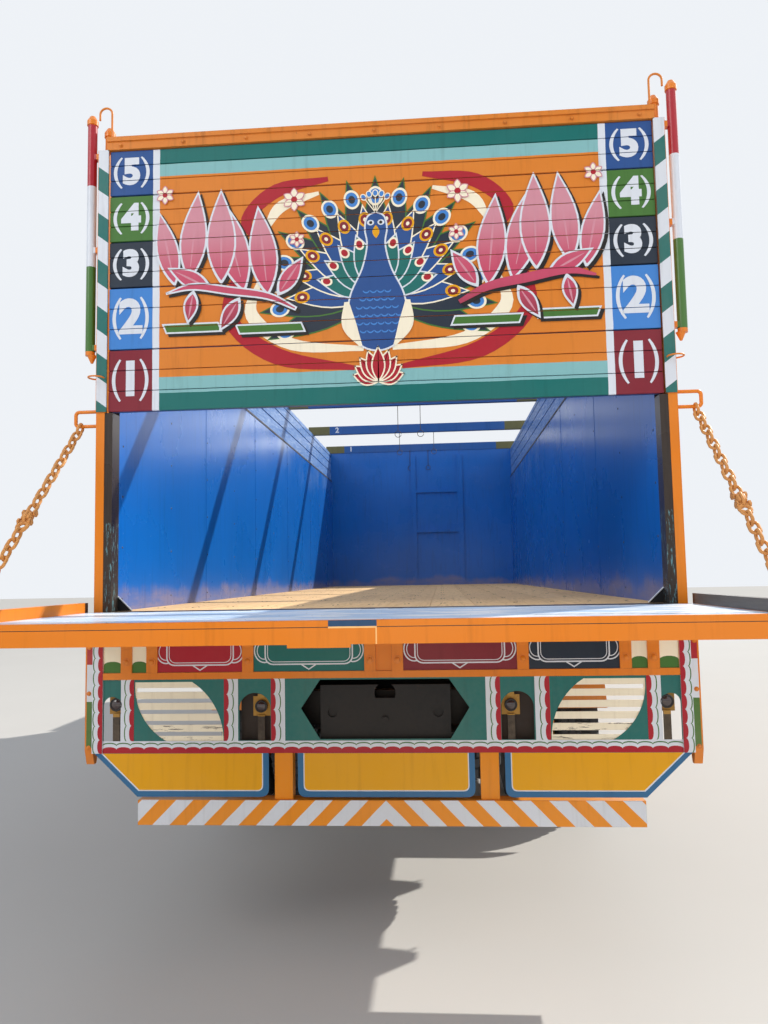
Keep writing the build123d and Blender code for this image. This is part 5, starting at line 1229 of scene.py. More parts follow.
FAN_ROOT = (0.0, 2.66)
FAN_ROWS = [
    # feathers, turn of the outer ones in degrees, length, width, paint, edge, eye's rings from outside in
    (17, 112, 0.505, 0.125, "navy", "green", (("cream", 0.034), ("sky", 0.026), ("navy", 0.014))),
    (12, 92, 0.385, 0.115, "blue", "cream", (("yellow", 0.026), ("maroon", 0.018), ("cream", 0.007))),
    (9, 76, 0.265, 0.105, "teal", "white", (("cream", 0.020), ("red", 0.013))),
]
BODY_OUTLINE = [
    (0.0, 2.405), (0.085, 2.44), (0.125, 2.54), (0.115, 2.65), (0.065, 2.76), (0.042, 2.86), (0.050, 2.93),
    (0.038, 2.985), (0.0, 3.003), (-0.038, 2.985), (-0.050, 2.93), (-0.042, 2.86), (-0.065, 2.76),
    (-0.115, 2.65), (-0.125, 2.54), (-0.085, 2.44),
]
RIBBONS = [
    # paint, then x, z and width at each knot
    ("red", [
        (0.10, 2.34, 0.02), (0.42, 2.40, 0.07), (0.62, 2.56, 0.06), (0.60, 2.74, 0.03), (0.50, 2.80, 0.01),
    ]),
    ("cream", [(0.06, 2.42, 0.02), (0.36, 2.45, 0.05), (0.53, 2.58, 0.055), (0.50, 2.72, 0.02)]),
    ("red", [(0.20, 3.16, 0.02), (0.42, 3.12, 0.06), (0.55, 3.00, 0.05), (0.50, 2.90, 0.02)]),
    ("cream", [(0.24, 3.10, 0.015), (0.40, 3.05, 0.05), (0.47, 2.95, 0.02)]),
]
LEAVES = [
    # root x and z, length, width, turn outward in degrees
    (0.46, 2.66, 0.40, 0.125, 6),
    (0.86, 2.72, 0.34, 0.100, 12),
    (0.80, 2.74, 0.40, 0.120, -6),
    (0.56, 2.68, 0.44, 0.135, 14),
    (0.66, 2.72, 0.42, 0.130, 0),
    (0.70, 2.70, 0.22, 0.080, 62),
    (0.42, 2.66, 0.20, 0.080, -34),
    (0.58, 2.66, 0.17, 0.070, 148),
    (0.78, 2.70, 0.15, 0.065, 170),
]
STEM = [
    # x, z and width
    (0.34, 2.60, 0.018), (0.46, 2.66, 0.034), (0.62, 2.69, 0.040), (0.78, 2.715, 0.034), (0.90, 2.69, 0.010),
]
BLOSSOMS = [(0.345, 3.075, 0.052), (0.905, 3.125, 0.042), (0.335, 2.90, 0.036)]
UNDERLINES = [(0.300, 0.585, 2.500), (0.655, 0.900, 2.515)]
UNDERLINE_HIGH = 0.044
UNDERLINE_LEAN = 0.018
SHADOW = (0.013, -0.013)
FRILL_ROOT = (0, 2.275)


def lined_petal(work, length, width, paint, coat, spot, turn, line="white", line_width=0.008):
    """Petal in one paint on a larger one that shows round it as its outline."""
    work.lay(petal(length, width), line, coat, spot, turn)
    inner = petal(length - 4.5 * line_width, width - 2 * line_width)
    bmesh.ops.translate(inner, vec=(0, 2.25 * line_width, 0), verts=inner.verts)
    work.lay(inner, paint, coat + 0.2, spot, turn)


def feather_fan(work):
    """Three rows of feathers with eyes, one row over the other."""
    coat = 3
    for count, reach, length, width, paint, edge, eye in FAN_ROWS:
        order = sorted(range(count), key=lambda i: -abs(i - (count - 1) / 2))
        for place in order:
            turn = math.radians(reach * (2 * place / (count - 1) - 1))
            lined_petal(work, length, width, paint, coat, FAN_ROOT, turn, edge, 0.006)
            distance = length * 0.82
            spot = (FAN_ROOT[0] - distance * math.sin(turn), FAN_ROOT[1] + distance * math.cos(turn))
            for ring, (ring_paint, radius) in enumerate(eye, start=1):
                work.lay(disc(radius, radius * 1.25), ring_paint, coat + 0.2 + 0.1 * ring, spot, turn)
            coat += 0.37
    return coat


def bird(work, coat):
    """Blue bird seen from the front with crest, breast scales and legs."""
    for side in (-1, 1):
        leg = stroke([(side * 0.035, 2.43, 0.016), (side * 0.045, 2.36, 0.012), (side * 0.060, 2.325, 0.008)])
        work.lay(leg, "yellow", coat)
        for toe in (-50, -10, 30):
            work.lay(petal(0.05, 0.014), "yellow", coat, (side * 0.058, 2.33), math.radians(180 + side * toe))
    work.lay(blob(BODY_OUTLINE), "blue", coat + 1, edge=("white", 0.007))
    for row in range(6):
        for place in range(-3, 4):
            x = 0.030 * (place + 0.5 * (row % 2))
            z = 2.50 + 0.034 * row
            if abs(x) < 0.098 - 0.012 * abs(row - 2):
                scale = sweep_band(0.014, 0.006, math.radians(200), math.radians(340), 0.5, 8)
                work.lay(scale, "sky", coat + 2, (x, z))
    for turn in (-36, -18, 0, 18, 36):
        lean = math.radians(turn)
        tip = (-0.085 * math.sin(lean), 3.0 + 0.085 * math.cos(lean))
        work.lay(stroke([(0, 3.0, 0.004), (*tip, 0.004)], 2), "cream", coat + 2)
        work.lay(disc(0.013, 0.016, 14), "sky", coat + 3, tip, lean, edge=("cream", 0.004))
    for side in (-1, 1):
        work.lay(disc(0.015, 0.012, 16), "white", coat + 3, (side * 0.022, 2.957))
        work.lay(disc(0.007, sides=12), "black", coat + 4, (side * 0.021, 2.957))
        wing = stroke([(side * 0.128, 2.62, 0.02), (side * 0.118, 2.52, 0.06), (side * 0.07, 2.43, 0.012)])
        work.lay(wing, "cream", coat + 3, edge=("maroon", 0.006))
    work.lay(petal(0.058, 0.030, 1.0, 1.0), "yellow", coat + 4, (0, 2.946), math.pi)
    return coat + 5


def blossom(work, spot, radius, coat):
    """Six cream petals round a red eye."""
    for i in range(6):
        leaf = petal(radius, radius * 0.62, 1.1, 0.8, 14)
        work.lay(leaf, "cream", coat + 0.07 * i, spot, i * math.tau / 6, edge=("pink", 0.004))
    work.lay(disc(radius * 0.26, sides=14), "red", coat + 1, spot)


def rose_leaves(work, side, base):
    """Green bars, stem, leaves and blossoms of one half."""
    flip = side < 0
    for start, end, foot in UNDERLINES:
        top = foot + UNDERLINE_HIGH
        shape = [(start, foot), (end, foot), (end + UNDERLINE_LEAN, top), (start + UNDERLINE_LEAN, top)]
        work.lay(polygon(shape), "black", base + 0.1, SHADOW, flip=flip)
        work.lay(polygon(shape), "green", base + 0.6, flip=flip, edge=("white", 0.007))
    work.lay(stroke(STEM), "black", base + 1.1, SHADOW, flip=flip)
    for i, (x, z, length, width, lean) in enumerate(LEAVES):
        turn = side * math.radians(-lean)
        spot = (side * x, z)
        shade = (spot[0] + SHADOW[0], spot[1] + SHADOW[1])
        work.lay(petal(length, width), "black", base + 1.2 + i * 0.1, shade, turn)
        lined_petal(work, length, width, "rose", base + 3 + i * 0.5, spot, turn)
        vein = stroke([(0, length * 0.16, 0.003), (0, length * 0.5, 0.009), (0, length * 0.80, 0.002)])
        work.lay(vein, "pink", base + 3.4 + i * 0.5, spot, turn)
    coat = base + 3.5 + len(LEAVES) * 0.5
    work.lay(stroke(STEM), "rose", coat, flip=flip, edge=("white", 0.007))
    for x, z, radius in BLOSSOMS:
        blossom(work, (side * x, z), radius, coat)


def frill(work, coat):
    """Nine red feathers at the bird's feet, the middle one on top."""
    for i in range(-4, 5):
        feather = petal(0.155 - 0.010 * abs(i), 0.060, 0.9)
        lift = coat - 0.3 * abs(i) - 0.13 * (i < 0)
        work.lay(feather, "red", lift, FRILL_ROOT, math.radians(18 * i), edge=("cream", 0.006))


class TRUCK_OT_board_art(bpy.types.Operator):
    """Paint the bird, ribbons and rose leaves across the upper boards"""
    bl_idname = "truck.board_art"
    bl_label = "Board Art"

    def execute(self, context):
        names = ["rose", "white", "black", "red", "cream", "green", "navy", "blue", "sky", "teal", "yellow"]
        work = SignWork([*names, "maroon", "pink"], sizes().coat)
        for side in (-1, 1):
            for paint, knots in RIBBONS:
                work.lay(stroke(knots), paint, 2 if paint == "cream" else 1, flip=side < 0)
        feather_top = feather_fan(work)
        for side in (-1, 1):
            rose_leaves(work, side, feather_top)
        frill(work, bird(work, feather_top))
        work.part_at(plank_joints(), sizes().plank_gap)
        work.dry("board_art", "chassis", facing("rear", y=BOARD_FACE))
        return {"FINISHED"}


FLAT_DEEP = 0.0065
CORNER_FLAT = (1.156, 1.1995)
FLAT_HEIGHTS = (0.778, 1.272)
TAIL_BANDS = [
    # inner and outer x, then whether the red lobes root on the inner edge
    (1.026, 1.081, True),
    (0.594, 0.652, False),
    (0.402, 0.459, False),
]
FOOT_BAND_HIGH = 0.048


def scallop_band(work, side, inner, outer, root_inner, foot, top, coat):
    """Upright white band with red lobes along one edge and a green line following them."""
    pitch = sizes().scallop
    flip = side < 0
    work.lay(plate((inner, outer), (foot, top)), "white", coat, flip=flip)
    if root_inner:
        start, turn, way = (inner, top), -math.pi / 2, 1
    else:
        start, turn, way = (outer, foot), math.pi / 2, -1
    height = top - foot
    root = (side * start[0], start[1])
    work.lay(scallops(height, 0.010, 0.010, pitch), "red", coat + 1, root, side * turn, flip)
    line = (side * (start[0] + way * 0.029), start[1])
    work.lay(lobe_line(height, 0.008, pitch, 0.0042), "green", coat + 1, line, side * turn, flip)


class TRUCK_OT_tail_paint(bpy.types.Operator):
    """Paint the scalloped white bands round the tail panel's windows and corners"""
    bl_idname = "truck.tail_paint"
    bl_label = "Tail Panel Bands"

    def execute(self, context):
        names = ["white", "red", "green"]
        pitch = sizes().scallop
        work = SignWork(names, sizes().coat)
        flats = SignWork(names, sizes().coat)
        bars = bmesh.new()
        band_foot = PANEL_LOW + FOOT_BAND_HIGH
        for side in (-1, 1):
            for inner, outer, root_inner in TAIL_BANDS:
                scallop_band(work, side, inner, outer, root_inner, band_foot, PANEL_HIGH, 1)
            scallop_band(flats, side, *CORNER_FLAT, True, *FLAT_HEIGHTS, 1)
            across = sorted(side * edge for edge in CORNER_FLAT)
            pour(bars, bar(across, (REAR - FLAT_DEEP, REAR), FLAT_HEIGHTS))
        half = CORNER_FLAT[0]
        work.lay(plate((-half, half), (PANEL_LOW, band_foot)), "white", 1)
        work.lay(scallops(2 * half, 0.015, 0.010, pitch), "red", 2, (-half, PANEL_LOW))
        work.lay(lobe_line(2 * half, 0.009, pitch, 0.0045), "green", 2, (-half, PANEL_LOW + 0.029))
        work.dry("tail_bands", "chassis", facing("rear", y=REAR))
        flats.dry("corner_bands", "chassis", facing("rear", y=REAR - FLAT_DEEP))
        finish_mesh("corner_flats", bars, "chassis", [paint_material("white")])
        return {"FINISHED"}


SILL_HEIGHTS = (1.101, 1.268)
SILL_PANELS = [
    # first and last x, paint
    (-0.927, -0.575, "red"),
    (-0.529, -0.078, "teal"),
    (0.078, 0.529, "maroon"),
    (0.575, 0.927, "navy"),
]
END_PANELS = [(0.973, 1.034), (1.080, 1.154)]


def cartouche(work, x, z, half, ground):
    """Blank framed label with a lobe at each end and a point below."""
    for side in (-1, 1):
        work.lay(disc(0.044, 0.050), ground, 2, (x + side * half, z), edge=("white", 0.005))
        work.lay(disc(0.030, 0.036), ground, 3, (x + side * (half + 0.002), z), edge=("white", 0.0035))
    point = [(-0.052, -0.045), (0, -0.079), (0.052, -0.045)]
    work.lay(polygon(point), ground, 2, (x, z), edge=("white", 0.005))
    frame_size = ((-half, half), (-0.058, 0.058))
    work.lay(plate(*frame_size, 0.034), ground, 4, (x, z), edge=("white", 0.0055))
    inner_size = ((-half + 0.011, half - 0.011), (-0.047, 0.047))
    work.lay(plate(*inner_size, 0.028), ground, 5, (x, z), edge=("white", 0.003))


class TRUCK_OT_sill_paint(bpy.types.Operator):
    """Paint blank framed labels and striped end panels between the hinge straps"""
    bl_idname = "truck.sill_paint"
    bl_label = "Sill Panels"

    def execute(self, context):
        work = SignWork(["red", "teal", "maroon", "navy", "white", "cream", "green"], sizes().coat)
        middle = (SILL_HEIGHTS[0] + SILL_HEIGHTS[1]) / 2
        for start, end, ground in SILL_PANELS:
            work.lay(plate((start, end), SILL_HEIGHTS), ground, 1)
            cartouche(work, (start + end) / 2, middle, (end - start) * 0.40, ground)
        for side in (-1, 1):
            for start, end in END_PANELS:
                wide = end - start
                work.lay(plate((start, end), SILL_HEIGHTS), "cream", 1, flip=side < 0)
                left = start if side > 0 else -end
                foot, top = SILL_HEIGHTS
                work.lay(scallops(wide, 0.032, 0.014, wide), "green", 2, (left, foot))
                work.lay(scallops(wide, 0.012, 0.014, wide), "red", 2, (left + wide, top), math.pi)
        work.dry("sill_labels", "chassis", facing("rear", y=REAR))
        return {"FINISHED"}


LOWER_SHEETS = [
    # paint, coat, half width of the middle sheet, a side sheet's x inside, at its foot and at its tip,
    # foot and top, corner radius
    ("border", 0, 0.352, (0.470, 1.010, 1.192), (0.606, 0.778), 0.034),
    ("white", 1, 0.329, (0.493, 1.005, 1.162), (0.629, 0.777), 0.024),
    ("yellow", 2, 0.325, (0.497, 1.001, 1.155), (0.633, 0.777), 0.021),
]


class TRUCK_OT_lower_paint(bpy.types.Operator):
    """Build the three blank yellow boards with their blue edge"""
    bl_idname = "truck.lower_paint"
    bl_label = "Lower Boards"

    def execute(self, context):
        thickness = high("lower_boards").y - REAR
        sheets = bmesh.new()
        work = SignWork(["border", "white", "yellow"], sizes().coat)
        for paint, coat, half, (inner, outer, tip), (foot, top), radius in LOWER_SHEETS:
            middle = [(-half, foot), (half, foot), (half, top), (-half, top)]
            shapes = [rounded(middle, (radius, radius, 0, 0))]
            for side in (1, -1):
                corners = [(inner, foot), (outer, foot), (tip, top), (inner, top)]
                shapes.append(rounded([(side * x, z) for x, z in corners], (radius, 0, 0, 0)))
            for shape in shapes:
                if coat:
                    work.lay(shape, paint, coat)
                else:
                    pour(sheets, slab(shape, thickness), facing("rear", y=REAR))
        boards = finish_mesh("lower_sheets", sheets, "chassis", [paint_material("border")])
        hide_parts("lower_boards")
        work.dry("lower_fields", "chassis", facing("rear", y=REAR))
        return {"FINISHED"}


STRAP_XS = (0.055, 0.552, 0.950, 1.057)
STRAP_FACE = REAR - 0.008
STRAP_BOLT_Z = 1.144
STRIP_BOLT_X = 1.216
STRIP_BOLT_ZS = (0.800, 1.018, 1.205)
RAIL_BOLT_STEP = 0.285
RAIL_END = 0.05
DOME_BOLT = [(0, 0), (1.55, 0), (1.55, 0.22), (1, 0.26), (0.94, 0.62), (0.62, 0.9), (0, 1)]


def dome_bolt(radius, height):
    """Round washer and domed head standing on the origin along +Z."""
    return lathe([(radius * across, height * up) for across, up in DOME_BOLT], 16)


def hex_bolt(radius, height):
    """Washer, hexagon head and thread end standing on the origin along +Z."""
    bolt = rod(radius * 1.5, height * 0.22, 18)
    pour(bolt, rod(radius, height, 6, radius * 0.12))
    return bolt


class TRUCK_OT_rear_hardware(bpy.types.Operator):
    """Bolt the hinge straps, the rails and the striped flats of the rear end"""
    bl_idname = "truck.rear_hardware"
    bl_label = "Rear Hardware"

    def execute(self, context):
        radius = sizes().bolt
        bm = bmesh.new()
        for side in (-1, 1):
            for x in STRAP_XS:
                pour(bm, dome_bolt(radius * 1.1, 0.011), facing("rear", side * x, STRAP_FACE, STRAP_BOLT_Z))
            for z in STRIP_BOLT_ZS:
                pour(bm, dome_bolt(radius * 0.6, 0.006), facing("rear", side * STRIP_BOLT_X, REAR, z))
        finish_mesh("rear_bolts", bm, "chassis", [body_orange()], 0.6)
        bm = bmesh.new()
        count = int(2 * BOARD_HALF / RAIL_BOLT_STEP)
        rail = low("top_rail")
        for i in range(count + 1):
            x = -BOARD_HALF + RAIL_END + i * 2 * (BOARD_HALF - RAIL_END) / count
            pour(bm, hex_bolt(radius * 0.6, 0.008), facing("rear", x, rail.y + 0.006, rail.z + 0.018))
        finish_mesh("rail_bolts", bm, "chassis", [rail_paint()], 0.6)
        return {"FINISHED"}


LENSES = [(1.102, 0.972, 0.027), (0.500, 0.962, 0.025)]
LENS_RIM = [(0.72, 0), (1, 0), (1, 0.005), (0.9, 0.008), (0.72, 0.006), (0.72, 0)]
LENS_DOME = [(0, 0), (0.74, 0), (0.70, 0.005), (0.45, 0.0085), (0, 0.010)]
LAMP_FRONT = REAR + 0.006
# Plates behind the inner lamp windows, painted near black: painted shade behind the windows
LAMP_SHADE_PLATE = ((0.452, 0.596), (0.060, 0.064), (0.800, 1.040))


class TRUCK_OT_tail_lenses(bpy.types.Operator):
    """Fit black rims, dark red lenses and dark backing plates to the tail lamps, the lenses and plates
    painted near black as painted shade
    """
    bl_idname = "truck.tail_lenses"
    bl_label = "Tail Lenses"

    def execute(self, context):
        rims, lenses, shade_plates = bmesh.new(), bmesh.new(), bmesh.new()
        for side in (-1, 1):
            for x, z, radius in LENSES:
                place = facing("rear", side * x, LAMP_FRONT, z)
                for bm, outline in ((rims, LENS_RIM), (lenses, LENS_DOME)):
                    pour(bm, lathe([(radius * across, up) for across, up in outline], 36), place)
            # Dark plate behind each inner window, its near-black a painted shade
            across, depth, heights = LAMP_SHADE_PLATE
            ends = sorted(side * x for x in across)
            pour(shade_plates, bar(ends, [REAR + y for y in depth], heights, 0.001))
        finish_mesh("lamp_rims", rims, "chassis", [rubber()], 0.6)
        # The lenses' dark red is real; their near-black depth is painted shade
        glass = plain_finish("smoked lens", (0.018, 0.004, 0.004), 0.08, grit=0.02, coat=1.0, depth=0.0001)
        finish_mesh("lamp_lenses", lenses, "chassis", [glass], 0.6)
        dark = plain_finish("lamp backing", (0.030, 0.020, 0.016), 0.7)
        finish_mesh("lamp_backs", shade_plates, "chassis", [dark])
        return {"FINISHED"}


LINING_X = 1.129
NAIL_ROWS = (1.40, 1.62, 1.84, 2.06, 2.28, 2.50, 2.655)
SEAM_STEP = 1.22
SHEET_HIGH = 2.685
WALL_REAR = -3.93
WALL_FRONT = 2.671
GUSSET = 0.062
NAIL_HALF_STEP = 0.61
SEAM_HALF = 0.018
SEAM_THICK = 0.0015
HOOK_WIRE = 0.0028
BAR_HOOKS = [
    # crossbar y, x, drop to the ring, ring radius
    (-0.020, -0.131, 0.240, 0.029),
    (-0.020, 0.077, 0.240, 0.029),
    (1.385, -0.190, 0.190, 0.028),
    (1.385, 0.188, 0.190, 0.028),
    (2.680, -0.127, 0.190, 0.028),
    (2.680, 0.102, 0.190, 0.028),
]
CROSSBAR_LOW = 3.050


def lining_fixings(nails, seams):
    """Rows of nail heads on both linings, and a strip over each seam."""
    lengths = int((WALL_FRONT - WALL_REAR) / SEAM_STEP) + 1
    for side, outward in ((-1, "right"), (1, "left")):
        x = side * LINING_X
        for i in range(lengths):
            y = WALL_REAR + 0.04 + i * SEAM_STEP
            if i:
                across = sorted((x, x - side * SEAM_THICK))
                pour(seams, bar(across, (y - SEAM_HALF, y + SEAM_HALF), (FLOOR_TOP + 0.002, SHEET_HIGH)))
            for z in NAIL_ROWS:
                for shift in (0, NAIL_HALF_STEP):
                    if y + shift < WALL_FRONT:
                        face = x - side * (SEAM_THICK if i and not shift else 0)
                        pour(nails, rod(0.0055, 0.0022, 8, tip=0.003), facing(outward, face, y + shift, z))


class TRUCK_OT_load_space(bpy.types.Operator):
    """Nail and seam the blue lining, and hang wire hooks from the crossbars"""
    bl_idname = "truck.load_space"
    bl_label = "Load Space Fittings"

    def execute(self, context):
        nails, seams, ledges, plates, edges, wires = (bmesh.new() for _ in range(6))
        lining_fixings(nails, seams)
        for side in (-1, 1):
            across = sorted((side * (LINING_X - 0.003), side * (LINING_X + 0.0005)))
            heights = (SHEET_HIGH - 0.008, SHEET_HIGH + 0.008)
            pour(ledges, bar(across, (WALL_REAR, WALL_FRONT), heights, 0.001))
            corner = side * (LINING_X - 0.0005)
            inner = corner - side * GUSSET
            shape = [(corner, FLOOR_TOP), (inner, FLOOR_TOP), (corner, FLOOR_TOP + GUSSET)]
            pour(plates, slab(polygon(shape), 0.003), facing("rear", y=WALL_REAR - 0.002))
            slant = [(x, WALL_REAR - 0.003, FLOOR_TOP + up) for x, up in ((inner, 0.002), (corner, GUSSET))]
            pour(edges, tube(slant, 0.003, 6))
        for y, x, drop, radius in BAR_HOOKS:
            foot = CROSSBAR_LOW - drop
            pour(wires, tube([(x, y, CROSSBAR_LOW + 0.010), (x, y, foot)], HOOK_WIRE, 8))
            ring = tube(arc((0, 0), radius, 0, 345, 20), HOOK_WIRE, 8)
            pour(wires, ring, facing("rear", x, y, foot - radius))
        dark = plain_finish("dark nails", (0.02, 0.02, 0.03), 0.6)
        wire = plain_finish("hook wire", (0.06, 0.045, 0.035), 0.6, metal=0.5)
        finish_mesh("lining_ledges", ledges, "chassis", [dark])
        finish_mesh("lining_seams", seams, "chassis", [lining_paint()])
        finish_mesh("lining_nails", nails, "chassis", [dark], 0.6)
        finish_mesh("corner_gussets", plates, "chassis", [black_steel()])
        finish_mesh("gusset_edges", edges, "chassis", [paint_material("white")])
        finish_mesh("bar_hooks", wires, "chassis", [wire], 0.8)
        return {"FINISHED"}


TREAD_R = 0.5145
TREAD_ROOT = 0.502
TYRE_SECTION = [
    # radius and half width from bead to tread edge
    (0.259, 0.090), (0.270, 0.103), (0.298, 0.113), (0.300, 0.116), (0.306, 0.116), (0.308, 0.114),
    (0.350, 0.126), (0.395, 0.133), (0.420, 0.1342), (0.422, 0.1350), (0.428, 0.1350), (0.430, 0.1338),
    (0.455, 0.1290), (0.478, 0.1215), (0.494, 0.1120), (TREAD_ROOT, 0.098),
]
TREAD_ROWS = [
    # middle across, half width, share of a pitch it leads, length along
    (0.0, 0.0145, 0.0, 0.045),
    (0.041, 0.0190, 0.25, 0.046),
    (-0.041, 0.0190, 0.75, 0.046),
    (0.0865, 0.0200, 0.5, 0.042),
    (-0.0865, 0.0200, 0.5, 0.042),
]
SHOULDER_LUG = ((0.474, 0.5065), (0.097, 0.1195))
LUG_LENGTH = 0.034
BLOCK_SINK = 0.008
BLOCK_EASE = 0.0022
FRONT_WHEEL = (0.975, 3.495)
REAR_WHEELS = ((0.745, -1.705), (1.055, -1.705))
AXLE_HIGH = 0.515
SPARE_PLACE = (0.0, -3.105, 0.647)
SPARE_FORMS = [
    # paint, then radius and height round the outline: disc, rim and hub
    (1, [(0.0, -0.060), (0.246, -0.060), (0.246, -0.048), (0.0, -0.048)]),
    (1, [(0.246, -0.100), (0.262, -0.100), (0.262, 0.100), (0.246, 0.100), (0.246, -0.100)]),
    (2, [(0.120, -0.062), (0.150, -0.062), (0.150, 0.135), (0.120, 0.135), (0.120, -0.062)]),
]


def tread_block(bm, radii, across, length, turn):
    """One rubber block, turned round the axle."""
    block = bar(radii, (-length / 2, length / 2), across, BLOCK_EASE, 1)
    pour(bm, block, Matrix.Rotation(turn, 4, "Z"))


def tyre_mesh():
    """Tyre about Z with ribbed walls and a tread of rows of blocks."""
    outer = [(r, x) for r, x in TYRE_SECTION] + [(r, -x) for r, x in reversed(TYRE_SECTION)]
    bm = lathe([*outer, outer[0]], 56)
    blocks = sizes().tread_blocks
    radii, edges = SHOULDER_LUG
    for i in range(blocks):
        for middle, half, lead, length in TREAD_ROWS:
            across = (middle - half, middle + half)
            turn = (i + lead) * math.tau / blocks
            tread_block(bm, (TREAD_ROOT - BLOCK_SINK, TREAD_R), across, length, turn)
        for side in (-1, 1):
            across = sorted(side * edge for edge in edges)
            tread_block(bm, radii, across, LUG_LENGTH, (i + 0.5) * math.tau / blocks)
    mesh = bpy.data.meshes.new("tyre")
    bm.to_mesh(mesh)
    bm.free()
    return mesh


class TRUCK_OT_tyres(bpy.types.Operator):
    """Mould tread, shoulder lugs and wall ribs for the seven tyres"""
    bl_idname = "truck.tyres"
    bl_label = "Tyres"

    def execute(self, context):
        mould = tyre_mesh()
        lying = Matrix.Rotation(math.pi / 2, 4, "Y")
        for side, name in SIDES:
            for node, wheels in (("front_tyre", (FRONT_WHEEL,)), ("rear_tyres", REAR_WHEELS)):
                bm = bmesh.new()
                for x, y in wheels:
                    part = bmesh.new()
                    part.from_mesh(mould)
                    pour(bm, part, Matrix.Translation((side * x, y, AXLE_HIGH)) @ lying)
                wheel = f"{node.split('_')[0]}_wheel_{name}"
                tyre = finish_mesh(f"{node}_tread_{name}", bm, wheel, [rubber()], 0.5)
                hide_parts(f"{node}_{name}")
        bm = bmesh.new()
        bm.from_mesh(mould)
        for paint, section in SPARE_FORMS:
            pour(bm, lathe(section, 48), paint=paint)
        bmesh.ops.translate(bm, vec=SPARE_PLACE, verts=bm.verts)
        finishes = [rubber(), rim_paint(), iron()]
        spare = finish_mesh("spare_tyre_and_disc", bm, "chassis", finishes, 0.5)
        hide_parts("spare_wheel")
        bpy.data.meshes.remove(mould)
        return {"FINISHED"}


NUT_COUNT = 10
NUT_CIRCLE = 0.120
NUT_R, NUT_HIGH = 0.0165, 0.020
STUD_R, STUD_HIGH = 0.009, 0.028
NUT_FACES = [
    # axle, outer face of the disc, y
    ("front", 1.130, 3.495),
    ("rear", 0.912, -1.705),
]


class TRUCK_OT_wheel_nuts(bpy.types.Operator):
    """Fit studs and nuts to the wheels"""
    bl_idname = "truck.wheel_nuts"
    bl_label = "Wheel Nuts"

    def execute(self, context):
        for side, name in SIDES:
            for axle, face, y in NUT_FACES:
                bm = bmesh.new()
                for i in range(NUT_COUNT):
                    turn = math.tau * i / NUT_COUNT
                    along, up = NUT_CIRCLE * math.cos(turn), NUT_CIRCLE * math.sin(turn)
                    place = facing(name, side * face, y + along, AXLE_HIGH + up)
                    pour(bm, hex_bolt(NUT_R, NUT_HIGH), place)
                    pour(bm, rod(STUD_R, STUD_HIGH, 12, 0.001), place)
                finish_mesh(f"{axle}_nuts_{name}", bm, f"{axle}_wheel_{name}", [iron()], 0.6)
        return {"FINISHED"}


WIRE_R = 0.006
LINK_HALF = 0.016
CHAIN_MIDDLE_X = 1.272
STAPLE_SPOT = (-3.983, 2.134)
STUB_SPOT = (-4.795, 1.332)
HOOK_EYE_HIGH = 0.078
HOOK_EYE_R = 0.0135
HOOK_EYE_WIRE = 0.0055
HOOK_R = 0.0145
HOOK_SHANK = [(HOOK_R, 0.030, 0), (0.006, 0.056, 0), (0, 0.064, 0)]
LINKS = 22
KNOT = 9
KNOT_BOLTS = (-0.024, 0.024)
KNOT_BOLT = (0.0075, 0.052, 14)
KNOT_NUT = (0.0145, 0.008, 6)
KNOT_NUT_FEET = (-0.025, 0.017)
KNOT_CLAMP = ((-0.016, 0.016), (-0.018, 0.018), (-0.015, 0.015))
KNOT_RING = ((0, -0.048), 0.0185, 0.0072, 28)


def oval_link(length):
    """Round-wire link about the origin, long along Y, its wire's centre line as long as given."""
    half = length / 2 - LINK_HALF
    path = arc((0, half), LINK_HALF, 0, 180, 8) + arc((0, -half), LINK_HALF, 180, 360, 8)
    return tube(path, WIRE_R, 10, closed=True)


def chain_run():
    """Chain standing along Y from the open hook at the origin to the staple."""
    reach = math.hypot(STAPLE_SPOT[0] - STUB_SPOT[0], STAPLE_SPOT[1] - STUB_SPOT[1])
    quarter = Matrix.Rotation(math.radians(90), 4, "Y")
    bm = tube(arc((0, 0), HOOK_R, 232, 360, 12) + HOOK_SHANK, WIRE_R, 12)
    pour(bm, wire_ring((0, HOOK_EYE_HIGH), HOOK_EYE_R, HOOK_EYE_WIRE, 16))
    first = HOOK_EYE_HIGH + HOOK_EYE_R
    pitch = (reach + 0.002 - first) / LINKS
    for i in range(LINKS):
        place = Matrix.Translation((0, first + (i + 0.5) * pitch, 0))
        pour(bm, oval_link(pitch + WIRE_R * 1.7), place @ quarter if i % 2 == 0 else place)
    knot = Matrix.Translation((0, first + (KNOT + 0.5) * pitch, 0))
    for along in KNOT_BOLTS:
        seat = knot @ Matrix.Translation((0, along, 0))
        pour(bm, rod(*KNOT_BOLT), seat @ Matrix.Translation((0, 0, -KNOT_BOLT[1] / 2)))
        for foot in KNOT_NUT_FEET:
            pour(bm, rod(*KNOT_NUT), seat @ Matrix.Translation((0, 0, foot)))
    pour(bm, bar(*KNOT_CLAMP, 0.003), knot)
    pour(bm, wire_ring(*KNOT_RING), knot @ quarter)
    return bm


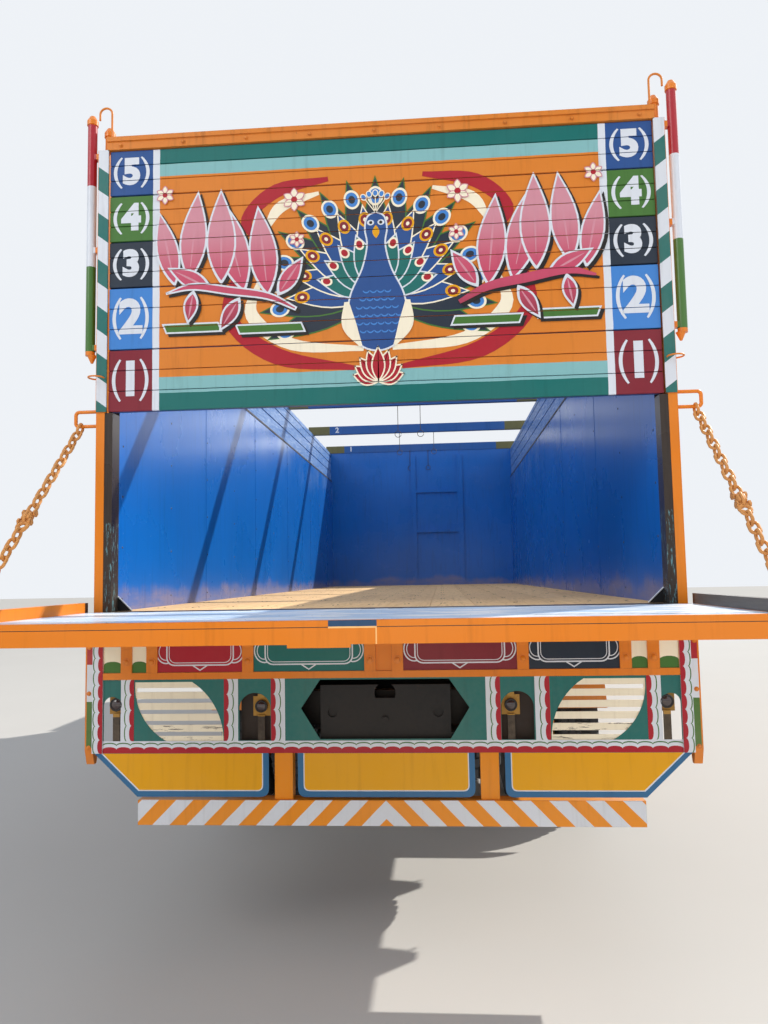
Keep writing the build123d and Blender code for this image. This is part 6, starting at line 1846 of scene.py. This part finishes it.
class TRUCK_OT_chains(bpy.types.Operator):
    """Forge the two gate chains from round-wire links with a hook and a bolted joint"""
    bl_idname = "truck.chains"
    bl_label = "Gate Chains"

    def execute(self, context):
        along = Vector((0, STAPLE_SPOT[0] - STUB_SPOT[0], STAPLE_SPOT[1] - STUB_SPOT[1])).normalized()
        out = Vector((1, 0, 0))
        turn = Matrix((along.cross(out), along, out)).transposed().to_4x4()
        steel = chain_paint()
        for side, name in SIDES:
            bm = chain_run()
            bm.transform(Matrix.Translation((CHAIN_MIDDLE_X, *STUB_SPOT)) @ turn)
            if side < 0:
                bmesh.ops.scale(bm, vec=(-1, 1, 1), verts=bm.verts)
                bmesh.ops.reverse_faces(bm, faces=bm.faces)
            chain = finish_mesh(f"wire_chain_{name}", bm, f"hung_chain_{name}", [steel], 1.0)
            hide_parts(f"chain_{name}")
        rings = bmesh.new()
        for side in (-1, 1):
            place = Matrix.Translation((side * 1.196, REAR - 0.012, 2.335))
            pour(rings, wire_ring((0, 0), 0.032, 0.0035, 24, 8), place)
        finish_mesh("flat_rings", rings, "chassis", [body_orange()], 0.8)
        return {"FINISHED"}


BAY_PITCH = 0.6944
FIRST_STAKE = -3.630
STAKE_YS = [FIRST_STAKE + BAY_PITCH * i for i in range(10)]
BAY_TIERS = (1.716, 2.3475)
BAY_FACE = 1.180
BAY_CORNER = (0.215 * 1.08, 0.185 * 1.15)
ROPE_HOOK = [(-0.02, 1.268), (0, 1.262), (0.012, 1.225), (0, 1.196), (0.004, 1.180)]
ROPE_HOOK_X = 1.204
ROPE_HOOK_SHIFT = 0.055
SIGN_SET = ["teal", "yellow", "navy", "white", "green", "cream", "red", "maroon", "pale_teal", "pink"]


def leaf_spray(work, spot, heading, spread, length, width, coat):
    """Three green leaves from one root, the outer two turned by the spread, in degrees."""
    for lean in (-spread, 0, spread):
        leaf = petal(length, width, sides=14)
        turn = math.radians(heading + lean)
        work.lay(leaf, "green", coat + lean / 200, spot, turn, edge=("cream", 0.003))


def bay_motif(work):
    """Framed flower with leaves in its corners, about the origin."""
    work.lay(plate((-0.292, 0.292), (-0.262, 0.262)), "teal", 1, edge=("yellow", 0.012))
    work.lay(plate((-0.262, 0.262), (-0.232, 0.232), 0.05), "navy", 2, edge=("white", 0.008))
    for corner in (45, 135, 225, 315):
        way = math.radians(corner)
        spot = (BAY_CORNER[0] * math.cos(way), BAY_CORNER[1] * math.sin(way))
        leaf_spray(work, spot, corner + 90, 38, 0.085, 0.036, 3.2)
    for i in range(8):
        lined_petal(work, 0.150, 0.074, "red", 4 + 0.5 * i, (0, 0), math.tau * i / 8, "cream", 0.005)
    for i in range(8):
        work.lay(petal(0.078, 0.036, sides=12), "yellow", 8.6, (0, 0), math.tau * (i + 0.5) / 8)
    work.lay(disc(0.030, sides=20), "white", 9)
    work.lay(disc(0.020, sides=18), "maroon", 9.4)


class TRUCK_OT_side_art(bpy.types.Operator):
    """Paint framed flowers in the bays of both sides and fit the rope hooks"""
    bl_idname = "truck.side_art"
    bl_label = "Side Panels"

    def execute(self, context):
        for side, name in SIDES:
            work = SignWork(SIGN_SET[:8], sizes().coat)
            bay_motif(work)
            middles = [y + BAY_PITCH / 2 for y in STAKE_YS[:-1]]
            work.repeat([Matrix.Translation((side * y, z, 0)) for y in middles for z in BAY_TIERS])
            work.dry(f"side_panels_{name}", "chassis", facing(name, x=side * BAY_FACE))
        hooks = bmesh.new()
        for side in (-1, 1):
            for y in STAKE_YS:
                path = [(side * (ROPE_HOOK_X + out), y + ROPE_HOOK_SHIFT, z) for out, z in ROPE_HOOK]
                pour(hooks, tube(path, 0.006, 8))
        finish_mesh("rope_hooks", hooks, "chassis", [body_orange()], 0.8)
        return {"FINISHED"}


PANES = [
    # name, body, facing, plane, across, up
    ("door_glass_left", "cab_door_left", "left", -1.130, (3.835, 4.485), (1.800, 2.510)),
    ("door_glass_right", "cab_door_right", "right", 1.130, (3.835, 4.485), (1.800, 2.510)),
    ("quarter_glass_left", "chassis", "left", -1.130, (3.035, 3.595), (1.850, 2.350)),
    ("quarter_glass_right", "chassis", "right", 1.130, (3.035, 3.595), (1.850, 2.350)),
    ("back_glass_left", "chassis", "rear", 2.897, (-0.760, -0.180), (1.900, 2.300)),
    ("back_glass_right", "chassis", "rear", 2.897, (0.180, 0.760), (1.900, 2.300)),
]
SCREEN_SEALS = [(-0.950, -0.030), (0.030, 0.950)]
SEAL_R = 0.010


def seal_ring(across, up, radius=0.05):
    """Rubber section round an opening, about its own plane."""
    corners = [(across[0], up[0]), (across[1], up[0]), (across[1], up[1]), (across[0], up[1])]
    shape = rounded(corners, [radius] * 4)
    points = [tuple(vert.co) for vert in shape.faces[:][0].verts]
    shape.free()
    return tube(points, SEAL_R, 8, closed=True)


class TRUCK_OT_cab_glass(bpy.types.Operator):
    """Glaze the doors, quarter windows and back windows, and seal every opening"""
    bl_idname = "truck.cab_glass"
    bl_label = "Cab Glass"

    def execute(self, context):
        glass, trim = screen_glass(), black_trim()
        for name, body, side, plane, across, up in PANES:
            place = facing(side, y=plane) if side == "rear" else facing(side, x=plane)
            if side == "left":
                across = (-across[1], -across[0])
            pane = bmesh.new()
            pour(pane, slab(plate(across, up), 0.005), place)
            finish_mesh(name, pane, body, [glass])
            seal = bmesh.new()
            pour(seal, seal_ring(across, up), place @ Matrix.Translation((0, 0, 0.012)))
            finish_mesh(name.replace("glass", "seal"), seal, body, [trim], 1.0)
        seals = bmesh.new()
        for across in SCREEN_SEALS:
            pour(seals, seal_ring(across, (1.800, 2.470)), facing("front", y=4.768))
        finish_mesh("screen_seals", seals, "chassis", [trim], 1.0)
        return {"FINISHED"}


WIPER_PIVOTS = (-0.20, 0.62)
WIPER_ARM = [(0, 4.786, 1.778), (0.01, 4.783, 1.82), (0.10, 4.768, 2.06)]
WIPER_BLADE = [(-0.05, 4.762, 1.86), (0.22, 4.762, 2.28)]
MIRROR_PLACE = (1.240, 4.6022, 2.150)
MIRROR_SIZE = ((-0.041, 0.041), (-0.161, 0.161))
LAMP_X = 0.760
LAMP_Z = 0.960
TURN_LAMP_Z = 1.150
LAMP_OUTLINES = {
    # radius and height above the lamp's face
    "lens": [(0, 0.014), (0.030, 0.0132), (0.060, 0.0095), (0.086, 0.002), (0.086, -0.001), (0, -0.001)],
    "bezel": [
        (0.084, -0.010), (0.104, -0.010), (0.102, 0.006), (0.092, 0.012), (0.084, 0.006), (0.084, -0.010),
    ],
    "turn_bezel": [
        (0.038, -0.002), (0.048, -0.002), (0.047, 0.006), (0.040, 0.008), (0.038, 0.004), (0.038, -0.002),
    ],
    "turn_lens": [(0, 0.022), (0.020, 0.020), (0.034, 0.012), (0.040, 0.0), (0, 0.0)],
}
BUMPER_BOLT_XS = (0.30, 0.44)
BUMPER_BOLT_ZS = (0.630, 0.730)
BUMPER_FACE = 4.836


class TRUCK_OT_cab_trim(bpy.types.Operator):
    """Fit wipers, lamp lenses, turn lamps, mirror glass and bumper bolts"""
    bl_idname = "truck.cab_trim"
    bl_label = "Cab Trim"

    def execute(self, context):
        wipers, lenses, bezels, turn_lamps, faces, bolts = (bmesh.new() for _ in range(6))
        for x in WIPER_PIVOTS:
            pour(wipers, rod(0.014, 0.016, 16, 0.002), facing("front", x, 4.772, 1.778))
            for line, radius in ((WIPER_ARM, 0.0045), (WIPER_BLADE, 0.0055)):
                pour(wipers, tube([(x + along, y, z) for along, y, z in line], radius, 8))
        for side in (-1, 1):
            for bm, outline, steps, y, z in (
                (lenses, "lens", 40, 4.787, LAMP_Z),
                (bezels, "bezel", 40, 4.787, LAMP_Z),
                (bezels, "turn_bezel", 28, 4.776, TURN_LAMP_Z),
                (turn_lamps, "turn_lens", 28, 4.775, TURN_LAMP_Z),
            ):
                pour(bm, lathe(LAMP_OUTLINES[outline], steps), facing("front", side * LAMP_X, y, z))
            x, y, z = MIRROR_PLACE
            pour(faces, slab(plate(*MIRROR_SIZE, 0.012), 0.001), facing("rear", side * x, y, z))
            for x in BUMPER_BOLT_XS:
                for z in BUMPER_BOLT_ZS:
                    pour(bolts, dome_bolt(0.014, 0.008), facing("front", side * x, BUMPER_FACE, z))
        glass = clear_glass("lamp glass", (0.92, 0.94, 0.93))
        amber = plain_finish("amber lens", (0.75, 0.20, 0.01), 0.12, grit=0.02, coat=1.0, depth=0.0001)
        mirror = plain_finish("mirror", (0.78, 0.80, 0.82), 0.05, metal=1.0, grit=0.02, depth=0.0001)
        finish_mesh("wipers", wipers, "chassis", [black_trim()], 0.7)
        finish_mesh("headlamp_lenses", lenses, "chassis", [glass], 0.6)
        finish_mesh("headlamp_bezels", bezels, "chassis", [bright()], 0.6)
        finish_mesh("turn_lamps", turn_lamps, "chassis", [amber], 0.6)
        finish_mesh("mirror_faces", faces, "chassis", [mirror])
        finish_mesh("bumper_bolts", bolts, "chassis", [bright()], 0.6)
        return {"FINISHED"}


STAKE_FACE = 1.222
RAIL_HEIGHTS = (1.392, 2.035, 2.660, 2.760, 2.865, 2.963, 3.031)
CROSSBAR_REARS = (-2.845, -1.445, -0.045, 1.355, 2.687)
PANEL_SPOTS = [
    # body suffix, middle y, half length
    ("door", 4.150, 0.300),
    ("cab", 3.330, 0.290),
]


def small_flower(work, spot, radius, coat, petals=8):
    """Two rings of petals round a button."""
    for i in range(petals):
        turn = math.tau * i / petals
        lined_petal(work, radius, radius * 0.5, "red", coat + 0.25 * i, spot, turn, "cream", radius * 0.04)
    coat += 0.25 * petals + 0.3
    for i in range(petals):
        leaf = petal(radius * 0.52, radius * 0.25, sides=12)
        work.lay(leaf, "yellow", coat, spot, math.tau * (i + 0.5) / petals)
    work.lay(disc(radius * 0.20, sides=18), "white", coat + 0.4, spot)


def flower_panel(work, spot, half, coat=1):
    """Framed panel with a flower between two sprays of leaves."""
    x, z = spot
    frame_plate = plate((x - half[0], x + half[0]), (z - half[1], z + half[1]), 0.03)
    work.lay(frame_plate, "navy", coat, edge=("white", 0.010))
    for side in (-1, 1):
        root = (x + side * half[1] * 0.75, z)
        leaf_spray(work, root, -side * 90, 32, half[0] * 0.42, half[1] * 0.36, coat + 1)
    small_flower(work, spot, half[1] * 0.78, coat + 2)


def crown_fan(work):
    """Scalloped foot, leaves, flowers and a fan of petals on the crown board."""
    for side in (-1, 1):
        band = scallops(1.140, 0.022, 0.018, 0.057)
        work.lay(band, "yellow", 1, (side * 1.145, 2.718), flip=side > 0)
        for i in range(4):
            lean = math.radians(-side * (90 - 9 * i))
            spot = (side * 0.16, 2.790 + 0.018 * i)
            lined_petal(work, 0.300 - 0.03 * i, 0.075, "green", 2 + i, spot, lean, "cream", 0.005)
        small_flower(work, (side * 0.690, 2.870), 0.085, 8)
    for i in range(9):
        paint = "red" if i % 2 else "yellow"
        coat = 8 + 0.5 * min(i, 8 - i) + 0.13 * (i > 4)
        lined_petal(work, 0.270, 0.085, paint, coat, (0, 2.775), math.radians(-80 + 20 * i), "cream", 0.005)
    work.lay(disc(0.070, sides=28), "navy", 13, (0, 2.785), edge=("white", 0.008))


class TRUCK_OT_cab_art(bpy.types.Operator):
    """Paint flower panels on the doors, cab sides and front, and a fan of petals on the crown board"""
    bl_idname = "truck.cab_art"
    bl_label = "Cab Panels"

    def execute(self, context):
        coat = sizes().coat
        for side, name in SIDES:
            for part, y, half in PANEL_SPOTS:
                work = SignWork(SIGN_SET, coat)
                flower_panel(work, (side * y, 1.335), (half, 0.115))
                body = f"cab_door_{name}" if part == "door" else "chassis"
                work.dry(f"{part}_panel_{name}", body, facing(name, x=side * 1.150))
        work = SignWork(SIGN_SET, coat)
        for side in (-1, 1):
            flower_panel(work, (side * 0.765, 1.355), (0.190, 0.100))
        work.lay(plate((-0.430, 0.430), (1.375, 1.470), 0.03), "maroon", 1, edge=("white", 0.009))
        work.dry("front_panels", "chassis", facing("front", y=4.775))
        work = SignWork(SIGN_SET, coat)
        crown_fan(work)
        work.dry("crown_art", "chassis", facing("front", y=4.800))
        return {"FINISHED"}


class TRUCK_OT_body_details(bpy.types.Operator):
    """Bolt the stakes to their rails, number the crossbars and nail the floor"""
    bl_idname = "truck.body_details"
    bl_label = "Body Details"

    def execute(self, context):
        bolts, nails = bmesh.new(), bmesh.new()
        for side, name in SIDES:
            for y in STAKE_YS:
                for z in RAIL_HEIGHTS:
                    for shift in (-0.014, 0.014):
                        place = facing(name, side * STAKE_FACE, y + shift, z + shift * 0.6)
                        pour(bolts, dome_bolt(0.0075, 0.0045), place)
        finish_mesh("stake_bolts", bolts, "chassis", [body_orange()], 0.6)
        for number, y in enumerate(reversed(CROSSBAR_REARS), start=1):
            work = SignWork(["white"], sizes().coat)
            work.lay(written(str(number), 0.080, 0.003), "white", 1, (-0.880, 3.095))
            work.dry(f"crossbar_number_{number}", "chassis", facing("rear", y=y))
        for y in STAKE_YS:
            for k in range(14):
                x = -1.05 + 2.1 * k / 13
                for shift in (-0.02, 0.02):
                    if y + shift < WALL_FRONT:
                        place = facing("top", x + shift * 0.4, y + shift, FLOOR_TOP)
                        pour(nails, rod(0.0045, 0.0012, 8), place)
        finish_mesh("floor_nails", nails, "chassis", [iron()])
        return {"FINISHED"}


GATE_PANEL_XS = (0.199, 0.597, 1.006)
GATE_PANEL_HALF = (0.150, 0.300)
GATE_PANEL_Y = -4.4625
GATE_SHEET_UNDER = 1.345


class TRUCK_OT_gate_art(bpy.types.Operator):
    """Paint a flower panel in each bay of the gate's outer face"""
    bl_idname = "truck.gate_art"
    bl_label = "Gate Panels"

    def execute(self, context):
        work = SignWork(SIGN_SET, sizes().coat)
        wide, tall = GATE_PANEL_HALF
        for side in (-1, 1):
            for x in GATE_PANEL_XS:
                x *= side
                work.lay(plate((x - wide, x + wide), (-tall, tall), 0.03), "navy", edge=("white", 0.010))
                for end, heading in ((-1, 180), (1, 0)):
                    leaf_spray(work, (x, end * 0.125), heading, 34, 0.13, 0.05, 2)
                small_flower(work, (x, 0), 0.120, 3)
        place = Matrix.Translation((0, GATE_PANEL_Y, GATE_SHEET_UNDER))
        work.dry("gate_panels", "gate", place @ Matrix.Rotation(math.pi, 4, "X"))
        return {"FINISHED"}


# Studio

CAMERA_PLACE = (0.2402, -7.1616, 1.4803)
CAMERA_YAW = -0.0721
CAMERA_PITCH = 0.0809
CAMERA_ROLL = -0.0186
CAMERA_FOCUS_PX = 780.34
PHOTO_HEIGHT_PX = 1024


def photo_camera():
    data = bpy.data.cameras.new("photo_camera")
    data.lens = data.sensor_width * CAMERA_FOCUS_PX / PHOTO_HEIGHT_PX
    data.clip_end = 200
    camera = bpy.data.objects.new("photo_camera", data)
    ahead = Vector((
        math.sin(CAMERA_YAW) * math.cos(CAMERA_PITCH),
        math.cos(CAMERA_YAW) * math.cos(CAMERA_PITCH),
        math.sin(CAMERA_PITCH),
    ))
    right = Vector((math.cos(CAMERA_YAW), -math.sin(CAMERA_YAW), 0))
    up = right.cross(ahead)
    across = right * math.cos(CAMERA_ROLL) + up * math.sin(CAMERA_ROLL)
    top = up * math.cos(CAMERA_ROLL) - right * math.sin(CAMERA_ROLL)
    turn = Matrix((across, top, -ahead)).transposed()
    camera.matrix_world = Matrix.Translation(CAMERA_PLACE) @ turn.to_4x4()
    bpy.context.scene.collection.objects.link(camera)
    bpy.context.scene.camera = camera


DAYLIGHT = (1.0, 1.0, 1.0)
GROUND_LIGHT = (1.0, 0.84, 0.62)
LIGHTS = [
    # name, place, aimed at, size, watts, colour, seen in reflections
    ("key", (-7.5, -11.0, 9.0), (0.0, -3.5, 1.6), 6.0, 480, DAYLIGHT, True),
    ("fill", (9.0, -8.0, 6.0), (0.0, -2.0, 1.5), 7.0, 330, DAYLIGHT, False),
    ("low", (0.0, -11.0, 0.7), (0.0, -3.9, 0.9), 3.0, 165, GROUND_LIGHT, False),
    ("top", (0.0, -1.5, 11.0), (0.0, -1.0, 0.0), 9.0, 260, DAYLIGHT, False),
    ("front", (4.0, 13.0, 7.0), (0.0, 3.0, 1.5), 7.0, 260, DAYLIGHT, True),
]
SUN_WAY = (-0.936, -0.885, -1.0)
SUN_STRENGTH = 4.4
SUN_SPREAD = 0.012
SUN_COLOUR = (1.0, 0.94, 0.84)
SHADE, SKY = (0.36, 0.40, 0.46, 1), (0.86, 0.89, 0.93, 1)
FLOOR_GREYS = (0.47, 0.465, 0.455, 1), (0.50, 0.495, 0.485, 1)


def studio_lights():
    for name, place, aim, size, watts, colour, reflected in LIGHTS:
        data = bpy.data.lights.new(name, "AREA")
        data.shape = "SQUARE"
        data.size = size
        data.energy = watts
        data.color = colour
        lamp = bpy.data.objects.new(name, data)
        turn = (Vector(aim) - Vector(place)).to_track_quat("-Z", "Y")
        lamp.matrix_world = Matrix.Translation(place) @ turn.to_matrix().to_4x4()
        lamp.visible_glossy = reflected
        bpy.context.scene.collection.objects.link(lamp)
    data = bpy.data.lights.new("sun", "SUN")
    data.energy = SUN_STRENGTH
    data.angle = SUN_SPREAD
    data.color = SUN_COLOUR
    sun = bpy.data.objects.new("sun", data)
    sun.matrix_world = Vector(SUN_WAY).to_track_quat("-Z", "Y").to_matrix().to_4x4()
    bpy.context.scene.collection.objects.link(sun)


def shown_behind(tree):
    """One for rays from the camera, off gloss or through glass. They see the surroundings as they are."""
    path = add(tree, "ShaderNodeLightPath").outputs
    seen = maths(tree, "MAXIMUM", path["Is Camera Ray"], path["Is Transmission Ray"])
    return maths(tree, "MAXIMUM", seen, path["Is Glossy Ray"])


class TRUCK_OT_studio(bpy.types.Operator):
    """Set up the pale floor, soft lights and the photograph's camera"""
    bl_idname = "truck.studio"
    bl_label = "Studio"

    def execute(self, context):
        scene = context.scene
        scene.view_settings.view_transform = "Standard"
        world = bpy.data.worlds.new("studio")
        scene.world = world
        world.use_nodes = True
        tree = world.node_tree
        fill(tree, tree.nodes["Background"].inputs, {"Color": mixed(tree, shown_behind(tree), SHADE, SKY)})
        bm = bmesh.new()
        bmesh.ops.create_grid(bm, x_segments=1, y_segments=1, size=60)
        mesh = bpy.data.meshes.new("floor")
        bm.to_mesh(mesh)
        bm.free()
        material, tree, shader = new_material("studio floor")
        ground = mixed(tree, noise(tree, object_place(tree), 0.8, 3), *FLOOR_GREYS)
        fill(tree, shader, {"Base Color": ground, "Roughness": 0.9})
        mesh.materials.append(material)
        floor = bpy.data.objects.new("studio_floor", mesh)
        floor.location.z = -0.001
        scene.collection.objects.link(floor)
        studio_lights()
        photo_camera()
        return {"FINISHED"}


class TRUCK_PT_panel(bpy.types.Panel):
    """Lists the steps that dress the truck"""
    bl_idname = "TRUCK_PT_panel"
    bl_label = "Decorated Cargo Truck"
    bl_space_type = "VIEW_3D"
    bl_region_type = "UI"
    bl_category = "Truck"

    def draw(self, context):
        for step in STEPS:
            self.layout.operator(step.bl_idname)


STEPS = (
    TRUCK_OT_studio,
    TRUCK_OT_finishes,
    TRUCK_OT_boards,
    TRUCK_OT_board_numbers,
    TRUCK_OT_board_art,
    TRUCK_OT_tail_paint,
    TRUCK_OT_sill_paint,
    TRUCK_OT_lower_paint,
    TRUCK_OT_rear_hardware,
    TRUCK_OT_tail_lenses,
    TRUCK_OT_load_space,
    TRUCK_OT_tyres,
    TRUCK_OT_wheel_nuts,
    TRUCK_OT_chains,
    TRUCK_OT_side_art,
    TRUCK_OT_cab_glass,
    TRUCK_OT_cab_trim,
    TRUCK_OT_cab_art,
    TRUCK_OT_body_details,
    TRUCK_OT_gate_art,
)
CLASSES = (TruckPaints, TruckSizes, *STEPS, TRUCK_PT_panel)


def register():
    for cls in CLASSES:
        bpy.utils.register_class(cls)
    bpy.types.Scene.truck_paints = PointerProperty(type=TruckPaints)
    bpy.types.Scene.truck_sizes = PointerProperty(type=TruckSizes)


def unregister():
    del bpy.types.Scene.truck_sizes
    del bpy.types.Scene.truck_paints
    for cls in reversed(CLASSES):
        bpy.utils.unregister_class(cls)


def main():
    register()
    for step in STEPS:
        group, name = step.bl_idname.split(".")
        getattr(getattr(bpy.ops, group), name)()


if __name__ == "__main__":
    main()
